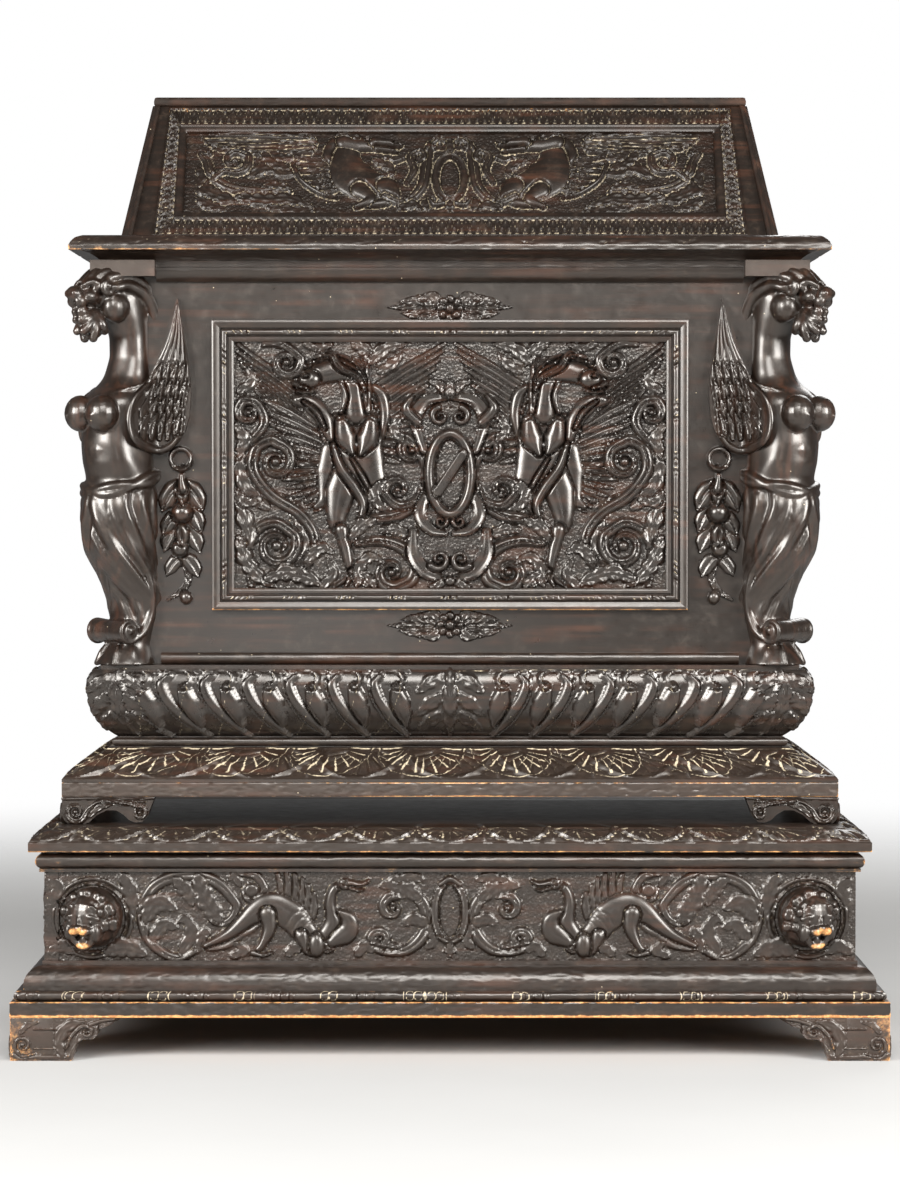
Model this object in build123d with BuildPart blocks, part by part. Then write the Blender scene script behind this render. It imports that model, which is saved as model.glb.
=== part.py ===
from build123d import *
from math import cos, hypot, pi, sin
import os

os.makedirs("parts", exist_ok=True)

# A carved walnut cassone in two tiers: a low case on bracket feet, with a lift-off top, and on it
# a tall chest on scroll feet with a hipped, hinged lid.
# Millimetres, +Z up, front at -Y, origin on the floor at the middle of the outline.
# Mouldings are drawn as (out, z): "out" is how far a point stands proud of its tier's boards.

# ---- driving dimensions -----------------------------------------------------------------------
overall_depth = 670.0        # low case, plinth face to back

lower_half_width = 650.0     # low case, middle to the face of its side boards
plinth_projection = 50.0
lower_board = 22.0           # thickness of the low case's boards

upper_side_setback = 110.0   # tall chest's side boards in from the low case's
upper_setback = 157.0        # tall chest's front board behind the low case's front board
upper_back_step = 20.0       # tall chest's back forward of the low case's back
case_board = 26.0            # thickness of the tall chest's boards
back_board = 22.0

foot_height = 69.0
foot_reach = 176.0           # bracket foot, corner to the tip of its scroll
foot_stand = 102.0           # bracket foot's length on the floor
foot_thickness = 34.0
plinth_height = 85.0
plinth_width = 40.0          # how far the plinth reaches in behind the boards' faces
lower_board_height = 173.0
lower_bottom_thickness = 20.0
lower_lid_thickness = 39.0
lower_lid_nose = 23.0
lower_lid_border = 90.0      # border rail, board face to its inner edge
lower_panel_thickness = 26.0
cleat_section = 22.0
cleat_play = 3.0

chest_foot_height = 45.0
chest_foot_length = 150.0
chest_foot_thickness = 42.0
base_projection = 89.0
base_thickness = 23.0
shell_height = 51.0
neck_height = 18.0
gadroon_height = 111.0
gadroon_count = 7            # gadroons between the front's middle leaf and each corner leaf
gadroon_leaf = 56.0          # half width of the middle leaf
gadroon_corner_leaf = 43.0   # width of a corner leaf
gadroon_swell = 6.0          # how far a gadroon stands out from the frieze
frieze_depth = 20.0          # carved mouldings reach this far in behind the boards' faces
case_bottom_thickness = 14.0
case_bottom_projection = 30.6
rebate = 7.0                 # case bottom let down into the gadrooned frieze
rebate_play = 0.4
case_height = 660.0

panel_field = 150.0          # plain board between the panel's frame and the corner
panel_height = 405.0
panel_thickness = 14.0       # carved panel, back to the crest of its highest forms
panel_ground = 5.0           # carved panel's board behind the carving
panel_low_relief = 5.5       # wings, scrolls and leaves above that ground
panel_lift = 327.0           # middle of the carved panel above the case bottom
frame_width = 35.0
frame_thickness = 18.0
foot_bead_height = 20.0
crown_height = 34.0
crown_projection = 24.0
crown_block_height = 26.0
crown_block_projection = 45.0
crown_block_length = 105.0

cornice_height = 39.5
cornice_projection = 77.0
lid_inset = 10.0             # foot of the hipped lid inside the boards' faces
lid_rise = 245.5
lid_front_run = 155.0        # how far the front slope leans back
lid_side_run = 40.0
lid_board = 24.0
lid_top_thickness = 14.0
lid_top_overhang = 4.0
lid_panel_margin = 51.3      # border beside the lid's panel, at the head of the slope
lid_panel_height = 168.0
lid_panel_recess = 12.0
lid_panel_play = 0.3
lid_panel_ground = 4.0
lid_panel_low_relief = 4.5
reed_radius_bottom = 12.0
reed_radius_top = 8.0

hinge_span = 600.0           # between the middles of the two hinges
strap_width = 40.0
strap_length = 130.0
strap_thickness = 3.0
knuckle_radius = 7.0
knuckle_stand_off = 1.0
knuckle_gap = 0.5
pin_radius = 3.0
pin_play = 0.05
pin_head_radius = 5.0
pin_head_thickness = 2.0

mask_radius = 52.0
mask_height = 222.0
mask_from_corner = 77.0      # middle of a lion mask in from the low case's corner
mask_projection = 46.0

# ---- levels and places ------------------------------------------------------------------------
lower_back = overall_depth / 2
lower_front = plinth_projection - overall_depth / 2
upper_half_width = lower_half_width - upper_side_setback
upper_back = lower_back - upper_back_step
upper_front = lower_front + upper_setback

z_plinth = foot_height
z_lower = z_plinth + plinth_height
z_lower_lid = z_lower + lower_board_height
z_chest = z_lower_lid + lower_lid_thickness
z_base = z_chest + chest_foot_height
z_shell = z_base + base_thickness
z_neck = z_shell + shell_height
z_gadroon = z_neck + neck_height
z_case = z_gadroon + gadroon_height + rebate
z_lid = z_case + case_height
z_slope = z_lid + cornice_height
z_lid_top = z_slope + lid_rise - lid_top_thickness
run_spare = 150.0            # raw length that the mitres cut away


def save(solid, name):
    """Label one finished piece and write it."""
    solid.label = name
    export_step(solid, f"parts/{name}.step")


def save_group(solids, name):
    """Write several like pieces as one named node."""
    save(Compound(children=list(solids)), name)


def oval(height, out, deep, wide, cuts):
    """Corners of a carver's oval with flat chisel cuts, (half depth, half width) about (out, 0)."""
    turns = [2 * pi * cut / cuts for cut in range(cuts)]
    return [(out + deep * cos(turn), wide * sin(turn), height) for turn in turns]


def carved_rounds(plane, sections, cuts=12):
    """Stack of chisel-cut bands between ovals given as (height, out, half depth, half width)."""
    with BuildPart() as form:
        for lower, upper in zip(sections, sections[1:]):
            corners = oval(*lower, cuts) + oval(*upper, cuts)
            ConvexPolyhedron([plane.from_local_coords(corner) for corner in corners])
    return form.part


def knob(origin, direction, x_dir, deep, wide, height, cuts=8):
    """Domed boss standing on a plane, such as an eye, a breast or a fruit."""
    plane = Plane(origin=origin, x_dir=x_dir, z_dir=direction)
    steps = ((0.0, 1.0), (0.6, 0.8), (1.0, 0.3))
    return carved_rounds(plane, [(height * up, 0, deep * part, wide * part) for up, part in steps], cuts)


def board(x, y, z):
    """A squared board between three (low, high) pairs."""
    spans = (x, y, z)
    middle = tuple((low + high) / 2 for low, high in spans)
    with BuildPart() as piece:
        with Locations(middle):
            Box(*(high - low for low, high in spans))
    return piece.part


def raised_forms(plane, across, up, forms, height):
    """Main forms of a symmetrical carving, blocked out flat on its ground.

    A form is a ring of points in hundredths of the panel's half width and half height, and is
    repeated on the other side of the middle.
    """
    with BuildPart() as carving:
        with BuildSketch(plane):
            for form in forms:
                for side in (-1, 1):
                    Polygon(*((side * x * across / 100, y * up / 100) for x, y in form), align=None)
        extrude(amount=height)
    return carving.part


def band(points, half, stretch):
    """Outline of a scroll's band of even width along a line of points.

    Its half width is in hundredths of the panel's half width; stretch is the panel's width over its height.
    """
    left, right = [], []
    for place, (x, y) in enumerate(points):
        before, after = points[max(place - 1, 0)], points[min(place + 1, len(points) - 1)]
        run = (after[0] - before[0], (after[1] - before[1]) / stretch)
        reach = half / hypot(*run)
        left.append((x - run[1] * reach, y + run[0] * reach * stretch))
        right.append((x + run[1] * reach, y - run[0] * reach * stretch))
    return left + right[::-1]


def disc(x, y, wide, tall):
    """Outline of a rosette or a ball, cut with seven sides."""
    return [(x + wide * cos(2 * pi * turn / 7), y + tall * sin(2 * pi * turn / 7)) for turn in range(7)]


def front_moulding(section, half, front):
    """The front length of a moulding, mitred at both corners."""
    with BuildPart() as length:
        with BuildSketch(Plane(origin=(0, front, 0), x_dir=(0, -1, 0), z_dir=(-1, 0, 0))):
            add(section)
        extrude(amount=half + run_spare, both=True)
        for side in (-1, 1):
            split(bisect_by=Plane(origin=(side * half, front, 0), z_dir=(side, 1, 0)), keep=Keep.BOTTOM)
    return length.part


def side_moulding(section, half, front, back, side):
    """A side length of a moulding, mitred in front and square at the back."""
    with BuildPart() as length:
        with BuildSketch(Plane(origin=(side * half, back, 0), x_dir=(side, 0, 0), z_dir=(0, -side, 0))):
            add(section)
        extrude(amount=side * (back - front + run_spare))
        split(bisect_by=Plane(origin=(side * half, front, 0), z_dir=(side, 1, 0)), keep=Keep.TOP)
    return length.part


def mitred_set(profile, half, front, back):
    """Front, left and right lengths of one moulding."""
    section = profile()
    return (
        front_moulding(section, half, front),
        side_moulding(section, half, front, back, -1),
        side_moulding(section, half, front, back, 1),
    )


def save_set(profile, half, front, back, name):
    """Write the three lengths of a moulding as three nodes."""
    for solid, place in zip(mitred_set(profile, half, front, back), ("front", "left", "right")):
        save(solid, f"{name}_{place}")


# ---- low case: feet and plinth ----------------------------------------------------------------
def bracket_outline(reach, stand, height):
    """Bracket foot seen square on: x runs in from the corner, y is height."""
    toe, waist = 0.45 * height, 0.76 * height
    with BuildSketch() as section:
        with BuildLine():
            Polyline((0, height), (0, 0), (stand, 0), (stand + 4, toe))
            middle = (stand + 0.52 * (reach - stand), waist)
            ThreePointArc((stand + 4, toe), (stand + 20, toe + 14), middle)
            ThreePointArc(middle, (reach - 14, waist + 6), (reach, height))
            Line((reach, height), (0, height))
        make_face()
    return section.sketch


def bracket_foot(side, corner_y, inward):
    """One corner foot: a bracket along the side, one along the front, and the corner block."""
    half = lower_half_width + plinth_projection
    outline = bracket_outline(foot_reach, foot_stand, foot_height)
    with BuildPart() as foot:
        with BuildSketch(Plane(origin=(side * half, corner_y, 0), x_dir=(0, inward, 0), z_dir=(inward, 0, 0))):
            add(outline)
        extrude(amount=-side * inward * foot_thickness)
        if inward > 0:
            with BuildSketch(Plane(origin=(side * half, corner_y, 0), x_dir=(-side, 0, 0), z_dir=(0, side, 0))):
                add(outline)
            extrude(amount=side * foot_thickness)
        block = 0.7 * foot_stand
        with Locations((side * (half - block / 2), corner_y + inward * block / 2, foot_height / 2)):
            Box(block, block, foot_height)
    return foot.part


for side, place in ((-1, "left"), (1, "right")):
    save(bracket_foot(side, lower_front - plinth_projection, 1), f"base_foot_front_{place}")
save_group([bracket_foot(side, lower_back, -1) for side in (-1, 1)], "base_feet_rear")


def plinth_profile():
    """Worn square edge, bead, big quarter round and fillet."""
    z0, z1 = z_plinth, z_plinth + plinth_height
    bead0, bead1 = z0 + 25, z0 + 41
    with BuildSketch() as section:
        with BuildLine():
            Polyline((37, bead0), (plinth_projection, bead0), (plinth_projection, z0), (-plinth_width, z0))
            Polyline((-plinth_width, z0), (-plinth_width, z1), (3, z1), (3, z1 - 7))
            ThreePointArc((3, z1 - 7), (25, z1 - 19), (30, bead1 + 4))
            Polyline((30, bead1 + 4), (30, bead1), (37, bead1))
            ThreePointArc((37, bead1), (45, (bead0 + bead1) / 2), (37, bead0))
        make_face()
    return section.sketch


save_set(plinth_profile, lower_half_width, lower_front, lower_back, "plinth_moulding")
plinth_inside = lower_half_width - plinth_width
save(
    board((-plinth_inside, plinth_inside), (lower_back - plinth_width, lower_back), (z_plinth, z_lower)),
    "plinth_rail_back",
)

# ---- low case: boards -------------------------------------------------------------------------
lower_inside = lower_half_width - lower_board
lower_y0, lower_y1 = lower_front + lower_board, lower_back - lower_board
lower_z = (z_lower, z_lower_lid)
save(board((-lower_half_width, lower_half_width), (lower_front, lower_y0), lower_z), "lower_front_board")
save(board((-lower_half_width, lower_half_width), (lower_y1, lower_back), lower_z), "lower_back_board")
for side, place in ((-1, "left"), (1, "right")):
    across = sorted((side * lower_inside, side * lower_half_width))
    save(board(across, (lower_y0, lower_y1), lower_z), f"lower_side_board_{place}")
save(
    board((-lower_inside, lower_inside), (lower_y0, lower_y1), (z_lower, z_lower + lower_bottom_thickness)),
    "lower_bottom_board",
)


def roll_profile():
    """Fillet and bead planted along the top edge of the low case."""
    z1 = z_lower_lid - 1
    with BuildSketch() as section:
        with BuildLine():
            Polyline((2, z1), (0, z1), (0, z1 - 29), (7, z1 - 29), (7, z1 - 24), (2, z1 - 24))
            ThreePointArc((2, z1 - 24), (13, z1 - 12), (2, z1))
        make_face()
    return section.sketch


save_group(mitred_set(roll_profile, lower_half_width, lower_front, lower_back), "lower_roll_moulding")


def lion_mask(side):
    """Domed lion mask with a muzzle turned out and down, an open mouth and round eyes."""
    centre = Vector(side * (lower_half_width - mask_from_corner), lower_front, mask_height)
    face = Plane(origin=centre, x_dir=(1, 0, 0), z_dir=(0, -1, 0))
    outward = Vector(side * 0.45, -0.85, -0.28)
    muzzle = Plane(origin=centre + outward * mask_projection * 0.4, x_dir=(1, 0, 0), z_dir=outward)
    dome = ((0, 0, 1.0), (12, 0, 1.0), (24, 0, 0.84), (32, 0, 0.56))
    with BuildPart() as mask:
        add(carved_rounds(face, [(up, out, mask_radius * part, mask_radius * part) for up, out, part in dome]))
        add(carved_rounds(muzzle, ((0, 0, 30, 27), (12, 0, 27, 25), (mask_projection * 0.55, 0, 19, 16)), 8))
        for eye in (-1, 1):
            add(knob(centre + Vector(side * 5 + eye * 18, -24, 16), (0, -1, 0), (1, 0, 0), 9, 9, 12))
        with BuildSketch(muzzle.offset(mask_projection)):
            with Locations((0, -8)):
                Rectangle(24, 9)
        extrude(amount=-mask_projection * 0.6, mode=Mode.SUBTRACT)
    return mask.part


save_group([lion_mask(side) for side in (-1, 1)], "lion_masks")


# ---- low case: lift-off top -------------------------------------------------------------------
def lower_lid_profile():
    """Overhanging border: drip step, square nose and ovolo."""
    z0, z1 = z_lower_lid, z_lower_lid + lower_lid_thickness
    with BuildSketch() as section:
        with BuildLine():
            Polyline((-19, z1), (-lower_lid_border, z1), (-lower_lid_border, z0), (0, z0), (0, z0 + 3))
            Polyline((0, z0 + 3), (lower_lid_nose, z0 + 3), (lower_lid_nose, z0 + 19))
            ThreePointArc((lower_lid_nose, z0 + 19), (7, z1 - 6), (-19, z1))
        make_face()
    return section.sketch


save_set(lower_lid_profile, lower_half_width, lower_front, lower_back, "lower_lid_border")
border_inside = lower_half_width - lower_lid_border
border_y = (lower_front + lower_lid_border, lower_back - lower_lid_border)
save(
    board((-border_inside, border_inside), (border_y[1], lower_back), (z_lower_lid, z_chest)),
    "lower_lid_border_back",
)
save(
    board((-border_inside, border_inside), border_y, (z_chest - lower_panel_thickness, z_chest)),
    "lower_lid_panel",
)
cleat_outside = lower_inside - cleat_play
cleat_y = (lower_y0 + cleat_play, lower_y1 - cleat_play)
save_group(
    [
        board(sorted((side * (cleat_outside - cleat_section), side * cleat_outside)),
              cleat_y, (z_lower_lid - cleat_section, z_lower_lid))
        for side in (-1, 1)
    ],
    "lower_lid_cleats",
)


# ---- tall chest: scroll feet and base ---------------------------------------------------------
def scroll_outline():
    """Scroll bracket seen square on: x runs in from the corner, y is height."""
    height, length = chest_foot_height, chest_foot_length
    big, small = 0.42 * height, 0.31 * height
    with BuildSketch() as section:
        with BuildLine():
            Polyline((6, height), (length, height), (length - 6, 0.66 * height))
            ThreePointArc((length - 6, 0.66 * height), (length - 18, 0.18 * height), (length - 34, small))
            ThreePointArc((length - 34, small), (0.56 * length, 0.60 * height), (0.40 * length, 0.16 * height))
            Polyline((0.40 * length, 0.16 * height), (0.31 * length, 0), (16, 0))
            ThreePointArc((16, 0), (0, big), (6, height))
        make_face()
    return section.sketch


def scroll_foot(side, corner_y, inward):
    """One foot of the tall chest, with scroll brackets on its outer faces, mitred where they meet in front."""
    half = upper_half_width + base_projection
    outline = scroll_outline()
    origin = (side * half, corner_y, z_chest)
    mitre = Plane(origin=origin, z_dir=(side, 1, 0))
    with BuildPart() as beside:
        with BuildSketch(Plane(origin=origin, x_dir=(0, inward, 0), z_dir=(inward, 0, 0))):
            add(outline)
        extrude(amount=-side * inward * chest_foot_thickness)
        if inward > 0:
            split(bisect_by=mitre, keep=Keep.TOP)
    if inward < 0:
        return beside.part
    with BuildPart() as foot:
        with BuildSketch(Plane(origin=origin, x_dir=(-side, 0, 0), z_dir=(0, side, 0))):
            add(outline)
        extrude(amount=side * chest_foot_thickness)
        split(bisect_by=mitre, keep=Keep.BOTTOM)
        add(beside.part)
    return foot.part


for side, place in ((-1, "left"), (1, "right")):
    save(scroll_foot(side, upper_front - base_projection, 1), f"chest_foot_front_{place}")
save_group([scroll_foot(side, upper_back, -1) for side in (-1, 1)], "chest_feet_rear")

base_half = upper_half_width + base_projection
save(
    board((-base_half, base_half), (upper_front - base_projection, upper_back), (z_base, z_shell)),
    "chest_base_board",
)


def shell_profile():
    """Sloping moulding that carries the fan flutes."""
    top_out = 19.5
    with BuildSketch() as section:
        with BuildLine():
            Polyline((top_out, z_neck), (-frieze_depth, z_neck), (-frieze_depth, z_shell), (base_projection, z_shell))
            Line((base_projection, z_shell), (base_projection, z_shell + 5))
            ThreePointArc(
                (base_projection, z_shell + 5), (58, z_shell + 0.60 * shell_height), (top_out, z_neck)
            )
        make_face()
    return section.sketch


def neck_profile():
    """Thin bead between the shells and the gadroons."""
    with BuildSketch() as section:
        with BuildLine():
            Polyline((6, z_gadroon - 2), (6, z_gadroon), (-frieze_depth, z_gadroon), (-frieze_depth, z_neck))
            Polyline((-frieze_depth, z_neck), (6, z_neck), (6, z_neck + 2))
            ThreePointArc((6, z_neck + 2), (14, (z_neck + z_gadroon) / 2), (6, z_gadroon - 2))
        make_face()
    return section.sketch


def gadroon_profile():
    """Bulging frieze, cut in flats under its gadroons and rebated behind its top edge for the case bottom."""
    z1 = z_gadroon + gadroon_height
    floor = z1 + rebate - case_bottom_thickness
    seat = case_bottom_projection + rebate_play
    with BuildSketch() as section:
        with BuildLine():
            Polyline((5, z_gadroon), (-frieze_depth, z_gadroon), (-frieze_depth, floor), (seat, floor), (seat, z1))
            Line((seat, z1), (40, z1))
            Polyline((40, z1), (48.5, z1 - 14), (50.6, z1 - 33), (47, z1 - 56), (37, z_gadroon + 32),
                     (22, z_gadroon + 13), (5, z_gadroon))
        make_face()
    return section.sketch


save_set(shell_profile, upper_half_width, upper_front, upper_back, "shell_moulding")
save_group(mitred_set(neck_profile, upper_half_width, upper_front, upper_back), "neck_bead")

# A gadroon's swell, as (share of the frieze's height, out, how far its middle has leant, half width).
gadroon_sections = ((0.94, 44, -2, 8), (0.76, 50.5, 0, 13), (0.56, 48.5, 5, 15), (0.37, 41, 12, 11), (0.22, 29, 18, 3))
gadroon_pitch = (upper_half_width - gadroon_leaf - gadroon_corner_leaf) / gadroon_count


def gadroon(plane, at, lean):
    """One swelling lobe on a frieze; lean is 1 where its foot turns to larger x, -1 the other way, 0 upright."""
    corners = []
    for share, out, turned, half in gadroon_sections:
        middle, height = at + lean * turned, share * gadroon_height
        corners += [(middle - half, height, out - 2), (middle + half, height, out - 2)]
        corners.append((middle, height, out + gadroon_swell))
    return ConvexPolyhedron([plane.from_local_coords(corner) for corner in corners])


def gadroon_front():
    """The frieze's front length, with gadroons that lean in to its middle leaf."""
    plane = Plane(origin=(0, upper_front, z_gadroon), x_dir=(1, 0, 0), z_dir=(0, -1, 0))
    with BuildPart() as length:
        add(front_moulding(gadroon_profile(), upper_half_width, upper_front))
        for side in (-1, 1):
            for place in range(gadroon_count):
                gadroon(plane, side * (gadroon_leaf + gadroon_pitch * (place + 0.37)), -side)
            gadroon(plane, side * gadroon_leaf * 0.5, side)
        gadroon(plane, 0, 0)
    return length.part


def gadroon_side(side):
    """A side length of the frieze, with gadroons that lean to the back."""
    plane = Plane(origin=(side * upper_half_width, upper_front, z_gadroon), x_dir=(0, side, 0), z_dir=(side, 0, 0))
    start = gadroon_corner_leaf * 2
    with BuildPart() as length:
        add(side_moulding(gadroon_profile(), upper_half_width, upper_front, upper_back, side))
        for place in range(int((upper_back - upper_front - start) / gadroon_pitch)):
            gadroon(plane, side * (start + gadroon_pitch * (place + 0.5)), side)
    return length.part


save(gadroon_front(), "gadroon_frieze_front")
for side, place in ((-1, "left"), (1, "right")):
    save(gadroon_side(side), f"gadroon_frieze_{place}")

frieze_inside = upper_half_width - frieze_depth
z_case_under = z_case - case_bottom_thickness
save(
    board((-frieze_inside, frieze_inside), (upper_back - case_board, upper_back), (z_shell, z_case_under)),
    "frieze_rail_back",
)
bottom_half = upper_half_width + case_bottom_projection
save(
    board((-bottom_half, bottom_half), (upper_front - case_bottom_projection, upper_back), (z_case_under, z_case)),
    "case_bottom_board",
)

# ---- tall chest: boards -----------------------------------------------------------------------
case_inside = upper_half_width - case_board
case_y0, case_y1 = upper_front + case_board, upper_back - back_board
case_z = (z_case, z_lid)
save(board((-upper_half_width, upper_half_width), (upper_front, case_y0), case_z), "case_front_board")
save(board((-upper_half_width, upper_half_width), (case_y1, upper_back), case_z), "case_back_board")
for side, place in ((-1, "left"), (1, "right")):
    across = sorted((side * case_inside, side * upper_half_width))
    save(board(across, (case_y0, case_y1), case_z), f"case_side_board_{place}")

# ---- tall chest: carved panel and its frame ---------------------------------------------------
z_panel = z_case + panel_lift
panel_width = 2 * (upper_half_width - panel_field - frame_width)
panel_stretch = panel_width / panel_height
harpy_body = ((-37, 90), (-36, 50), (-29, 26), (-29, -6), (-33, -30), (-41, -43), (-46, -28), (-56, -30),
              (-58, -2), (-52, 22), (-53, 34), (-49, 40), (-48, 62), (-58, 60), (-67, 57), (-72, 66), (-68, 78),
              (-58, 88), (-46, 86))
harpy_leg = ((-57, -6), (-44, -8), (-45, -54), (-44, -87), (-35, -98), (-54, -98), (-49, -86), (-52, -56))
harpy_wings = (
    ((-97, 98), (-61, 46), (-57, 10), (-62, 2), (-82, 40), (-98, 82)),
    ((-3, 98), (-33, 62), (-29, 28), (-14, 54)),
    ((-75, 8), (-57, 4), (-57, -28), (-66, -30), (-75, -12)),
)
panel_scrolls = (
    band(((-74, -76), (-65, -68), (-65, -52), (-82, -26), (-93, -6), (-90, 14), (-82, 18), (-76, 8)), 2.2, panel_stretch),
    band(((-96, 44), (-88, 30), (-87, 44), (-93, 52)), 2.2, panel_stretch),
    band(((-35, -46), (-22, -40), (-11, -18), (-15, 8), (-21, 20)), 2.4, panel_stretch),
    band(((-43, -62), (-32, -60), (-20, -72), (-18, -92)), 2.2, panel_stretch),
    disc(-80, -64, 9, 16),
    disc(-23, -25, 6, 10),
    disc(-27, -88, 6, 10),
    ((-97, -26), (-92, -52), (-84, -96), (-92, -96), (-98, -60)),
)
panel_straps = (
    band(((-1, 54), (-10, 50), (-14, 36), (-10, 14)), 2.4, panel_stretch),
    band(((-10, -26), (-12, -42), (-8, -52), (-1, -54)), 2.2, panel_stretch),
    band(((-17, -56), (-15, -76), (-8, -88), (-1, -90)), 2.4, panel_stretch),
)


def cartouche(plane, across, up, height):
    """Oval ring at the middle of a carved panel, with twelve chisel-cut sides."""
    with BuildPart() as ring:
        with BuildSketch(plane):
            for part, mode in ((1.0, Mode.ADD), (0.68, Mode.SUBTRACT)):
                turns = (2 * pi * cut / 12 for cut in range(12))
                corners = [(across * part * cos(turn), (up * part * sin(turn))) for turn in turns]
                Polygon(*corners, align=None, mode=mode)
        extrude(amount=height)
    return ring.part


with BuildPart() as carved_panel:
    panel_face = Plane(origin=(0, upper_front - panel_ground, z_panel), x_dir=(1, 0, 0), z_dir=(0, -1, 0))
    panel_size = (panel_width / 2, panel_height / 2)
    panel_high_relief = panel_thickness - panel_ground
    add(board((-panel_width / 2, panel_width / 2), (upper_front - panel_ground, upper_front),
              (z_panel - panel_height / 2, z_panel + panel_height / 2)))
    add(raised_forms(panel_face, *panel_size, (*harpy_wings, *panel_scrolls, *panel_straps), panel_low_relief))
    add(raised_forms(panel_face, *panel_size, (harpy_body, harpy_leg), panel_high_relief))
    oval_face = Plane(origin=(0, upper_front - panel_ground, z_panel - 0.07 * panel_height),
                      x_dir=(1, 0, 0), z_dir=(0, -1, 0))
    add(cartouche(oval_face, 0.055 * panel_width, 0.175 * panel_height, panel_high_relief))
save(carved_panel.part, "carved_panel")


def frame_rail(length_across, height_across, turned):
    """One mitred rail of the panel frame, with both long edges bevelled."""
    long_half = length_across / 2
    near, far = height_across / 2, height_across / 2 + frame_width
    with BuildPart() as rail:
        with BuildSketch(Plane(origin=(0, upper_front, z_panel), x_dir=(1, 0, 0), z_dir=(0, -1, 0))):
            with Locations(Location((0, 0, 0), (0, 0, turned))):
                Polygon((-long_half, near), (long_half, near), (long_half + frame_width, far),
                        (-long_half - frame_width, far), align=None)
        extrude(amount=frame_thickness)
        along = Axis.X if turned % 180 == 0 else Axis.Z
        front_edges = rail.edges().filter_by(along).group_by(Axis.Y)[0]
        chamfer(front_edges, frame_thickness * 0.4)
    return rail.part


save_group(
    [
        frame_rail(panel_width, panel_height, 0),
        frame_rail(panel_height, panel_width, 90),
        frame_rail(panel_width, panel_height, 180),
        frame_rail(panel_height, panel_width, 270),
    ],
    "panel_frame",
)

# ---- tall chest: figures, wings and fruit -----------------------------------------------------
# A figure stands on its corner's 45 degree line. Sections are (height above the case bottom,
# how far its middle is out along that line, half depth along it, half width across it). Heights are
# drawn for a figure of drawn_height and stretched to the room under the crown block.
drawn_height = 634.0
figure_stretch = (case_height - crown_block_height) / drawn_height
skirt_sections = ((0, -17, 37, 37), (80, -14, 36, 36), (169, -6, 50, 50), (237, 2, 64, 64), (284, 0, 59, 59))
torso_sections = ((306, 0, 58, 60), (364, 8, 60, 62), (407, 18, 58, 62), (446, -4, 42, 44))
neck_sections = ((458, -20, 36, 36), (512, -16, 36, 36), (566, 10, 62, 62), (612, 12, 62, 60), (634, 6, 50, 50))
girdle_sections = ((284, 0, 64, 64), (295, 0, 67, 67), (306, 0, 64, 64))
collar_sections = ((446, -14, 42, 42), (458, -14, 42, 42))
breast_out, breast_apart, breast_height, breast_radius = 58.0, 36.0, 405.0, 27.0
muzzle_out, muzzle_height, muzzle_length = 60.0, 572.0, 56.0
volute_out, volute_height, volute_radius, volute_width = 18.0, 54.0, 28.0, 84.0


def corner_figure(side):
    """Winged beast-headed term on the case's corner, hollowed to fit round it."""
    plane = Plane(origin=(side * upper_half_width, upper_front, z_case), x_dir=(side, -1, 0), z_dir=(0, 0, 1))
    across = Plane(origin=plane.from_local_coords(Vector(volute_out, -volute_width / 2, volute_height * figure_stretch)),
                   x_dir=plane.x_dir, z_dir=plane.y_dir)
    muzzle = Plane(origin=plane.from_local_coords(Vector(muzzle_out, 0, muzzle_height * figure_stretch)),
                   x_dir=plane.y_dir, z_dir=plane.x_dir)
    with BuildPart() as figure:
        for sections in (skirt_sections, girdle_sections, torso_sections, collar_sections, neck_sections):
            add(carved_rounds(plane, [(height * figure_stretch, *rest) for height, *rest in sections]))
        add(carved_rounds(across, ((0, 0, volute_radius, volute_radius),
                                   (volute_width, 0, volute_radius, volute_radius))))
        add(carved_rounds(muzzle, ((0, 0, 40, 36), (0.6 * muzzle_length, 0, 34, 30), (muzzle_length, 0, 18, 16))))
        for hand in (-1, 1):
            at = plane.from_local_coords(Vector(breast_out, hand * breast_apart, breast_height * figure_stretch))
            away = plane.x_dir + plane.y_dir * (0.6 * hand)
            add(knob(at, away, (0, 0, 1), breast_radius, breast_radius, breast_radius))
        clear = 300.0
        with Locations((side * (upper_half_width - clear / 2), upper_front + clear / 2, z_case + case_height / 2)):
            Box(clear, clear, case_height + clear, mode=Mode.SUBTRACT)
    return figure.part


for side, place in ((-1, "left"), (1, "right")):
    save(corner_figure(side), f"corner_figure_{place}")


def face_planes(side):
    """The case's front face and side face at one corner: x runs away from the corner, y is height."""
    corner = (side * upper_half_width, upper_front, z_case)
    return (
        (Plane(origin=corner, x_dir=(-side, 0, 0), z_dir=(0, side, 0)), -side),
        (Plane(origin=corner, x_dir=(0, 1, 0), z_dir=(1, 0, 0)), side),
    )


# Wings and fruit fill the field between a figure and the panel's frame: places across are shares
# of the field's width, heights are those of the drawn figure.
figure_reach = 66.0
field_width = panel_field - figure_reach
wing_thickness = 16.0
wing_root_top, wing_tip, wing_widest = (0, 505), (0.345, 592), (0.595, 453)
wing_bottom, wing_root_low = (0.214, 351), (0, 366)
wing_back_swell, wing_front_swell = (0.25, 552), (0.548, 528)
wing_belly_swell = (0.476, 388)
pendant_place = 0.393
pendant_thickness = 9.0
fruit_projection = 22.0
pendant_ring = (328.0, 0.238)              # height, outer radius
pendant_fruits = ((247, 0.32, 30), (188, 0.333, 31), (128, 0.226, 32))   # height, half width, half height


def in_field(place):
    """A point of the field beside a figure, in millimetres from the corner and the case bottom."""
    return (figure_reach + place[0] * field_width, place[1] * figure_stretch)


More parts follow.
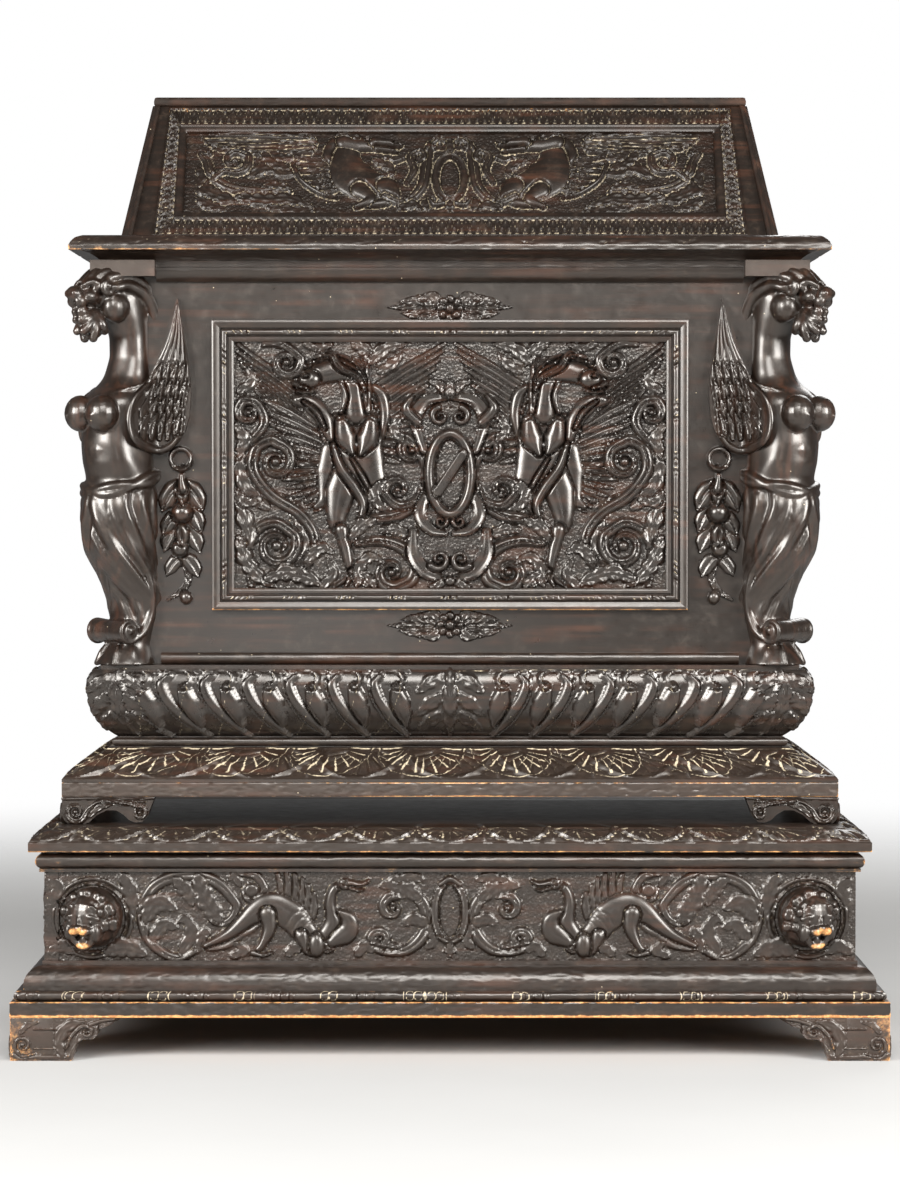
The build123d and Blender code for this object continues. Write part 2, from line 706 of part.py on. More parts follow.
def wing(plane, outwards):
    """A folded wing lying on the case beside its figure."""
    with BuildPart() as feathers:
        with BuildSketch(plane):
            with BuildLine():
                ThreePointArc(in_field(wing_root_top), in_field(wing_back_swell), in_field(wing_tip))
                ThreePointArc(in_field(wing_tip), in_field(wing_front_swell), in_field(wing_widest))
                ThreePointArc(in_field(wing_widest), in_field(wing_belly_swell), in_field(wing_bottom))
                Polyline(in_field(wing_bottom), in_field(wing_root_low), in_field(wing_root_top))
            make_face()
        extrude(amount=outwards * wing_thickness)
    return feathers.part


def pendant_fruit_height(place):
    """Height of a fruit's middle above the case bottom."""
    return pendant_fruits[place][0] * figure_stretch


def pendant(plane, outwards):
    """Ring, stem and a bunch of fruit hanging under a wing."""
    radius = pendant_ring[1] * field_width
    x, top = in_field((pendant_place, pendant_ring[0]))
    stem_top = top - radius * 0.6
    with BuildPart() as bunch:
        with BuildSketch(plane):
            with Locations((x, top)):
                RegularPolygon(radius, 12)
                RegularPolygon(radius * 0.5, 8, mode=Mode.SUBTRACT)
            with Locations((x, (stem_top + pendant_fruit_height(-1)) / 2)):
                Rectangle(9, stem_top - pendant_fruit_height(-1))
        extrude(amount=outwards * pendant_thickness)
        for place, (_, wide, tall) in enumerate(pendant_fruits):
            middle = plane.from_local_coords(Vector(x, pendant_fruit_height(place), 0))
            size = (wide * field_width, tall * figure_stretch)
            add(knob(middle, plane.z_dir * outwards, plane.x_dir, *size, fruit_projection, 6))
    return bunch.part


corner_faces = [face for side in (-1, 1) for face in face_planes(side)]
save_group([wing(plane, outwards) for plane, outwards in corner_faces], "applied_wings")
save_group([pendant(plane, outwards) for plane, outwards in corner_faces], "fruit_pendants")

# ---- tall chest: beads at the foot and crown --------------------------------------------------
bead_stop = 66.0             # beads stop this far from the corner, at the figures


def foot_bead_profile():
    """Half round planted at the foot of the case."""
    radius = foot_bead_height / 2
    with BuildSketch() as section:
        with BuildLine():
            Line((0, z_case), (0, z_case + foot_bead_height))
            ThreePointArc((0, z_case + foot_bead_height), (radius, z_case + radius), (0, z_case))
        make_face()
    return section.sketch


def crown_profile():
    """Ovolo and fillet under the lid."""
    low, fillet_low = z_lid - crown_height, z_lid - 10
    with BuildSketch() as section:
        with BuildLine():
            Polyline((crown_projection - 3, fillet_low), (crown_projection, fillet_low), (crown_projection, z_lid))
            Polyline((crown_projection, z_lid), (0, z_lid), (0, low), (4, low))
            ThreePointArc((4, low), (crown_projection - 8, low + 8), (crown_projection - 3, fillet_low))
        make_face()
    return section.sketch


def straight_set(profile, stop):
    """A moulding on the front and both sides that stops short of the front corners."""
    section = profile()
    with BuildPart() as front:
        with BuildSketch(Plane(origin=(0, upper_front, 0), x_dir=(0, -1, 0), z_dir=(-1, 0, 0))):
            add(section)
        extrude(amount=upper_half_width - stop, both=True)
    lengths = [front.part]
    for side in (-1, 1):
        with BuildPart() as length:
            with BuildSketch(Plane(origin=(side * upper_half_width, upper_back, 0),
                                   x_dir=(side, 0, 0), z_dir=(0, -side, 0))):
                add(section)
            extrude(amount=side * (upper_back - upper_front - stop))
        lengths.append(length.part)
    return lengths


save_group(straight_set(foot_bead_profile, bead_stop), "foot_bead")
block_inner = crown_block_length - crown_block_projection
save_group(straight_set(crown_profile, block_inner), "crown_moulding")


def crown_block(side):
    """Corner block that breaks forward over a figure's head."""
    out = upper_half_width + crown_block_projection
    front = upper_front - crown_block_projection
    middle = z_lid - crown_block_height / 2
    with BuildPart() as block:
        with Locations((side * (out - crown_block_length / 2), front + crown_block_length / 2, middle)):
            Box(crown_block_length, crown_block_length, crown_block_height)
        clear = 2 * crown_block_length
        with Locations((side * (upper_half_width - clear / 2), upper_front + clear / 2, middle)):
            Box(clear, clear, clear, mode=Mode.SUBTRACT)
    return block.part


save_group([crown_block(side) for side in (-1, 1)], "crown_blocks")


# ---- lid: cornice -----------------------------------------------------------------------------
def cornice_profile():
    """Cavetto, square nose and thumb moulding."""
    with BuildSketch() as section:
        with BuildLine():
            Polyline((53, z_slope), (-case_board, z_slope), (-case_board, z_lid), (30, z_lid))
            ThreePointArc((30, z_lid), (46, z_lid + 11), (70, z_lid + 15))
            Polyline((70, z_lid + 15), (cornice_projection, z_lid + 15), (cornice_projection, z_lid + 22))
            ThreePointArc((cornice_projection, z_lid + 22), (70, z_slope - 7), (53, z_slope))
        make_face()
    return section.sketch


save_set(cornice_profile, upper_half_width, upper_front, upper_back, "lid_cornice")
save(
    board((-case_inside, case_inside), (upper_back - case_board, upper_back), (z_lid, z_slope)),
    "lid_cornice_back",
)

# ---- lid: hipped boards -----------------------------------------------------------------------
slope_height = lid_rise - lid_top_thickness
front_foot = upper_front + lid_inset
front_head = front_foot + lid_front_run * slope_height / lid_rise
side_foot = upper_half_width - lid_inset
side_head = side_foot - lid_side_run * slope_height / lid_rise
front_slant = hypot(front_head - front_foot, slope_height)
side_slant = hypot(side_foot - side_head, slope_height)
front_across = lid_board * front_slant / slope_height
lid_panel_width = 2 * (side_head - lid_panel_margin)
side_across = lid_board * side_slant / slope_height
front_outer = Plane(origin=(0, (front_foot + front_head) / 2, (z_slope + z_lid_top) / 2),
                    x_dir=(1, 0, 0), z_dir=(0, -slope_height, front_head - front_foot))
front_inner = front_outer.offset(-lid_board)


def side_outer(side):
    """Plane of a side slope, facing out."""
    return Plane(origin=(side * side_foot, 0, z_slope), x_dir=(0, 1, 0),
                 z_dir=(side * slope_height, 0, side_foot - side_head))


with BuildPart() as lid_front_board:
    with BuildSketch(Plane.YZ):
        Polygon((front_foot, z_slope), (front_foot + front_across, z_slope),
                (front_head + front_across, z_lid_top), (front_head, z_lid_top), align=None)
    extrude(amount=side_foot, both=True)
    for side in (-1, 1):
        split(bisect_by=side_outer(side), keep=Keep.BOTTOM)
    with BuildSketch(front_outer):
        Rectangle(lid_panel_width, lid_panel_height)
    extrude(amount=-lid_panel_recess, mode=Mode.SUBTRACT)
save(lid_front_board.part, "lid_front_board")

lid_panel_stretch = lid_panel_width / lid_panel_height
dragon_body = ((-42, 92), (-20, 76), (-20, 52), (-36, 48), (-38, 6), (-24, -12), (-22, -44), (-36, -84),
               (-44, -54), (-46, 10), (-47, 60))
dragon_forms = (
    ((-94, 88), (-54, 96), (-48, 64), (-53, 30), (-70, 52)),
    ((-60, 34), (-47, 32), (-44, -38), (-52, -54), (-58, -20)),
    band(((-45, -62), (-62, -46), (-80, -42), (-90, -10), (-91, 28)), 1.4, lid_panel_stretch),
    ((-94, -8), (-90, -44), (-70, -66), (-51, -84), (-52, -70), (-74, -40)),
    disc(-81, 26, 5, 26),
    band(((-74, -6), (-66, 14), (-56, 6)), 1.8, lid_panel_stretch),
)
lid_straps = (
    band(((-24, -56), (-16, -66), (-10, -30), (-8, 24), (-5, 82)), 1.4, lid_panel_stretch),
    band(((-15, -22), (-14, 20), (-11, 52)), 1.2, lid_panel_stretch),
)

with BuildPart() as lid_front_panel:
    lid_panel_size = (lid_panel_width / 2, lid_panel_height / 2)
    lid_ground = front_outer.offset(lid_panel_ground - lid_panel_recess)
    lid_high_relief = lid_panel_recess - lid_panel_ground - 1
    with BuildSketch(front_outer.offset(-lid_panel_recess)):
        Rectangle(lid_panel_width - 2 * lid_panel_play, lid_panel_height - 2 * lid_panel_play)
    extrude(amount=lid_panel_ground)
    add(raised_forms(lid_ground, *lid_panel_size, (*dragon_forms, *lid_straps), lid_panel_low_relief))
    add(raised_forms(lid_ground, *lid_panel_size, (dragon_body,), lid_high_relief))
    add(cartouche(lid_ground, 0.034 * lid_panel_width, 0.31 * lid_panel_height, lid_high_relief))
save(lid_front_panel.part, "lid_front_panel")

for side, place in ((-1, "left"), (1, "right")):
    with BuildPart() as lid_side_board:
        with BuildSketch(Plane(origin=(0, case_y1, 0), x_dir=(1, 0, 0), z_dir=(0, -1, 0))):
            Polygon((side * side_foot, z_slope), (side * side_head, z_lid_top),
                    (side * (side_head - side_across), z_lid_top), (side * (side_foot - side_across), z_slope),
                    align=None)
        extrude(amount=case_y1 - front_foot)
        split(bisect_by=front_inner, keep=Keep.BOTTOM)
    save(lid_side_board.part, f"lid_side_board_{place}")

with BuildPart() as lid_back_board:
    with BuildSketch(Plane(origin=(0, upper_back, 0), x_dir=(1, 0, 0), z_dir=(0, -1, 0))):
        Polygon((-side_foot, z_slope), (side_foot, z_slope), (side_head, z_lid_top), (-side_head, z_lid_top),
                align=None)
    extrude(amount=back_board)
save(lid_back_board.part, "lid_back_board")

with BuildPart() as lid_top_board:
    top_half = side_head + lid_top_overhang
    top_front = front_head - lid_top_overhang
    with Locations((0, (top_front + upper_back) / 2, z_lid_top + lid_top_thickness / 2)):
        Box(2 * top_half, upper_back - top_front, lid_top_thickness)
    nose = lid_top_board.faces().filter_by(Axis.Z).edges()
    rear = lid_top_board.faces().sort_by(Axis.Y)[-1].edges()
    fillet([edge for edge in nose if edge not in rear], lid_top_thickness * 0.42)
save(lid_top_board.part, "lid_top_board")


def hip_reed(side):
    """Tapered reed along a front hip, sitting on the corner of the front and side boards."""
    foot = Vector(side * side_foot, front_foot, z_slope)
    head = Vector(side * side_head, front_head, z_lid_top)
    along = head - foot
    with BuildPart() as reed:
        spare = 0.1
        low = Plane(origin=foot - along * spare, z_dir=along)
        far = along.length * (1 + 2 * spare)
        radii = (reed_radius_bottom, reed_radius_top)
        add(carved_rounds(low, ((0, 0, radii[0], radii[0]), (far, 0, radii[1], radii[1]))))
        split(bisect_by=Plane(origin=(0, 0, z_slope), z_dir=(0, 0, 1)), keep=Keep.TOP)
        split(bisect_by=Plane(origin=(0, 0, z_lid_top), z_dir=(0, 0, 1)), keep=Keep.BOTTOM)
        with BuildSketch(Plane.XY.offset(z_slope)):
            with Locations((0, (front_foot + upper_back) / 2)):
                Rectangle(2 * side_foot, upper_back - front_foot)
        with BuildSketch(Plane.XY.offset(z_lid_top)):
            with Locations((0, (front_head + upper_back) / 2)):
                Rectangle(2 * side_head, upper_back - front_head)
        loft(mode=Mode.SUBTRACT)
    return reed.part


save_group([hip_reed(side) for side in (-1, 1)], "lid_hip_reeds")

# ---- hinges -----------------------------------------------------------------------------------
pin_y = upper_back + knuckle_stand_off + knuckle_radius
knuckle_third = strap_width / 3
hole_radius = pin_radius + pin_play


def hinge_leaf(x, up):
    """One strap with its knuckles: the case's leaf has the outer two, the lid's the middle one."""
    with BuildPart() as leaf:
        with Locations((x, upper_back + strap_thickness / 2, z_lid + up * strap_length / 2)):
            Box(strap_width, strap_thickness, strap_length)
        clear = knuckle_radius + knuckle_stand_off
        own = [0] if up > 0 else [-1, 1]
        other = [-1, 1] if up > 0 else [0]
        for place in other:
            with Locations((x + place * knuckle_third, upper_back + strap_thickness / 2, z_lid + up * clear / 2)):
                Box(knuckle_third + 0.01, strap_thickness, clear, mode=Mode.SUBTRACT)
        for place in own:
            with Locations(Location((x + place * knuckle_third, pin_y, z_lid), (0, 90, 0))):
                Cylinder(knuckle_radius, knuckle_third - knuckle_gap)
        with Locations(Location((x, pin_y, z_lid), (0, 90, 0))):
            Cylinder(hole_radius, 2 * strap_width, mode=Mode.SUBTRACT)
    return leaf.part


def hinge_pin(x):
    """Pin with a small eight-sided head hammered up at each end."""
    length = strap_width - knuckle_gap
    with BuildPart() as pin:
        with Locations(Location((x, pin_y, z_lid), (0, 90, 0))):
            Cylinder(pin_radius, length)
        for end in (-1, 1):
            with BuildSketch(Plane(origin=(x + end * length / 2, pin_y, z_lid), z_dir=(end, 0, 0))):
                RegularPolygon(pin_head_radius, 8)
            extrude(amount=pin_head_thickness)
    return pin.part


hinge_places = (-hinge_span / 2, hinge_span / 2)
save_group([hinge_leaf(x, -1) for x in hinge_places], "case_hinge_leaves")
save_group([hinge_leaf(x, 1) for x in hinge_places], "lid_hinge_leaves")
save_group([hinge_pin(x) for x in hinge_places], "hinge_pins")
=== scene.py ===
"""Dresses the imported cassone: carved ebonised walnut on a CAD carcase, with its camera and soft studio light.

Lengths are in millimetres until a mesh is set, in the frame of the CAD part: +Z up, the front facing -Y.
"""

import logging
import math
from dataclasses import dataclass
from enum import Enum
from typing import Callable, Sequence

import bpy
import numpy as np
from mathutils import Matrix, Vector


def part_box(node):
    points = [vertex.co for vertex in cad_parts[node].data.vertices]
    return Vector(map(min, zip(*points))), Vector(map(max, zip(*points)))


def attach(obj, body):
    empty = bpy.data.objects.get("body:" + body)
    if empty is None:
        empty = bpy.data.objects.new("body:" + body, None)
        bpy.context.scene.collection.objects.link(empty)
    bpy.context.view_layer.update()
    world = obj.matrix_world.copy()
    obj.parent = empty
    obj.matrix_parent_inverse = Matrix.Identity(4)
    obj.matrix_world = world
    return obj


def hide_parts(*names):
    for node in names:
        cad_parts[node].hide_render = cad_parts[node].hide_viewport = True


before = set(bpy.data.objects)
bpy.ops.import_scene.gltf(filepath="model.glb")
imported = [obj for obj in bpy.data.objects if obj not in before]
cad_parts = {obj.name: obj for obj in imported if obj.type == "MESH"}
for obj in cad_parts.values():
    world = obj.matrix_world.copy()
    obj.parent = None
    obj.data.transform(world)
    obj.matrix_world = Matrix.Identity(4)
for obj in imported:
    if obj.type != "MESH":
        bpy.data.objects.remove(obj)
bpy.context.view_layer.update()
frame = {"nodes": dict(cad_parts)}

MM = 0.001
LOG = logging.getLogger("cassone")
RANDOM_SEED = 1871
FRONT_CORNERS = ((-1, "left"), (1, "right"))
FRONT_AND_ENDS = ((0, "front"), *FRONT_CORNERS)
ACROSS, BACKWARDS, UPWARDS = (1, 0, 0), (0, 1, 0), (0, 0, 1)

Point = tuple[float, float]
Wear = Callable[[np.ndarray], np.ndarray]


def span(node: str) -> tuple[np.ndarray, np.ndarray]:
    """Lowest and highest corners of a CAD node, in millimetres.

    Args:
        node: the CAD node's name.

    Returns:
        Two arrays of x, y and z.
    """
    low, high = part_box(node)
    return np.array(low) / MM, np.array(high) / MM


# ----------------------------------------
# Finishes
# ----------------------------------------

def linear(code: str) -> tuple[float, float, float, float]:
    """Linear RGBA of an sRGB hex colour.

    Args:
        code: a colour such as "#2a201b".

    Returns:
        Red, green, blue and an alpha of 1.
    """
    channels = [int(code[i:i + 2], 16) / 255 for i in (1, 3, 5)]
    toe, slope = 0.04045, 12.92
    return (*[c / slope if c <= toe else ((c + 0.055) / 1.055) ** 2.4 for c in channels], 1.0)


def add(tree: bpy.types.NodeTree, kind: str, inputs: dict | Sequence = (), output: int | str = 0,
        **settings: str | bool) -> bpy.types.NodeSocket | None:
    """Adds a shader node with its settings, values and links.

    Args:
        tree: the node tree that gets the node.
        kind: the node's type, without "ShaderNode".
        inputs: a value, a hex colour or an output socket for each named or numbered input, or for the first in order.
        output: the output to hand on.
        **settings: properties of the node itself.

    Returns:
        The output's socket, or None where the node has no output.
    """
    node = tree.nodes.new("ShaderNode" + kind)
    for name, value in settings.items():
        setattr(node, name, value)
    for name, value in (inputs.items() if isinstance(inputs, dict) else enumerate(inputs)):
        if isinstance(value, bpy.types.NodeSocket):
            tree.links.new(value, node.inputs[name])
        else:
            node.inputs[name].default_value = linear(value) if isinstance(value, str) else value
    return node.outputs[output] if len(node.outputs) else None


def emptied(owner: bpy.types.Material | bpy.types.World) -> bpy.types.NodeTree:
    """The node tree of a material or world, with nothing in it.

    Args:
        owner: what the tree belongs to.

    Returns:
        The empty tree.
    """
    owner.use_nodes = True
    owner.node_tree.nodes.clear()
    return owner.node_tree


STEP = {"interpolation_type": "SMOOTHSTEP"}                 # a Map Range node that goes smoothly from 0 to 1
COLOUR = {"data_type": "RGBA", "clamp_factor": True}        # a Mix node of two colours: inputs 6 and 7, output 2


class Grain(Enum):
    """The axis that the wood's fibres run along."""

    ALONG_X = 0
    ALONG_Y = 1
    ALONG_Z = 2


@dataclass(frozen=True)
class Finish:
    """A finish of one named material, with its patterns on Object coordinates."""

    name: str

    def material(self) -> bpy.types.Material:
        """The finish as a Blender material.

        Returns:
            The material, made once under its name.
        """
        made = bpy.data.materials.get(self.name)
        if not made:
            made = bpy.data.materials.new(self.name)
            tree = emptied(made)
            add(tree, "OutputMaterial", {"Surface": self.shader(tree, add(tree, "TexCoord", output="Object"))})
        return made

    def shader(self, tree: bpy.types.NodeTree, place: bpy.types.NodeSocket) -> bpy.types.NodeSocket:
        """Draws the finish.

        Args:
            tree: the material's node tree.
            place: the socket of the Object coordinates.

        Returns:
            The shader's socket.
        """
        raise NotImplementedError


@dataclass(frozen=True)
class WaxedWalnut(Finish):
    """Walnut stained and waxed nearly black: dark satin faces, red-brown where the stain is thin, bare ochre
    wood on rubbed arrises and pale old wax in the hollows of the carving."""

    grain: Grain = Grain.ALONG_X
    stain: str = "#18100b"
    thin_stain: str = "#3a2318"
    dusty: str = "#4a3a2d"
    bare: str = "#b87a45"
    bright: str = "#e0a866"
    dark_fibre: str = "#7a4526"
    wax: str = "#cdbd9f"
    worm: str = "#0b0807"
    rubbing: float = 0.5            # how readily the arrises show bare wood
    waxing: float = 0.5             # how readily the hollows show old wax
    gloss: float = 0.36             # roughness of a waxed face
    shine: float = 0.75             # strength of the reflection under the wax
    coat: float = 0.25              # how much polished wax lies over it
    polish: str = "#fff8ef"         # the warm cast that browned wax gives its reflections
    punch: float = 4.2              # spacing of the punch marks on a carved ground, mm
    fibre: float = 1.4              # width of a fibre streak, drawn as coarse as it needs to show, mm
    worm_spacing: float = 19.0      # distance from one worm hole to the next, mm
    nick_spacing: float = 31.0      # distance from one wax-filled nick to the next, mm

    def shader(self, tree: bpy.types.NodeTree, place: bpy.types.NodeSocket) -> bpy.types.NodeSocket:
        """Draws the wood, its wear and its wax, from the piece's attributes where they follow the carving.

        Args:
            tree: the material's node tree.
            place: the socket of the Object coordinates.

        Returns:
            The shader's socket.
        """
        stretch = [1 / (self.fibre * MM)] * 3
        stretch[self.grain.value] /= 22
        along = add(tree, "Mapping", {"Vector": place, "Scale": stretch})
        fibres = add(tree, "TexNoise", {"Vector": along, "Scale": 1.0, "Detail": 5.0, "Roughness": 0.6})
        broad = add(tree, "TexNoise", {"Vector": along, "Scale": 0.11, "Detail": 3.0})
        clouds = add(tree, "TexNoise", {"Vector": place, "Scale": 9.0, "Detail": 5.0, "Roughness": 0.6})
        specks = add(tree, "TexNoise", {"Vector": place, "Scale": 210.0, "Detail": 3.0})
        patches = add(tree, "TexNoise", {"Vector": place, "Scale": 42.0, "Detail": 6.0, "Roughness": 0.7})
        crest, hollow, ground, worn, pale = (add(tree, "Attribute", output="Fac", attribute_name=name)
                                             for name in ("crest", "hollow", "ground", "worn", "pale"))
        colour = linear(self.stain)
        thin = add(tree, "Math", (add(tree, "MapRange", (broad, 0.42, 0.72), **STEP),
                                  add(tree, "MapRange", (clouds, 0.38, 0.66), **STEP)), operation="MULTIPLY")
        streak = add(tree, "Math", (add(tree, "MapRange", (fibres, 0.52, 0.8), **STEP), 0.35), operation="MULTIPLY")
        dust = add(tree, "Math", (add(tree, "MapRange", (patches, 0.5, 0.8), **STEP), 0.4), operation="MULTIPLY")
        for share, over in ((thin, self.thin_stain), (streak, self.thin_stain), (dust, self.dusty)):
            colour = add(tree, "Mix", {0: share, 6: colour, 7: over}, 2, **COLOUR)

        rub = add(tree, "Math", (crest, self.rubbing, worn), operation="MULTIPLY_ADD")
        rub = add(tree, "Math", (rub, add(tree, "Math", (patches, 0.9), operation="MULTIPLY")), operation="ADD")
        rubbed = add(tree, "MapRange", (rub, 0.92, 1.22), **STEP)
        tone = linear(self.bare)
        for noise, low, high, over in ((specks, 0.4, 0.62, self.bright), (fibres, 0.55, 0.75, self.dark_fibre)):
            share = add(tree, "MapRange", (noise, low, high), **STEP)
            tone = add(tree, "Mix", {0: share, 6: tone, 7: over}, 2, **COLOUR)
        share = add(tree, "Math", (rubbed, 0.92), operation="MULTIPLY")
        colour = add(tree, "Mix", {0: share, 6: colour, 7: tone}, 2, **COLOUR)

        filled = [add(tree, "Math", pair, operation="MULTIPLY") for pair in ((hollow, self.waxing), (specks, 0.5))]
        filled = add(tree, "MapRange", (add(tree, "Math", filled, operation="ADD"), 0.62, 0.98), **STEP)
        lined = add(tree, "Math", (specks, 0.5, pale), operation="MULTIPLY_ADD")
        lined = add(tree, "MapRange", (lined, 0.86, 1.2), **STEP)
        waxed = [add(tree, "Math", pair, operation="MULTIPLY") for pair in ((filled, 0.85), (lined, 0.8))]
        waxed = add(tree, "Math", waxed, operation="MAXIMUM")
        colour = add(tree, "Mix", {0: waxed, 6: colour, 7: self.wax}, 2, **COLOUR)

        at = {"Vector": place, "Scale": 1 / (self.worm_spacing * MM)}
        holes = add(tree, "TexVoronoi", at, "Distance", feature="F1")
        size = add(tree, "SeparateColor", {0: holes.node.outputs["Color"]})
        size = add(tree, "Math", (size, 0.075), operation="MULTIPLY")
        size = add(tree, "Math", (size, 0.03), operation="SUBTRACT")
        hole = add(tree, "Math", (holes, size), operation="LESS_THAN")
        nick = add(tree, "TexVoronoi", {"Vector": place, "Scale": 1 / (self.nick_spacing * MM)}, feature="F1")
        nick = add(tree, "Math", (nick, 0.028), operation="LESS_THAN")
        nick = add(tree, "Math", (nick, 0.8), operation="MULTIPLY")
        for share, over in ((hole, self.worm), (nick, self.wax)):
            colour = add(tree, "Mix", {0: share, 6: colour, 7: over}, 2, **COLOUR)

        rough = add(tree, "Math", (patches, 0.3, self.gloss - 0.15), operation="MULTIPLY_ADD")
        rough = add(tree, "Math", (rough, add(tree, "Math", (waxed, 0.35), operation="MULTIPLY")), operation="ADD")
        rough = add(tree, "Math", (rough, add(tree, "Math", (rubbed, 0.5), operation="MULTIPLY")),
                    operation="MAXIMUM", use_clamp=True)

        dots = add(tree, "TexVoronoi", {"Vector": place, "Scale": 1 / (self.punch * MM)}, feature="F1")
        deep = add(tree, "Math", (ground, 1.5), operation="MULTIPLY")
        pits = add(tree, "Math", (dots, deep), operation="MULTIPLY")
        for noise, depth in ((fibres, 0.16), (patches, 0.22)):
            share = add(tree, "Math", (noise, depth), operation="MULTIPLY")
            pits = add(tree, "Math", (pits, share), operation="ADD")
        bump = add(tree, "Bump", {"Height": pits, "Strength": 0.55, "Distance": 1.1 * MM})
        return add(tree, "BsdfPrincipled", {"Base Color": colour, "Roughness": rough, "Normal": bump, "IOR": 1.5,
                                            "Specular IOR Level": self.shine, "Specular Tint": self.polish,
                                            "Coat Weight": self.coat, "Coat Roughness": 0.18})


@dataclass(frozen=True)
class PlainWalnut(Finish):
    """Planed walnut left without stain on the backs and insides: dull mid brown, with open grain and dirt."""

    grain: Grain = Grain.ALONG_X
    light: str = "#6e5139"
    dark: str = "#543c2a"
    dirt: str = "#35281f"
    ring: float = 16.0              # spacing of the growth rings on a board's face, mm
    ring_sway: float = 290.0        # how far the noise carries a ring across the board, mm
    pore: float = 1.6               # width of an open pore, drawn as coarse as it needs to show, mm

    def shader(self, tree: bpy.types.NodeTree, place: bpy.types.NodeSocket) -> bpy.types.NodeSocket:
        """Draws the rings, the pores and the dirt.

        Args:
            tree: the material's node tree.
            place: the socket of the Object coordinates.

        Returns:
            The shader's socket.
        """
        stretch = [1.0, 1.0, 1.0]
        stretch[self.grain.value] = 0.06
        along = add(tree, "Mapping", {"Vector": place, "Scale": stretch})
        warp = add(tree, "TexNoise", {"Vector": along, "Scale": 9.0, "Detail": 3.0})
        warp = add(tree, "Math", (warp, 2 * math.pi * self.ring_sway / self.ring), operation="MULTIPLY")
        fine = add(tree, "TexNoise", {"Vector": along, "Scale": 1 / (self.pore * MM), "Detail": 4.0})
        clouds = add(tree, "TexNoise", {"Vector": place, "Scale": 7.0, "Detail": 5.0})
        rings = add(tree, "MapRange", (add(tree, "Math", (warp,), operation="SINE"), -0.9, 1.0), **STEP)
        colour = add(tree, "Mix", {0: rings, 6: self.dark, 7: self.light}, 2, **COLOUR)
        for noise, strength, over in ((fine, 0.6, self.dark), (clouds, 0.7, self.dirt)):
            share = add(tree, "MapRange", (noise, 0.45, 0.75), **STEP)
            share = add(tree, "Math", (share, strength), operation="MULTIPLY")
            colour = add(tree, "Mix", {0: share, 6: colour, 7: over}, 2, **COLOUR)
        rough = add(tree, "Math", (fine, 0.3, 0.5), operation="MULTIPLY_ADD")
        bump = add(tree, "Bump", {"Height": fine, "Strength": 0.5, "Distance": 0.5 * MM})
        return add(tree, "BsdfPrincipled", {"Base Color": colour, "Roughness": rough, "Normal": bump, "IOR": 1.5})


@dataclass(frozen=True)
class WroughtIron(Finish):
    """Forged iron of the hinges: near-black scale with brown rust and a hammered face."""

    scale: str = "#3a3734"
    rust: str = "#5b3420"
    hammer: float = 9.0             # spacing of the hammer marks, mm

    def shader(self, tree: bpy.types.NodeTree, place: bpy.types.NodeSocket) -> bpy.types.NodeSocket:
        """Draws the scale, the rust and the hammer marks.

        Args:
            tree: the material's node tree.
            place: the socket of the Object coordinates.

        Returns:
            The shader's socket.
        """
        blotches = add(tree, "TexNoise", {"Vector": place, "Scale": 60.0, "Detail": 6.0})
        marks = add(tree, "TexVoronoi", {"Vector": place, "Scale": 1 / (self.hammer * MM)}, feature="SMOOTH_F1")
        rusty = add(tree, "MapRange", (blotches, 0.48, 0.68), **STEP)
        colour = add(tree, "Mix", {0: rusty, 6: self.scale, 7: self.rust}, 2, **COLOUR)
        rough = add(tree, "Math", (rusty, 0.35, 0.42), operation="MULTIPLY_ADD")
        metal = add(tree, "Math", (rusty, 0.7), operation="MULTIPLY")
        metal = add(tree, "Math", (0.9, metal), operation="SUBTRACT")
        bump = add(tree, "Bump", {"Height": marks, "Strength": 0.4, "Distance": MM})
        return add(tree, "BsdfPrincipled", {"Base Color": colour, "Roughness": rough, "Metallic": metal,
                                            "Normal": bump})


# Stained and waxed walnut. The figures, the panel and the boards are the most polished, and shine; the lid, which
# only dust reaches, is drier and duller; the fan moulding and the feet show more bare wood and old wax.
CARVED = WaxedWalnut("waxed_walnut_carved", waxing=0.42, rubbing=0.30)
CARVED_LID = WaxedWalnut("waxed_walnut_lid_carving", waxing=0.54, rubbing=0.26, stain="#150f0b", gloss=0.4, shine=0.36,
                         coat=0.15)
CARVED_GLOSS = WaxedWalnut("waxed_walnut_carved_gloss", waxing=0.2, rubbing=0.26, gloss=0.3, stain="#17120f")
MOULDED = WaxedWalnut("waxed_walnut_moulding", waxing=0.25, rubbing=0.42)
MOULDED_SIDE = WaxedWalnut("waxed_walnut_side_moulding", grain=Grain.ALONG_Y, waxing=0.25, rubbing=0.42)
SHELL_CARVED = WaxedWalnut("waxed_walnut_fan_moulding", waxing=0.6, rubbing=0.3, stain="#1f1610")
RUBBED = WaxedWalnut("waxed_walnut_rubbed", waxing=0.3, rubbing=0.5, stain="#2b2019", dusty="#5a4a3c", gloss=0.42)
FIGURE = WaxedWalnut("waxed_walnut_figure", grain=Grain.ALONG_Z, waxing=0.2, rubbing=0.3, gloss=0.34)
END_BOARD = WaxedWalnut("waxed_walnut_end_board", grain=Grain.ALONG_Y)
DULL_END = WaxedWalnut("waxed_walnut_dull_end", grain=Grain.ALONG_Y, rubbing=0.42, gloss=0.62, shine=0.2, coat=0.0)
DULL_TOP = WaxedWalnut("waxed_walnut_dull_top", rubbing=0.42, gloss=0.6, shine=0.25, coat=0.0)
BOARD = WaxedWalnut("waxed_walnut_board", stain="#17110d", dusty="#40372f", gloss=0.33)
# Planed walnut that never had stain or wax: brown and dull, where nobody looks.
BARE_BACK = PlainWalnut("unstained_planed_walnut")
BARE_DEPTH = PlainWalnut("unstained_planed_walnut_depthwise", grain=Grain.ALONG_Y)
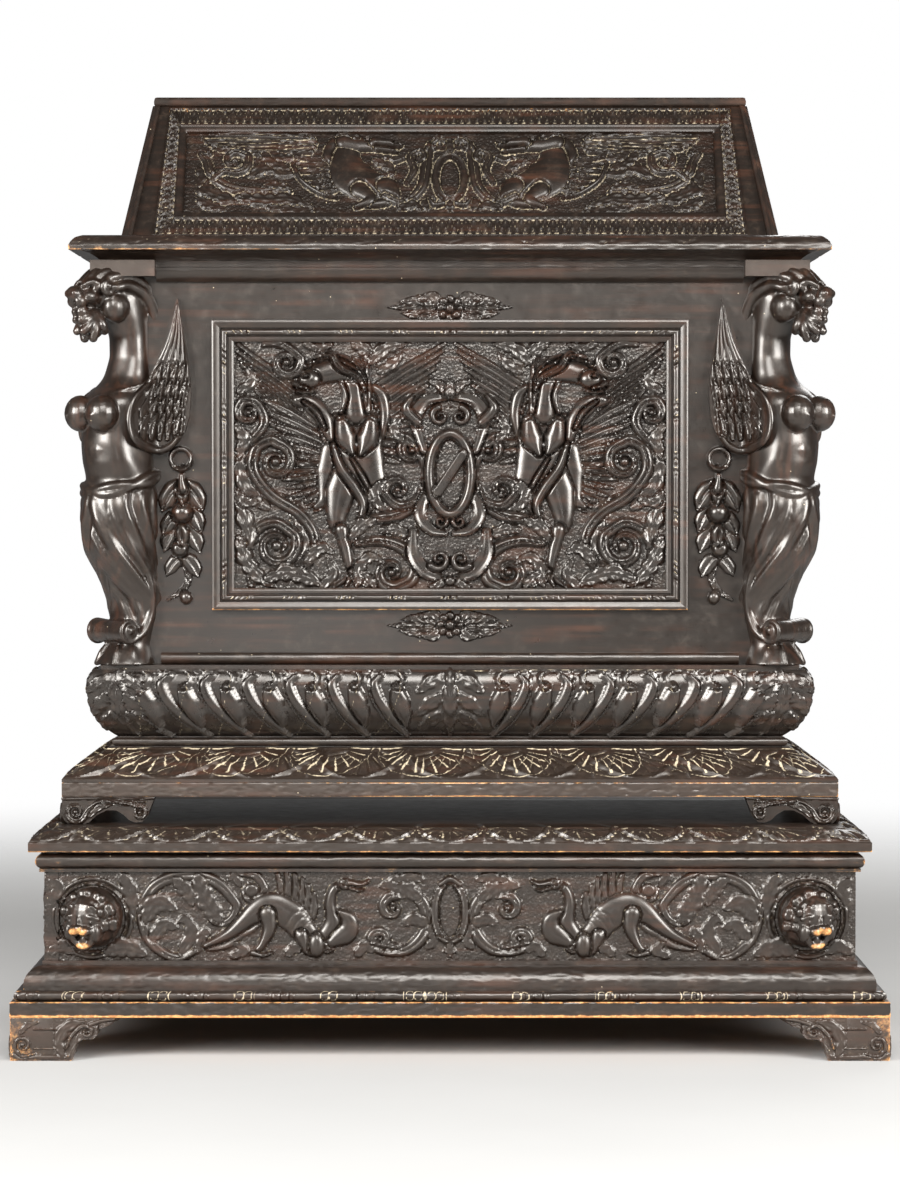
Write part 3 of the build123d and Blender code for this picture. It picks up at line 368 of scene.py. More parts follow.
# Forged iron: dark, faintly hammered and brown with rust in patches.
IRON = WroughtIron("forged_hinge_iron")


# ----------------------------------------
# Carving: heights cut into a flat or moulded field
# ----------------------------------------

def bell(away: np.ndarray, width: float) -> np.ndarray:
    """How near places are to a line: 1 on it, and almost 0 at twice the width."""
    return np.exp(-(away / width) ** 2)


def in_repeat(along: np.ndarray, pitch: float) -> np.ndarray:
    """Where places lie in a pattern that repeats: 0 at the middle of a repeat, half the pitch at its ends."""
    return (along + pitch / 2) % pitch - pitch / 2


class Section(Enum):
    """The shape across a carved stroke."""

    ROUND = "round"
    FLAT = "flat"
    HOLLOW = "hollow"
    QUILL = "quill"
    LEAF = "leaf"

    def shape(self, across: np.ndarray, along: np.ndarray, ribs: float) -> np.ndarray:
        """Height of the section, from 0 at its edge to about 1.

        Args:
            across: place across the stroke, from -1 to 1.
            along: place along the stroke, from 0 to 1.
            ribs: number of ribs or lobes along it.

        Returns:
            The height at each place.
        """
        away = np.clip(np.abs(across), 0, 1)
        dome = np.sqrt(1 - away ** 2)
        if self is Section.FLAT:
            return np.clip((1 - away) * 3.5, 0, 1)
        if self is Section.HOLLOW:
            return np.clip((1 - away) * 6, 0, 1) * (0.42 + 0.58 * away ** 2)
        if self is Section.QUILL:
            return dome * (1 - 0.45 * bell(away, 0.2))
        if self is Section.LEAF:
            veins = 0.8 + 0.2 * np.cos(2 * np.pi * (ribs * along + 0.7 * away))
            return (0.35 + 0.65 * away) * np.clip((1 - away) * 3, 0, 1) * veins + 0.3 * bell(away, 0.16)
        return dome


def cubic(corners: Sequence[np.ndarray], t: np.ndarray | float) -> np.ndarray:
    """Places on the smooth curve between the middle two of four points.

    Args:
        corners: the four points.
        t: how far from the second point to the third, from 0 to 1.

    Returns:
        The places.
    """
    a, b, c, d = corners
    return (2 * b + (c - a) * t + (2 * a - 5 * b + 4 * c - d) * t ** 2 + (3 * b - a - 3 * c + d) * t ** 3) / 2


def lengths_along(line: np.ndarray) -> np.ndarray:
    """How far along a line each of its points is, in mm."""
    return np.concatenate([[0], np.cumsum(np.linalg.norm(np.diff(line, axis=0), axis=1))])


def smooth_line(points: Sequence[Point], step: float) -> tuple[np.ndarray, np.ndarray]:
    """A smooth line through points.

    Args:
        points: the points to pass through, in mm.
        step: spacing of the samples, in mm.

    Returns:
        The samples, and how far along the line each is, from 0 to 1.
    """
    p = np.array(points, float)
    p = np.vstack([2 * p[0] - p[1], p, 2 * p[-1] - p[-2]])
    pieces = []
    for corners in zip(p, p[1:], p[2:], p[3:]):
        count = max(2, int(np.linalg.norm(corners[2] - corners[1]) / step))
        pieces.append(cubic(corners, np.linspace(0, 1, count, endpoint=False)[:, None]))
    line = np.vstack([*pieces, p[-2:-1]])
    run = lengths_along(line)
    return line, run / run[-1]


def spiral(centre: Point, radius: float, start: float, turns: float, inner: float = 0.25) -> list[Point]:
    """Points of a scroll's spiral.

    Args:
        centre: its middle, in mm.
        radius: its outer radius, in mm.
        start: the angle that it starts at, in degrees.
        turns: how many turns it makes, negative when clockwise.
        inner: the last radius as a share of the first.

    Returns:
        The points from the outside in.
    """
    count = max(6, int(abs(turns) * 12))
    points = []
    for i in range(count + 1):
        angle = math.radians(start + 360 * turns * i / count)
        r = radius * (1 - (1 - inner) * i / count)
        points.append((centre[0] + r * math.cos(angle), centre[1] + r * math.sin(angle)))
    return points


def oval(centre: Point, across: float, up: float) -> list[Point]:
    """Points round an oval.

    Args:
        centre: its middle, in mm.
        across: its half width, in mm.
        up: its half height, in mm.

    Returns:
        The points, the last one on the first.
    """
    angles = np.linspace(0, 2 * math.pi, 21)
    return [(centre[0] + across * math.cos(a), centre[1] + up * math.sin(a)) for a in angles]


class Carving:
    """Heights of a carved face, on a grid of u across and v up, in mm."""

    def __init__(self, low: Point, high: Point, pitch: float) -> None:
        """Starts a bare field.

        Args:
            low: lowest u and v.
            high: highest u and v.
            pitch: spacing of the grid.
        """
        self.pitch = pitch
        self.u_line, self.v_line = (np.linspace(a, b, max(2, round((b - a) / pitch)) + 1) for a, b in zip(low, high))
        self.u, self.v = np.meshgrid(self.u_line, self.v_line)
        self.height = np.zeros_like(self.u)
        self.pale = np.zeros_like(self.u)       # where old wax lines a cut, from 0 to 1
        self.random = np.random.default_rng(RANDOM_SEED)

    @classmethod
    def on_grid(cls, u: np.ndarray, v: np.ndarray, pitch: float) -> "Carving":
        """A bare field on a grid whose lines aren't straight.

        Args:
            u: u of each place.
            v: v of each place.
            pitch: spacing of the grid.
        """
        field = cls((0, 0), (1, 1), pitch)
        field.u, field.v = u, v
        field.height, field.pale = np.zeros_like(u), np.zeros_like(u)
        field.window = lambda line, margin: (slice(None), slice(None))
        return field

    @classmethod
    def on_moulding(cls, low: float, high: float, pitch: float, run: np.ndarray) -> "Carving":
        """A bare field along a moulding, with v measured round its face.

        Args:
            low: lowest u.
            high: highest u.
            pitch: spacing of the grid along u.
            run: v of each sample of the profile.
        """
        field = cls((low, 0), (high, 1), pitch)
        field.v_line = run
        field.u, field.v = np.meshgrid(field.u_line, run)
        field.height, field.pale = np.zeros_like(field.u), np.zeros_like(field.u)
        return field

    def window(self, line: np.ndarray, margin: float) -> tuple[slice, slice]:
        """The part of the grid round a line.

        Args:
            line: points of the line.
            margin: how far round it to reach.

        Returns:
            Slices of rows and of columns.
        """
        low, high = line.min(0) - margin, line.max(0) + margin
        columns = slice(*np.searchsorted(self.u_line, (low[0], high[0])))
        rows = slice(*np.searchsorted(self.v_line, (low[1], high[1])))
        return rows, columns

    def stroke(self, points: Sequence[Point], half: Sequence[float] | float, height: float,
               section: Section = Section.ROUND, lobes: float = 0, end: float = 1.0) -> None:
        """Carves one raised stroke, with a small trench beside it that sets it off.

        Args:
            points: points that its middle passes through.
            half: half widths, spread evenly along it.
            height: how far it stands up at its start.
            section: the shape across it.
            lobes: number of lobes along its edges, as on a leaf.
            end: share of the height left at its end.
        """
        line, along = smooth_line(points, self.pitch * 0.9)
        widths = np.atleast_1d(np.array(half, float))
        widths = np.interp(along, np.linspace(0, 1, len(widths)), widths)
        window = self.window(line, widths.max() + 5)
        u, v = self.u[window], self.v[window]
        if u.size == 0:
            return
        du, dv = u[..., None] - line[:, 0], v[..., None] - line[:, 1]
        far = np.hypot(du, dv)
        near = np.argmin(far - 0.6 * widths, axis=-1)
        pick = np.take_along_axis
        distance = pick(far, near[..., None], -1)[..., 0]
        tangent = np.gradient(line, axis=0)[near]
        side = np.sign(tangent[..., 0] * pick(dv, near[..., None], -1)[..., 0]
                       - tangent[..., 1] * pick(du, near[..., None], -1)[..., 0])
        t, width = along[near], widths[near]
        if lobes:
            width = width * (0.66 + 0.34 * np.abs(np.sin(np.pi * lobes * t)) ** 0.7)
        across = side * distance / np.maximum(width, 0.1)
        inside = np.abs(across) < 1
        beside = 1 - 0.75 * bell(distance - width, 1.7)
        rise = height * (1 - (1 - end) * t)
        raised = 0.6 + rise * section.shape(across, t, lobes or 6)
        old = self.height[window]
        self.height[window] = np.where(inside, np.maximum(raised, 0.45 * old), old * beside)

    def cut(self, points: Sequence[Point], half: float, depth: float) -> None:
        """Cuts a narrow groove.

        Args:
            points: points that its middle passes through.
            half: its half width.
            depth: its depth.
        """
        line, _ = smooth_line(points, self.pitch * 0.9)
        window = self.window(line, 2.5 * half)
        far = np.hypot(self.u[window][..., None] - line[:, 0], self.v[window][..., None] - line[:, 1]).min(-1)
        self.height[window] -= depth * bell(far, half)

    def whiten(self, points: Sequence[Point], half: float = 1.5, strength: float = 1.0) -> None:
        """Draws a line of old wax, as left in a fine cut or along a worn rim.

        Args:
            points: points that it passes through.
            half: its half width.
            strength: how much wax it holds, up to 1.
        """
        line, _ = smooth_line(points, self.pitch * 0.9)
        window = self.window(line, 3 * half)
        far = np.hypot(self.u[window][..., None] - line[:, 0], self.v[window][..., None] - line[:, 1])
        if far.size:
            drawn = strength * bell(far.min(-1), half)
            self.pale[window] = np.maximum(self.pale[window], drawn)

    def dome(self, centre: Point, across: float, up: float, height: float, hollow: float = 0.0) -> None:
        """Carves a domed oval, as for a boss, a breast or a seed.

        Args:
            centre: its middle.
            across: its half width.
            up: its half height.
            height: how far it stands up.
            hollow: depth of a pit in its middle.
        """
        away = np.hypot((self.u - centre[0]) / across, (self.v - centre[1]) / up)
        edge = (away - 1) * min(across, up)
        self.height *= np.where(edge > 0, 1 - 0.75 * bell(edge, 1.7), 1)
        raised = 0.6 + height * np.sqrt(np.clip(1 - away ** 2, 0, 1)) - hollow * bell(away, 0.4)
        self.height = np.where(away < 1, np.maximum(raised, 0.3 * self.height), self.height)

    def feathers(self, tips: Sequence[Point], roots: Sequence[Point], count: int, half: float, height: float,
                 sag: float = 0.0) -> None:
        """Carves a row of feathers, each lying over the last.

        Args:
            tips: a line that the tips lie on.
            roots: a line that the roots lie on.
            count: number of feathers.
            half: half width of a feather.
            height: how far a feather stands up.
            sag: how far its middle bows sideways.
        """
        tip_line, tip_along = smooth_line(tips, 1.0)
        root_line, root_along = smooth_line(roots, 1.0)
        for share in np.linspace(0, 1, count):
            tip = np.array([np.interp(share, tip_along, tip_line[:, k]) for k in (0, 1)])
            root = np.array([np.interp(share, root_along, root_line[:, k]) for k in (0, 1)])
            run = root - tip
            bow = np.array([-run[1], run[0]]) / max(np.linalg.norm(run), 1e-6) * sag
            middle = (tip + root) / 2 + bow
            self.stroke([tuple(tip), tuple(middle), tuple(root)], (0.5 * half, half, 0.8 * half), height,
                        Section.QUILL)

    def leaf(self, points: Sequence[Point], half: float, height: float, lobes: float = 4) -> None:
        """Carves an acanthus leaf along a line, from its root to its tip.

        Args:
            points: points along its midrib.
            half: its greatest half width.
            height: how far it stands up.
            lobes: number of lobes along each edge.
        """
        self.stroke(points, (0.55 * half, half, 0.85 * half, 0.15 * half), height, Section.LEAF, lobes, 0.7)

    def scroll(self, stem: Sequence[Point], centre: Point, radius: float, turns: float, half: float,
               height: float) -> None:
        """Carves a stem that ends in a spiral with a button in its eye.

        Args:
            stem: points of the stem, up to the spiral.
            centre: the spiral's middle.
            radius: the spiral's radius.
            turns: how many turns it makes, negative when clockwise.
            half: half width of the stem.
            height: how far it stands up.
        """
        start = math.degrees(math.atan2(stem[-1][1] - centre[1], stem[-1][0] - centre[0]))
        step = 24 if turns > 0 else -24
        coil = spiral(centre, radius, start + step, turns, 0.3)
        self.stroke([*stem, *coil], (0.7 * half, half, half, 0.45 * half), height, Section.QUILL)
        self.dome(centre, 0.26 * radius, 0.26 * radius, height)

    def punched(self, depth: float, floor: float = 0.5) -> np.ndarray:
        """Stipples the bare ground between the carved forms.

        Args:
            depth: how deep the punch marks go.
            floor: height under which a place counts as bare ground.

        Returns:
            How much of each place is bare ground, from 0 to 1.
        """
        bare = np.clip(1 - self.height / floor, 0, 1)
        self.height -= bare * depth * self.random.random(self.height.shape)
        return bare

    def sink_ground(self, below: float) -> None:
        """Sinks what isn't carved behind the face, so that only the carved forms show."""
        self.height = np.where(self.height < 0.5, -below, self.height)

    def laid(self, origin: Sequence[float], across: Sequence[float], up: Sequence[float],
             out: Sequence[float]) -> np.ndarray:
        """The field's places in space.

        Args:
            origin: where u and v are 0, in mm.
            across: the direction of u.
            up: the direction of v.
            out: the direction of the heights.

        Returns:
            Rows by columns by x, y and z.
        """
        return (np.array(origin, float) + self.u[..., None] * np.array(across, float)
                + self.v[..., None] * np.array(up, float) + self.height[..., None] * np.array(out, float))

    def turned_over(self) -> None:
        """Turns the field left for right, with u falling below 0."""
        self.u, self.v, self.height = -self.u[:, ::-1], self.v[:, ::-1], self.height[:, ::-1]

    def mirrored(self) -> None:
        """Copies the left half onto the right."""
        self.height = np.where(self.u <= 0, self.height, self.height[:, ::-1])
        self.pale = np.where(self.u <= 0, self.pale, self.pale[:, ::-1])


Carver = Callable[[Carving, np.ndarray], None]


# ----------------------------------------
# Meshes
# ----------------------------------------

class Close(Enum):
    """How a sheet of points is made a closed solid."""

    BACK = "its edge is pushed back and filled"
    TUBE = "its first and last rows meet, and its ends are filled"


def deselect() -> None:
    """Deselects every object, in object mode."""
    if bpy.context.object and bpy.context.object.mode != "OBJECT":
        bpy.ops.object.mode_set(mode="OBJECT")
    bpy.ops.object.select_all(action="DESELECT")


def only(piece: bpy.types.Object) -> None:
    """Makes a piece the one that operators act on.

    Args:
        piece: the piece to select.
    """
    deselect()
    piece.select_set(True)
    bpy.context.view_layer.objects.active = piece


def sheet_of(name: str, points: np.ndarray, close: Close, back: Sequence[float] = (0, 0, 0)) -> bpy.types.Object:
    """A closed solid from rows of points.

    Args:
        name: the piece's name.
        points: rows by columns by x, y and z, in mm.
        close: how the sheet is closed.
        back: for Close.BACK, how far and which way its edge is pushed, in mm.

    Returns:
        The new object.
    """
    rows, columns = points.shape[:2]
    deselect()
    bpy.ops.mesh.primitive_grid_add(x_subdivisions=columns - 1, y_subdivisions=rows - 1, size=2)
    piece = bpy.context.object
    piece.name = piece.data.name = name
    grid = coordinates(piece) * MM
    column = np.rint((grid[:, 0] + 1) / 2 * (columns - 1)).astype(int)
    row = np.rint((grid[:, 1] + 1) / 2 * (rows - 1)).astype(int)
    move(piece, points[row, column])
    piece.data.uv_layers.remove(piece.data.uv_layers[0])
    bpy.ops.object.mode_set(mode="EDIT")
    bpy.ops.mesh.select_mode(type="EDGE")
    bpy.ops.mesh.select_all(action="SELECT")
    if close is Close.TUBE:
        bpy.ops.mesh.remove_doubles(threshold=0.02 * MM)
        bpy.ops.mesh.fill_holes(sides=0)
    else:
        bpy.ops.mesh.select_all(action="DESELECT")
        bpy.ops.mesh.select_non_manifold(extend=False)
        bpy.ops.mesh.extrude_edges_move(TRANSFORM_OT_translate={"value": tuple(b * MM for b in back)})
        bpy.ops.mesh.edge_face_add()
    bpy.ops.mesh.select_all(action="SELECT")
    bpy.ops.mesh.normals_make_consistent(inside=False)
    bpy.ops.object.mode_set(mode="OBJECT")
    return piece


def joined(name: str, pieces: Sequence[bpy.types.Object]) -> bpy.types.Object:
    """Joins pieces into one object.

    Args:
        name: the joined piece's name.
        pieces: the pieces to join.

    Returns:
        The joined object.
    """
    deselect()
    for piece in pieces:
        piece.select_set(True)
    bpy.context.view_layer.objects.active = pieces[0]
    if len(pieces) > 1:
        bpy.ops.object.join()
    pieces[0].name = pieces[0].data.name = name
    return pieces[0]


def coordinates(piece: bpy.types.Object) -> np.ndarray:
    """A piece's vertices, in mm.

    Args:
        piece: a mesh object.

    Returns:
        An array of x, y and z.
    """
    flat = np.empty(len(piece.data.vertices) * 3)
    piece.data.vertices.foreach_get("co", flat)
    return flat.reshape(-1, 3) / MM


def move(piece: bpy.types.Object, co: np.ndarray) -> None:
    """Moves a piece's vertices.

    Args:
        piece: a mesh object.
        co: their new places, in mm.
    """
    piece.data.vertices.foreach_set("co", (co * MM).ravel())


def store(piece: bpy.types.Object, name: str, values: np.ndarray) -> None:
    """Writes one number for each vertex, for the finish to read.

    Args:
        piece: a mesh object.
        name: the attribute's name.
        values: a number for each vertex.
    """
    attribute = piece.data.attributes.get(name) or piece.data.attributes.new(name, "FLOAT", "POINT")
    attribute.data.foreach_set("value", values.astype(np.float32))


def mark_grid(piece: bpy.types.Object, name: str, values: np.ndarray) -> None:
    """Stores a value at each place of a carved board's or moulding's grid.

    Args:
        piece: the piece, still on its grid.
        name: the attribute's name.
        values: the value at each place of its grid, from 0 to 1.
    """
    stored = np.zeros(len(piece.data.vertices))
    stored[:values.size] = values.ravel()
    store(piece, name, stored)


def mark_relief(piece: bpy.types.Object, rounds: int = 5, scale: float = 0.9, longest: float = 12.0) -> None:
    """Marks crests and hollows, where hands rub the wood bare and old wax gathers.

    Args:
        piece: a mesh object.
        rounds: how many neighbours away to compare with.
        scale: a height over its surroundings, in mm, that counts as a full crest.
        longest: length of edge, in mm, past which its ends don't count as neighbours.
    """
    mesh = piece.data
    co = coordinates(piece)
    ends = np.empty(len(mesh.edges) * 2, int)
    mesh.edges.foreach_get("vertices", ends)
    a, b = ends.reshape(-1, 2).T
    normals = np.empty(len(co) * 3)
    mesh.vertices.foreach_get("normal", normals)
    normals = normals.reshape(-1, 3)
    short = np.linalg.norm(co[a] - co[b], axis=1) < longest
    a, b = a[short], b[short]
    count = np.maximum(np.bincount(a, minlength=len(co)) + np.bincount(b, minlength=len(co)), 1)
    soft = co.copy()
    for _ in range(rounds):
        total = [np.bincount(a, soft[b, k], len(co)) + np.bincount(b, soft[a, k], len(co)) for k in range(3)]
        mean = np.stack(total, 1) / count[:, None]
        soft = np.where((count > 1)[:, None], (soft + mean) / 2, soft)
    proud = ((co - soft) * normals).sum(1) / scale
    store(piece, "crest", np.clip(proud, 0, 1))
    store(piece, "hollow", np.clip(-proud, 0, 1))


def slab(name: str, first: Sequence[float], last: Sequence[float], round_over: float) -> bpy.types.Object:
    """A plain block between two corners with its arrises rounded.

    Args:
        name: the piece's name.
        first: one corner, in mm.
        last: the opposite corner.
        round_over: radius of its arrises.

    Returns:
        The block.
    """
    low, high = np.minimum(first, last), np.maximum(first, last)
    deselect()
    bpy.ops.mesh.primitive_cube_add(size=1, location=tuple((low + high) / 2 * MM))
    block = bpy.context.object
    block.name = block.data.name = name
    bpy.ops.transform.resize(value=tuple((high - low) * MM))
    bpy.ops.object.transform_apply(location=True, rotation=True, scale=True)
    bpy.ops.object.mode_set(mode="EDIT")
    bpy.ops.mesh.select_all(action="SELECT")
    bpy.ops.mesh.bevel(offset=round_over * MM, segments=3, affect="EDGES")
    bpy.ops.object.mode_set(mode="OBJECT")
    return block


def mirrored_copy(piece: bpy.types.Object, name: str) -> bpy.types.Object:
    """A copy of a piece for the other side of the middle.

    Args:
        piece: the piece to copy.
        name: the copy's name.

    Returns:
        The copy.
    """
    copy = piece.copy()
    copy.data = piece.data.copy()
    copy.name = copy.data.name = name
    bpy.context.scene.collection.objects.link(copy)
    co = coordinates(copy)
    co[:, 0] *= -1
    move(copy, co)
    copy.data.flip_normals()
    return copy


def smooth_by_angle(piece: bpy.types.Object, degrees: float = 42) -> None:
    """Shades a piece smooth, but sharp at its arrises.

    Args:
        piece: a mesh object.
        degrees: the angle past which an edge is sharp.
    """
    only(piece)
    bpy.ops.object.shade_smooth_by_angle(angle=math.radians(degrees))


def fit(piece: bpy.types.Object, finish: Finish, body: str, *nodes: str, slot: str = "ebonised_walnut",
        worn: Wear | None = None) -> None:
    """Finishes a piece, hangs it on its body and stands it in for its CAD nodes.

    Args:
        piece: the piece.
        finish: the finish that it gets.
        body: the CAD body that it rides on.
        *nodes: the CAD nodes that it replaces.
        slot: not used.
        worn: gives from 0 to 1 how badly each of its vertices is rubbed, from their places in mm.
    """
    smooth_by_angle(piece)
    mark_relief(piece)
    if worn:
        store(piece, "worn", np.clip(worn(coordinates(piece)), 0, 1))
    piece.data.materials.clear()
    piece.data.materials.append(finish.material())
    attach(piece, body)
    if nodes:
        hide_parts(*nodes)
        piece.name = piece.data.name = f"carved_{nodes[0]}"
    LOG.info("%s: %d faces on %s", piece.name, len(piece.data.polygons), body)


def dress_nodes(finish: Finish, *names: str) -> None:
    """Gives CAD nodes a finish, with their meshes as they were.

    Args:
        finish: the finish that they get.
        *names: the nodes' names.
    """
    for name in names:
        node = frame["nodes"][name]
        node.data.materials.clear()
        node.data.materials.append(finish.material())
        LOG.info("%s keeps its CAD shape", name)


# ----------------------------------------
# Mouldings
# ----------------------------------------

@dataclass(frozen=True)
class Profile:
    """Section of a moulding: how far out from the boards' face, and the height. The face runs upwards, and
    an entry of two points is an arc by way of the first. The back closes it round behind."""

    start: Point
    face: tuple
    back: tuple[Point, ...]

    def traced(self, step: float) -> tuple[np.ndarray, np.ndarray]:
        """Samples the face.

        Args:
            step: spacing of the samples, in mm.

        Returns:
            The samples, and the length of face below each.
        """
        points = [np.array(self.start, float)]
        for entry in self.face:
            first, last = points[-1], np.array(entry[-1] if isinstance(entry[0], tuple) else entry, float)
            if isinstance(entry[0], tuple):
                points += arc(first, np.array(entry[0], float), last, step)
            else:
                count = max(1, round(np.linalg.norm(last - first) / step))
                points += [first + (last - first) * i / count for i in range(1, count + 1)]
        line = np.array(points)
        return line, lengths_along(line)


def arc(first: np.ndarray, via: np.ndarray, last: np.ndarray, step: float) -> list[np.ndarray]:
    """Points of the circular arc through three points.

    Args:
        first: its first point, which is left out.
        via: a point on it.
        last: its last point.
        step: spacing of the points, in mm.

    Returns:
        The points after the first.
    """
    system = 2 * np.array([via - first, last - first])
    centre = np.linalg.solve(system, [via @ via - first @ first, last @ last - first @ first])
    radius = np.linalg.norm(first - centre)
    angles = [math.atan2(*(p - centre)[::-1]) for p in (first, via, last)]
    sweep = (angles[2] - angles[0]) % (2 * math.pi)
    if (angles[1] - angles[0]) % (2 * math.pi) > sweep:
        sweep -= 2 * math.pi
    count = max(3, round(abs(sweep) * radius / step))
    turns = angles[0] + sweep * np.arange(1, count + 1) / count
    return [centre + radius * np.array([math.cos(a), math.sin(a)]) for a in turns]


@dataclass(frozen=True)
class Tier:
    """The rectangle that a tier's mouldings run round: the faces of its boards, in mm."""

    half: float
    front: float
    back: float

    def moulding(self, name: str, profile: Profile, side: int = 0, pitch: float = 3.0, fine: float = 2.4,
                 carve: Carver | None = None, stop: float = 0.0) -> bpy.types.Object:
        """One run of a moulding, mitred at the corners.

        Args:
            name: the piece's name.
            profile: its section.
            side: 0 for the front, -1 for the left and 1 for the right.
            pitch: spacing of its grid along the run.
            fine: spacing of its grid up the face.
            carve: cuts its pattern, given the field and the profile's samples.
            stop: how far short of the corner it stops, square-ended.

        Returns:
            The piece.
        """
        line, run = profile.traced(fine)
        depth = self.back - self.front
        low, high = (-self.half + stop, self.half - stop) if side == 0 else (stop, depth)
        field = Carving.on_moulding(low, high, pitch, run)
        if carve:
            carve(field, line)
        tangent = np.gradient(line, axis=0)
        tangent /= np.linalg.norm(tangent, axis=1)[:, None]
        height = field.height
        height[[0, -1]] = 0
        out = line[:, :1] + tangent[:, 1:] * height
        up = line[:, 1:] - tangent[:, :1] * height
        for point in (*profile.back, profile.start):
            out = np.vstack([out, np.full((1, out.shape[1]), point[0])])
            up = np.vstack([up, np.full((1, up.shape[1]), point[1])])
        u = np.broadcast_to(field.u_line, out.shape)
        if side == 0:
            x = u * (self.half + out * (stop == 0)) / self.half
            y = self.front - out
        else:
            x = side * (self.half + out)
            y = self.front - out * (stop == 0) + (u / depth) * (depth + out * (stop == 0))
        piece = sheet_of(name, np.stack([x, y, up], axis=-1), Close.TUBE)
        mark_grid(piece, "pale", field.pale)
        return piece

    def round_three(self, name: str, profile: Profile, **options: float | Carver) -> bpy.types.Object:
        """A plain moulding round the front and both sides, as one piece.

        Args:
            name: the piece's name.
            profile: its section.
            **options: what moulding() takes.

        Returns:
            The piece.
        """
        return joined(name, [self.moulding(f"{name}_{side}", profile, side, **options) for side in (-1, 0, 1)])


def moulded_runs(tier: Tier, stem: str, body: str, profile: Profile, finishes: tuple[Finish, Finish], pitch: float,
                 fine: float, carve: Carver, end_carve: Carver | None = None, worn: Wear | None = None) -> None:
    """Builds and dresses the three runs of a moulding: its front and its two ends.

    Args:
        tier: what the moulding runs round.
        stem: the CAD nodes' name, without the side.
        body: the CAD body that it rides on.
        profile: its section.
        finishes: the finish of the front and of the ends.
        pitch: spacing of the grid along a run.
        fine: spacing of the grid up the face.
        carve: cuts the pattern of the front, and of the ends where they have none of their own.
        end_carve: cuts the pattern of the ends.
        worn: how badly each place is rubbed.
    """
    for side, place in FRONT_AND_ENDS:
        name = f"{stem}_{place}"
        piece = tier.moulding(name, profile, side, pitch, fine, end_carve if side and end_carve else carve)
        fit(piece, finishes[abs(side)], body, name, worn=worn)


def edged_board(node: str, profile: Profile, pitch: float, carve: Carver) -> bpy.types.Object:
    """A CAD node's board made again, with a carved edge on its front and its ends.

    Args:
        node: the CAD node's name.
        profile: section of the edge, 60 mm wide.
        pitch: spacing of the edge's grid along it.
        carve: cuts the edge's pattern.

    Returns:
        The board.
    """
    low, high = span(node)
    tier, inset = Tier(high[0], low[1], high[1]), 59
    runs = [tier.moulding(f"{node}_{side}", profile, side, pitch, 1.8, carve) for side in (-1, 0, 1)]
    inner = slab(f"{node}_middle", low + (inset, inset, 0), high - (inset, 0, 0), 0.5)
    return joined(node, [*runs, inner])


def relief(name: str, field: Carving, origin: Sequence[float], across: Sequence[float], up: Sequence[float],
           thickness: float) -> bpy.types.Object:
    """A carved board: a field of heights on a flat slab.

    Args:
        name: the piece's name.
        field: its heights.
        origin: where u and v are 0, in mm.
        across: the direction of u.
        up: the direction of v.
        thickness: how far the slab reaches behind the face.

    Returns:
        The piece.
    """
    out = np.cross(np.array(across, float), np.array(up, float))
    piece = sheet_of(name, field.laid(origin, across, up, out), Close.BACK, -out * thickness)
    mark_grid(piece, "pale", field.pale)
    return piece


def applied(name: str, field: Carving, origin: np.ndarray, inward: np.ndarray, thickness: float) -> bpy.types.Object:
    """An applied carving whose u runs in from a corner, turned over where that is needed.

    Args:
        name: the piece's name.
        field: its heights.
        origin: where u and v are 0.
        inward: the direction of u.
        thickness: how far it reaches behind the face.

    Returns:
        The piece.
    """
    out = np.cross(inward, UPWARDS)
    faces_out = out[1] < -0.5 or out[0] * origin[0] > 0 and abs(out[0]) > 0.5
    if not faces_out:
        out = -out
    points, pale = field.laid(origin, inward, UPWARDS, out), field.pale
    if not faces_out:
        points, pale = points[:, ::-1], pale[:, ::-1]
    piece = sheet_of(name, points, Close.BACK, -out * thickness)
    mark_grid(piece, "pale", pale)
    return piece


def shaped(left: Callable[[np.ndarray], np.ndarray], right: Callable[[np.ndarray], np.ndarray], low: float,
           high: float, pitch: float) -> Carving:
    """A field whose left and right edges are curves.

    Args:
        left: u of the left edge at each v.
        right: u of the right edge at each v.
        low: lowest v.
        high: highest v.
        pitch: spacing of the grid.

    Returns:
        The bare field.
    """
    rows = np.linspace(low, high, max(4, round((high - low) / pitch)) + 1)
    widest = float(np.max(right(rows) - left(rows)))
    share = np.linspace(0, 1, max(4, round(widest / pitch)) + 1)
    u = left(rows)[:, None] + (right(rows) - left(rows))[:, None] * share
    return Carving.on_grid(u, np.repeat(rows[:, None], len(share), axis=1), pitch)


def over_edge(edge: np.ndarray, start: float, tall: float, pitch: float) -> Carving:
    """A field over a shaped lower edge, as on the face of a bracket foot.

    Args:
        edge: u and v of the lower edge's corners, from left to right.
        start: u of the left edge.
        tall: v of the straight upper edge.
        pitch: spacing of the grid.

    Returns:
        The bare field.
    """
    reach = edge[-1, 0]
    columns = np.linspace(start, reach, round(reach / pitch) + 1)
    bottom = np.interp(columns, edge[:, 0], edge[:, 1])
    share = np.linspace(0, 1, round(tall / pitch) + 1)[:, None]
    return Carving.on_grid(columns + 0 * share, bottom + (tall - bottom) * share, pitch)


def foot_face(name: str, field: Carving, corner: Sequence[float], across: Sequence[float], flip: bool, sunk: float,
              thickness: float) -> bpy.types.Object:
    """One carved face of a bracket foot.

    Args:
        name: the piece's name.
        field: its heights.
        corner: its outer bottom corner, in mm.
        across: the direction in from the corner.
        flip: whether the face is turned over, as at a right-hand corner.
        sunk: how far its bare ground lies behind the foot's own face.
        thickness: thickness of the foot.

    Returns:
        The piece.
    """
    if flip:
        field.turned_over()
    field.height -= sunk
    inward = np.array(across, float) * (-1 if flip else 1)
    return relief(name, field, corner, inward, UPWARDS, thickness - sunk)


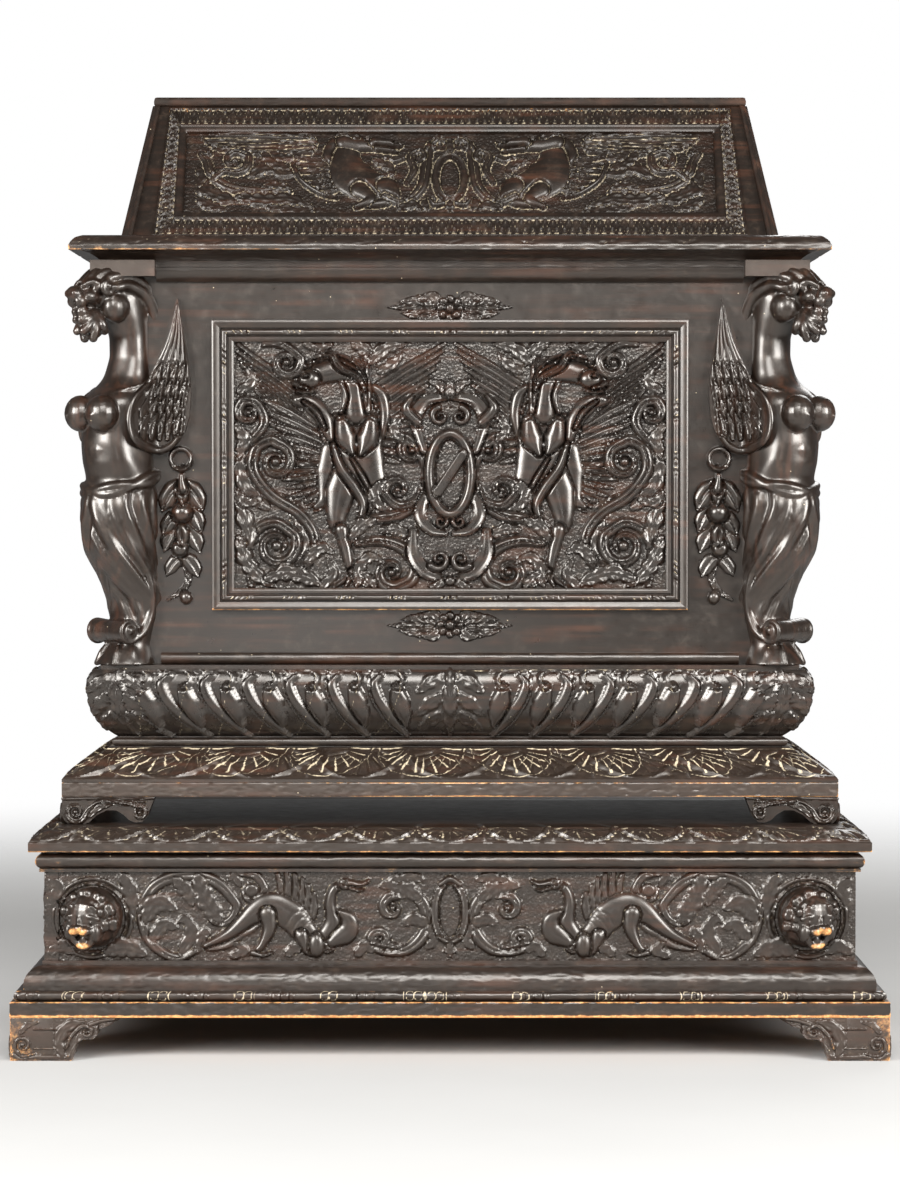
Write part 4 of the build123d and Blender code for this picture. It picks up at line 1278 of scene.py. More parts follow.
def bead_and_reel(field: Carving, low: float, high: float, pitch: float, bead: float, depth: float) -> None:
    """Cuts a run of paired beads between long reels.

    Args:
        field: the moulding's field.
        low: where the bead starts up the face.
        high: where it ends.
        pitch: distance from one pair of beads to the next.
        bead: length of one bead.
        depth: how deep the cuts between them go.
    """
    place = in_repeat(field.u, pitch)
    near = np.abs(np.abs(place) - bead / 2)
    round_end = depth * (1 - np.sqrt(np.clip(1 - (near / (bead / 2)) ** 2, 0, 1)))
    reel_end = depth * bell(np.abs(place) - bead, 1.6)
    cut = np.where(np.abs(place) < bead, np.minimum(round_end, depth), reel_end)
    cut += 0.4 * depth * bell(np.abs(place) - bead - 7, 1.1)
    middle = np.clip(np.sin(np.pi * (field.v - low) / (high - low)), 0, 1)
    on_bead = (field.v > low) & (field.v < high)
    field.height -= np.where(on_bead, cut * (0.45 + 0.55 * middle), 0)
    ring = np.hypot(near / (0.5 * bead), (2 * field.v - low - high) / (high - low))
    wax = bell(ring - 0.95, 0.2) * (np.abs(place) < bead + 1)
    wax += bell(np.abs(place) - bead - 3, 1.2)
    field.pale = np.maximum(field.pale, np.where(on_bead, np.clip(wax, 0, 1), 0))


def nicks(field: Carving, depth: float, size: float = 9.0) -> None:
    """Dents and rubs that years of use leave in a moulding's face.

    Args:
        field: the moulding's field.
        depth: greatest depth.
        size: size of the dents.
    """
    rows = len(field.height)
    coarse = field.random.random((rows // 2 + 2, int((field.u_line[-1] - field.u_line[0]) / size) + 2))
    x = (field.u_line - field.u_line[0]) / size
    left, y = x.astype(int), np.arange(rows) / 2
    low = y.astype(int)
    fx, fy = x - left, (y - low)[:, None]
    right = np.minimum(left + 1, coarse.shape[1] - 1)
    top = coarse[low][:, left] * (1 - fx) + coarse[low][:, right] * fx
    bottom = coarse[low + 1][:, left] * (1 - fx) + coarse[low + 1][:, right] * fx
    field.height -= depth * np.clip((top * (1 - fy) + bottom * fy) * 1.6 - 0.8, 0, 1)


def dented(depth: float, size: float) -> Carver:
    """The carving of a plain moulding that has only its dents.

    Args:
        depth: greatest depth.
        size: size of the dents.

    Returns:
        A function that dents a field.
    """
    return lambda field, line: nicks(field, depth, size)


def lunettes(field: Carving, low: float, high: float, pitch: float, rays: int, wax: float = 1.0) -> None:
    """Carves hanging fans between leaf-shaped darts.

    Args:
        field: the moulding's field.
        low: where the carving starts up the face.
        high: where it ends.
        pitch: distance from one fan to the next.
        rays: number of flutes in a fan.
        wax: how much old wax its cuts hold, up to 1.
    """
    place = in_repeat(field.u, pitch)
    down = (high - field.v) / (high - low)
    tall = high - low
    inside = (down > 0) & (down < 1)
    rim = np.hypot(place / (0.47 * pitch), down / 0.97)
    angle = np.arctan2(np.abs(down) * tall + 4, place)
    radius = np.hypot(place, down * tall)
    flute = np.abs(np.sin(rays * angle))
    long_enough = np.clip((radius - 0.28 * tall) / 6, 0, 1) * np.clip((0.93 - rim) / 0.06, 0, 1)
    groove = bell(1 - flute, 0.10) * long_enough
    fan = -1.8 - 1.6 * np.clip(1 - rim, 0, 1) - 1.9 * groove
    lip = 2.6 * bell(rim - 1.0, 0.055) - 1.8 * bell(rim - 1.13, 0.05)
    from_dart = np.abs(np.abs(place) - pitch / 2)
    spine = 2.4 * bell(from_dart, 2.0)
    notches = 0.9 * np.cos(2 * np.pi * down * 6) * bell(rim - 1.16, 0.08)
    dart = 0.3 + spine + notches
    height = np.where(rim < 1.0, fan, dart) + lip
    rays_wax = 1.1 * groove * (rim < 0.93)
    scallop = 0.012 * np.cos(2 * np.pi * down * 6)
    rims_wax = bell(rim - 0.985 - scallop, 0.022) + 0.8 * bell(rim - 1.15 + scallop, 0.022)
    edge_wax = 0.8 * bell(down - 0.03, 0.02)
    field.pale = np.maximum(field.pale, np.where(inside, wax * np.clip(rays_wax + rims_wax + edge_wax, 0, 1), 0))
    field.height += np.where(inside, height * np.clip(8 * down, 0, 1) * np.clip(9 * (1 - down), 0, 1), 0)


# ----------------------------------------
# The low case: bracket feet, plinth, carved boards, lion masks and its lid
# ----------------------------------------

@dataclass
class LowCase:
    """The long low case that carries the chest, with its own moulded lid."""

    tier: Tier
    board: float                    # thickness of its boards
    floor: float                    # bottom and top of the carved boards
    top: float
    sunk: float = 2.0               # how far the carving's ground lies behind a board's face
    projection: float = 50.0        # plinth beyond the boards
    foot_height: float = 69.0
    foot_reach: float = 176.0
    foot_stand: float = 102.0
    foot_thickness: float = 34.0
    mask_from_corner: float = 77.0
    mask_height: float = 222.0
    mask_radius: float = 46.0

    @classmethod
    def from_frame(cls) -> "LowCase":
        """Reads its sizes from the CAD frame."""
        low, high = span("lower_front_board")
        back = span("lower_back_board")[1][1]
        foot = span("base_foot_front_left")
        return cls(Tier(high[0], low[1], back), high[1] - low[1], low[2], high[2],
                   projection=low[1] - foot[0][1], foot_height=foot[1][2])

    def build(self) -> None:
        """Builds and dresses the whole case."""
        self.feet()
        self.plinth()
        self.frieze()
        self.masks()
        self.roll()
        self.lid_border()
        dress_nodes(MOULDED_SIDE, "base_feet_rear")
        dress_nodes(BARE_BACK, "plinth_rail_back", "lower_back_board", "lower_bottom_board", "lower_lid_border_back")
        dress_nodes(BARE_DEPTH, "lower_lid_cleats")
        dress_nodes(BOARD, "lower_lid_panel")

    def bracket(self, name: str, corner: Sequence[float], across: Sequence[float], flip: bool) -> bpy.types.Object:
        """One face of a bracket foot, carved with a scrolled leaf round a punched field.

        Args:
            name: the piece's name.
            corner: its outer bottom corner.
            across: the direction in from the corner.
            flip: whether u runs towards the corner.

        Returns:
            The piece.
        """
        stand, reach, tall = self.foot_stand, self.foot_reach, self.foot_height
        edge = np.array([(0, 0.6), (stand - 4, 0.6), (stand + 1, 0.16 * tall), (stand + 6, 0.42 * tall),
                         (stand + 14, 0.50 * tall), (stand + 30, 0.50 * tall), (stand + 38, 0.60 * tall),
                         (stand + 40, 0.74 * tall), (stand + 54, 0.80 * tall), (reach, tall - 2)])
        field = over_edge(edge, 0.6, tall, 1.6)
        field.stroke([(6, 10), (16, 5), (34, 8), (60, 6), (92, 8)], 3.5, 2.2)
        field.scroll([(40, 12), (20, 8), (9, 18)], (21, 26), 13, -1.2, 3.0, 3.2)
        field.leaf([(16, 44), (30, 58), (48, 62)], 6, 2.6, 3)
        field.leaf([(84, 10), (78, 30), (88, 52), (112, 60), (132, 52)], 11, 4.2, 4)
        field.scroll([(90, 20), (98, 40), (116, 56), (130, 52)], (122, 46), 8, -0.9, 3.2, 3.4)
        field.stroke([(128, 58), (146, 64), (166, 67)], (3, 2), 2.2)
        field.stroke([(39, 20), (73, 20)], 1.6, 1.8, Section.FLAT)
        field.stroke([(39, 50), (73, 50)], 1.6, 1.8, Section.FLAT)
        field.punched(1.1)
        return foot_face(name, field, corner, across, flip, 0.8, self.foot_thickness)

    def feet(self) -> None:
        """Builds the carved bracket feet of the front corners."""
        half, front = self.tier.half + self.projection, self.tier.front - self.projection
        for side, place in FRONT_CORNERS:
            name = f"base_foot_front_{place}"
            ahead = self.bracket(name + "_a", (side * half, front, 0), (-side, 0, 0), side > 0)
            beside = self.bracket(name + "_b", (side * half, front + 0.8, 0), BACKWARDS, side < 0)
            block = slab(name + "_c", (side * half - side * 1.0, front + 1.0, 0.3),
                         (side * (half - 0.68 * self.foot_stand), front + 0.68 * self.foot_stand,
                          self.foot_height - 0.2), 1.5)
            fit(joined(name, [ahead, beside, block]), RUBBED, "lower_case", name, worn=self.foot_wear)

    def foot_wear(self, co: np.ndarray) -> np.ndarray:
        """How badly the feet are rubbed: most on their corners and near the floor.

        Args:
            co: places, in mm.

        Returns:
            From 0 to 1 at each place.
        """
        corner = self.tier.half + self.projection - np.abs(co[:, 0])
        ahead = co[:, 1] - (self.tier.front - self.projection)
        return (0.34 * bell(np.hypot(corner, ahead), 5) + 0.22 * bell(co[:, 2], 5)
                + 0.12 * bell(self.foot_height - co[:, 2], 5))

    def plinth(self) -> None:
        """Builds the plinth moulding: square worn edge, bead and reel, and a broad quarter round."""
        z = self.foot_height
        out = self.projection
        profile = Profile((out - 1, z), ((out, z + 1.2), (out, z + 23.5), (out - 1.5, z + 25), (out - 13, z + 25),
                                         ((out - 5, z + 33), (out - 13, z + 41)), (out - 20, z + 41),
                                         (out - 20, z + 45), ((out - 25, z + 66), (out - 47, z + 78)),
                                         (out - 47, z + 85)), ((-40, z + 85), (-40, z)))

        def carve(field: Carving, line: np.ndarray) -> None:
            """Cuts the bead and reel, and the dents."""
            rows = np.where((line[:, 1] > z + 25.5) & (line[:, 1] < z + 40.5) & (line[:, 0] > out - 14))[0]
            nicks(field, 0.9)
            bead_and_reel(field, field.v_line[rows[0]] - 1, field.v_line[rows[-1]] + 1, 127, 12.5, 3.6)

        def worn(co: np.ndarray) -> np.ndarray:
            """The bottom edge is the most rubbed, and the fillets beside the bead next."""
            bottom = np.clip(1.15 - (co[:, 2] - z) / 10, 0, 1) ** 1.5
            fillet = bell(co[:, 2] - z - 25, 2.5) + bell(co[:, 2] - z - 42, 2.2)
            return 0.85 * bottom + 0.35 * fillet

        moulded_runs(self.tier, "plinth_moulding", "lower_case", profile, (MOULDED, MOULDED_SIDE), 2.2, 2.0, carve,
                     worn=worn)

    def frieze(self) -> None:
        """Builds the carved front and side boards."""
        tall = self.top - self.floor
        half = self.tier.half
        field = Carving((-half, 0), (half, tall), 2.1)
        self.scrollwork(field, half)
        field.mirrored()
        self.cartouche(field)
        bare = field.punched(1.3)
        field.height -= self.sunk
        name = "lower_front_board"
        piece = relief(name, field, (0, self.tier.front, self.floor), ACROSS, UPWARDS, self.board - self.sunk)
        mark_grid(piece, "ground", bare)
        fit(piece, CARVED, "lower_case", name)
        depth = self.tier.back - self.tier.front
        for side, place in FRONT_CORNERS:
            name = f"lower_side_board_{place}"
            low, high = span(name)
            start = high[1] if side < 0 else low[1]
            field = Carving((0, 0), (depth - self.board, tall), 2.8)
            self.side_scrollwork(field)
            bare = field.punched(1.3)
            field.height -= self.sunk
            if side > 0:
                field.height, bare = field.height[:, ::-1].copy(), bare[:, ::-1]
            piece = relief(name, field, (side * half, start, self.floor), (0, side, 0), UPWARDS,
                           self.board - self.sunk)
            mark_grid(piece, "ground", bare)
            fit(piece, CARVED, "lower_case", name)

    def scrollwork(self, field: Carving, half: float) -> None:
        """Carves the left half of the frieze: roundel, acanthus scroll, bird's head, winged dragon and scroll.

        Args:
            field: the board's field, with v up from its bottom edge.
            half: half the board's length.
        """
        lion = (-half + self.mask_from_corner, self.mask_height - self.floor)
        for radius, width in ((63, 3.4), (55, 2.2)):
            field.stroke(oval(lion, radius, radius), width, 3.0)
        field.leaf([(-548, 14), (-520, 20), (-486, 8)], 18, 4, 4)
        field.leaf([(-524, 136), (-512, 108), (-504, 70)], 15, 4, 4)
        field.leaf([(-640, 128), (-628, 116), (-640, 84)], 13, 4, 3)
        field.leaf([(-642, 12), (-622, 22), (-604, 10)], 13, 4, 3)
        field.scroll([(-398, 22), (-440, 4), (-480, 30), (-493, 74), (-474, 118), (-424, 137), (-376, 126),
                      (-346, 96)], (-372, 82), 30, -0.7, 9.4, 5.5)
        field.leaf([(-488, 66), (-470, 92), (-438, 82)], 18, 5.0, 4)
        field.leaf([(-476, 36), (-458, 56), (-436, 52)], 15, 4.6, 3)
        field.leaf([(-404, 132), (-394, 100), (-366, 60)], 20, 6.0, 5)
        field.leaf([(-440, 128), (-420, 108), (-412, 86)], 14, 5.0, 4)
        field.leaf([(-430, 14), (-414, 44), (-424, 66), (-438, 60)], 14, 5.0, 3)
        field.leaf([(-402, 20), (-394, 46), (-386, 40)], 11, 5.0, 3)
        field.scroll([(-352, 134), (-340, 140), (-312, 136), (-298, 118)], (-318, 112), 20, -0.75, 7.2, 5.5)
        field.dome((-318, 113), 12, 11, 6.5, 2.5)
        field.leaf([(-336, 120), (-346, 134), (-356, 128)], 8, 5, 2)
        field.feathers([(-276, 138), (-262, 142), (-238, 132), (-218, 108)], [(-268, 84), (-244, 74), (-224, 60)],
                       6, 7.5, 5.0, 3)
        field.leaf([(-388, 20), (-356, 34), (-318, 58), (-288, 76)], 17, 6.5, 2)
        field.stroke([(-392, 24), (-352, 44), (-310, 78), (-280, 86), (-250, 66), (-226, 38), (-196, 22)],
                     (5, 9, 14, 22, 24, 20, 12), 9.5)
        field.stroke([(-292, 74), (-290, 50), (-304, 22), (-318, 12)], (14, 11, 7, 5), 9.0)
        field.stroke([(-318, 12), (-300, 8), (-286, 12)], (5, 3), 6.0)
        field.stroke([(-238, 40), (-228, 16), (-212, 10)], (11, 8, 5), 9.0)
        for lift in (0, 9, 18):
            field.cut([(-262 + lift, 58 - lift), (-252 + lift, 74 - lift), (-238 + lift, 82 - lift)], 1.6, 1.5)
        field.stroke([(-204, 30), (-188, 58), (-192, 92), (-186, 114), (-170, 122)], (16, 15, 10, 8, 7), 9.0)
        field.dome((-166, 122), 13, 10, 8.5)
        field.stroke([(-160, 124), (-142, 122), (-130, 128)], (6, 5, 3), 7.0)
        field.stroke([(-158, 116), (-146, 112), (-138, 114)], (4, 2), 6.0)
        field.cut([(-156, 119), (-134, 120)], 1.4, 3.0)
        field.dome((-170, 126), 2.6, 2.6, 2.5)
        field.stroke([(-188, 30), (-164, 46), (-162, 66), (-176, 78)], (10, 17, 14, 5), 8.0)
        field.dome((-214, 24), 13, 20, 9.0)
        field.scroll([(-126, 22), (-100, 14), (-66, 18), (-40, 46), (-40, 84), (-62, 108), (-94, 104)],
                     (-92, 84), 18, 0.9, 10.2, 6.0)
        field.scroll([(-86, 22), (-104, 26), (-118, 30)], (-112, 34), 15, -1.1, 8, 6.0)
        field.leaf([(-52, 100), (-78, 122), (-112, 118)], 17, 5.5, 4)
        field.leaf([(-40, 60), (-60, 66), (-74, 56)], 13, 5.0, 3)
        field.leaf([(-150, 8), (-136, 22), (-122, 12)], 11, 4.5, 3)
        field.leaf([(-44, 130), (-66, 134), (-90, 128)], 10, 4.5, 3)
        field.leaf([(-36, 20), (-26, 34), (-34, 56)], 10, 4.5, 3)
        field.leaf([(-350, 6), (-330, 16), (-344, 28)], 10, 4.5, 3)
        field.leaf([(-262, 8), (-248, 20), (-240, 12)], 10, 4.5, 3)

    def cartouche(self, field: Carving) -> None:
        """Carves the upright oval at the middle of the frieze.

        Args:
            field: the board's field.
        """
        middle = (0, 78)
        field.stroke(oval(middle, 25, 49), 6, 7.0, Section.HOLLOW)
        field.cut(oval(middle, 18, 41), 1.6, 2.0)
        field.stroke([(-16, 36), (0, 28), (16, 36)], (4, 5, 4), 6.0)
        field.stroke([(-16, 122), (0, 131), (16, 122)], (4, 5, 4), 6.0)
        field.leaf([(0, 24), (0, 6)], 12, 6, 3)

    def side_scrollwork(self, field: Carving) -> None:
        """Carves an end board: a roundel by the corner and three running acanthus scrolls.

        Args:
            field: the board's field, with u from the back to the front corner.
        """
        last = field.u_line[-1]
        lion = (last - self.mask_from_corner + self.board, self.mask_height - self.floor)
        for radius, width in ((63, 3.4), (50, 2.2)):
            field.stroke(oval(lion, radius, radius), width, 3.0)
        for k in range(12):
            angle = 2 * math.pi * k / 12
            ends = [(lion[0] + r * math.cos(angle), lion[1] + r * math.sin(angle)) for r in (8, 24, 44)]
            field.stroke(ends, (3, 7, 5), 5, Section.QUILL)
        field.dome(lion, 11, 11, 7, 2)
        width = (last - 2 * self.mask_from_corner) / 3
        for k in range(3):
            middle = 14 + width * (k + 0.5)
            turn = 1 if k % 2 else -1

            def lift(v: float) -> float:
                """The height, turned upside down in every other scroll."""
                return 71 + turn * (v - 71)

            field.scroll([(middle - 70, lift(10)), (middle - 62, lift(66)), (middle - 36, lift(116)),
                          (middle + 12, lift(130)), (middle + 48, lift(104))], (middle + 8, lift(78)), 46,
                         -1.1 * turn, 6.5, 6)
            field.leaf([(middle - 58, lift(46)), (middle - 34, lift(66)), (middle - 20, lift(52))], 12, 5, 4)
            field.leaf([(middle - 20, lift(124)), (middle - 6, lift(104)), (middle + 10, lift(96))], 11, 5, 4)
            field.leaf([(middle + 56, lift(98)), (middle + 72, lift(126)), (middle + 50, lift(134))], 10, 5, 3)
            field.leaf([(middle - 44, lift(16)), (middle - 4, lift(24)), (middle + 34, lift(10))], 13, 5, 5)
            field.leaf([(middle + 40, lift(24)), (middle + 62, lift(46)), (middle + 74, lift(30))], 10, 5, 3)

    def mask_middle(self, side: int) -> np.ndarray:
        """Where a mask sits on the front board: the left one for a side of -1, the right one for 1."""
        return np.array([side * (self.tier.half - self.mask_from_corner), self.tier.front, self.mask_height])

    def masks(self) -> None:
        """Builds the two lion masks, turned a little outwards and down."""
        made = []
        for side in (-1, 1):
            made.append(lion_mask(f"lion_mask_{side}", self.mask_middle(side), side, self.mask_radius))
        fit(joined("lion_masks", made), FIGURE, "lower_case", "lion_masks", worn=self.mask_wear)

    def mask_wear(self, co: np.ndarray) -> np.ndarray:
        """How badly the masks are rubbed: bare on the lips and snout.

        Args:
            co: places, in mm.

        Returns:
            From 0 to 1 at each place.
        """
        total = np.zeros(len(co))
        for side in (-1, 1):
            middle = self.mask_middle(side)
            forward, right, up = mask_axes(side)
            ahead, across, high = (co - middle) @ forward, (co - middle) @ right, (co - middle) @ up
            near = np.linalg.norm(co - middle, axis=1) < 80
            upper = np.exp(-(((high + 7) / 9) ** 2 + (across / 20) ** 4)) * np.clip((ahead - 38) / 8, 0, 1)
            lower = np.exp(-(((high + 34) / 7) ** 2 + (across / 16) ** 4)) * np.clip((ahead - 26) / 10, 0, 1)
            total += near * np.maximum(upper, 0.9 * lower)
        return 0.78 * total

    def roll(self) -> None:
        """Builds the roll moulding over the frieze, its ends rubbed bare."""
        z = self.top - 30
        profile = Profile((7, z), ((7, z + 5), (2, z + 5), ((13, z + 17), (2, z + 29))),
                          ((0, z + 29), (0, z)))
        ends = self.tier.half

        def worn(co: np.ndarray) -> np.ndarray:
            """The roll is bare at the corners and rubbed along its crown."""
            corner = np.clip(1 - (ends - np.abs(co[:, 0])) / 95, 0, 1) * (co[:, 1] < self.tier.front + 8)
            crown = bell(co[:, 2] - z - 17, 6)
            return 0.26 * corner * (0.4 + 0.6 * crown) + 0.10 * crown

        piece = self.tier.round_three("lower_roll_moulding", profile, pitch=4, fine=2, carve=dented(0.7, 14))
        fit(piece, MOULDED, "lower_case", "lower_roll_moulding", worn=worn)

    def lid_border(self) -> None:
        """Builds the low lid's front and side rails, with fans carved in their hollow edge."""
        low, high = span("lower_lid_border_front")
        z, top = low[2], high[2]
        out = self.tier.front - low[1]
        profile = Profile((0, z), ((0, z + 3), (out - 1, z + 3), (out, z + 4), (out, z + 18), (out - 1, z + 19),
                                   ((7, z + 33), (-19, top))), ((-90, top), (-90, z)))

        def carve(field: Carving, line: np.ndarray) -> None:
            """Cuts the fans and the dents."""
            nicks(field, 0.7, 12)
            first = int(np.argmax(line[:, 1] > z + 19.5))
            lunettes(field, field.v_line[first], field.v_line[-1] - 1, 107, 5, 0.72)

        def worn(co: np.ndarray) -> np.ndarray:
            """The square nose is rubbed along its lower arris."""
            return 0.45 * bell(co[:, 2] - z - 4, 3) * (np.abs(co[:, 1]) > 20)

        moulded_runs(self.tier, "lower_lid_border", "lower_lid", profile, (SHELL_CARVED, MOULDED_SIDE), 2.2, 1.9,
                     carve, worn=worn)


# ----------------------------------------
# Figures carved in the round
# ----------------------------------------

@dataclass(frozen=True)
class Lump:
    """A rounded lump of a carved figure: its middle and its radii along the figure's own three axes, in mm."""

    at: tuple[float, float, float]
    radii: tuple[float, float, float]


def cordon(points: Sequence[Sequence[float]], radii: Sequence[float], step: float = 3.0) -> list[Lump]:
    """Lumps along a line, as for a lock of hair, a lip or a rope.

    Args:
        points: points of the line.
        radii: radii, spread evenly along it.
        step: spacing of the lumps.

    Returns:
        The lumps.
    """
    p = np.array(points, float)
    if len(p) > 2:
        padded = np.vstack([2 * p[0] - p[1], p, 2 * p[-1] - p[-2]])
        shares = np.linspace(0, 1, 8, endpoint=False)
        p = np.array([*[cubic(corners, t) for corners in zip(padded, padded[1:], padded[2:], padded[3:])
                        for t in shares], p[-1]])
    run = lengths_along(p)
    count = max(3, int(run[-1] / step))
    lumps = []
    for share in np.linspace(0, 1, count):
        at = [float(np.interp(share * run[-1], run, p[:, k])) for k in range(3)]
        r = float(np.interp(share, np.linspace(0, 1, len(radii)), radii))
        lumps.append(Lump(tuple(at), (r, r, r)))
    return lumps


def curl(middle: Sequence[float], radius: float, turns: float, start: float, plane: tuple[int, int],
         thick: float) -> list[Lump]:
    """Lumps along a flat spiral.

    Args:
        middle: its centre.
        radius: its outer radius.
        turns: how many turns it makes.
        start: the angle that it starts at, in degrees.
        plane: the two axes that it lies in.
        thick: radius of its rope.

    Returns:
        The lumps.
    """
    flat = spiral((middle[plane[0]], middle[plane[1]]), radius, start, turns, 0.2)
    points = []
    for a, b in flat:
        point = list(middle)
        point[plane[0]], point[plane[1]] = a, b
        points.append(point)
    return cordon(points, (thick, thick, 0.7 * thick), 2.5)


def cast(name: str, lumps: Sequence[Lump], origin: np.ndarray, axes: np.ndarray, voxel: float,
         extra: Sequence[bpy.types.Object] = (), smoothing: int = 3) -> bpy.types.Object:
    """Fuses lumps into one carved form.

    Args:
        name: the piece's name.
        lumps: the lumps, in the figure's own axes.
        origin: the figure's origin, in mm.
        axes: the figure's three axes, as rows.
        voxel: fineness of the fused surface, in mm.
        extra: closed pieces to fuse with them, already in place.
        smoothing: rounds of smoothing.

    Returns:
        The fused piece.
    """
    deselect()
    bpy.ops.mesh.primitive_uv_sphere_add(segments=16, ring_count=10, radius=1)
    ball = bpy.context.object
    unit = np.array([v.co for v in ball.data.vertices])
    faces = [tuple(p.vertices) for p in ball.data.polygons]
    bpy.data.objects.remove(ball)
    points, polygons = [], []
    for i, lump in enumerate(lumps):
        own = unit * np.array(lump.radii) + np.array(lump.at)
        points.append((origin + own @ axes) * MM)
        polygons += [tuple(v + i * len(unit) for v in face) for face in faces]
    mesh = bpy.data.meshes.new(name)
    mesh.from_pydata(np.vstack(points).tolist(), [], polygons)
    piece = bpy.data.objects.new(name, mesh)
    bpy.context.scene.collection.objects.link(piece)
    if extra:
        piece = joined(name, [piece, *extra])
    only(piece)
    bpy.ops.object.mode_set(mode="EDIT")
    bpy.ops.mesh.select_all(action="SELECT")
    bpy.ops.mesh.normals_make_consistent(inside=False)
    bpy.ops.object.mode_set(mode="OBJECT")
    remesh = piece.modifiers.new("fuse", "REMESH")
    remesh.mode = "VOXEL"
    remesh.voxel_size = voxel * MM
    bpy.ops.object.modifier_apply(modifier="fuse")
    soften = piece.modifiers.new("soften", "SMOOTH")
    soften.factor = 0.5
    soften.iterations = smoothing
    bpy.ops.object.modifier_apply(modifier="soften")
    return piece


def mask_axes(side: int) -> tuple[np.ndarray, np.ndarray, np.ndarray]:
    """The directions forward, to the right and up of a lion mask.

    Args:
        side: -1 for the left mask and 1 for the right one.

    Returns:
        Three unit arrays.
    """
    forward = np.array([0.42 * side, -1.0, -0.20])
    forward /= np.linalg.norm(forward)
    right = np.cross(forward, (0, 0, 1))
    right /= np.linalg.norm(right)
    return forward, right, np.cross(right, forward)


def lion_mask(name: str, middle: np.ndarray, side: int, radius: float) -> bpy.types.Object:
    """A lion's head with curled forelocks, round eyes and an open mouth.

    Args:
        name: the piece's name.
        middle: where it sits on the board, in mm.
        side: -1 for the left mask and 1 for the right one.
        radius: how far it stands out.

    Returns:
        The mask.
    """
    axes = np.array(mask_axes(side))
    lumps = [Lump((-6, 0, 0), (0.93 * radius, 48, 50)), Lump((22, 0, 6), (22, 34, 34))]
    for k in range(13):
        angle = math.radians(-12 + 204 * k / 12)
        for reach, size in ((44, 8.5), (35, 7.5)):
            wave = 0.12 * (k % 2)
            lumps.append(Lump((10 + (44 - reach) * 1.1, reach * math.cos(angle + wave),
                               reach * math.sin(angle + wave)), (9, size, size)))
    for k in (-2, -1, 0, 1, 2):
        lumps += curl((33, 9.5 * k, 27 - abs(k) * 1.5), 6.0, 1.0, 90, (1, 2), 2.6)
    for one in (-1, 1):
        lumps += [Lump((34, one * 19, 6), (6, 7.5, 7)), Lump((38.5, one * 19.5, 5.5), (3.6, 3.8, 3.8)),
                  Lump((33, one * 24, -14), (12, 9, 16)), Lump((44, one * 9.5, -8), (11, 10.5, 8.5))]
        lumps += cordon([(36, one * 9, 11), (39, one * 18, 14.5), (34, one * 29, 9)], (3.6, 3.8, 2.6))
        lumps += cordon([(37, one * 12, 1), (38, one * 19, -0.5), (34, one * 27, 3)], (2.0, 2.2, 1.8))
        lumps.append(Lump((30, one * 33, 20), (7, 6, 8)))
    lumps += [Lump((40, 0, 3), (9, 6.5, 14)), Lump((50, 0, -2), (6, 9, 5.5)), Lump((26, 0, -24), (10, 9, 10))]
    lumps += cordon([(37, -18, -15), (36, -15, -28), (35, 0, -38), (36, 15, -28), (37, 18, -15)],
                    (4.5, 5.5, 6.5, 5.5, 4.5))
    lumps.append(Lump((33, 0, -27), (7, 8, 10)))
    return cast(name, lumps, middle, axes, 1.7, smoothing=2)


# ----------------------------------------
# The chest: scroll feet, fan and gadroon mouldings, carved panel, corner figures
# ----------------------------------------

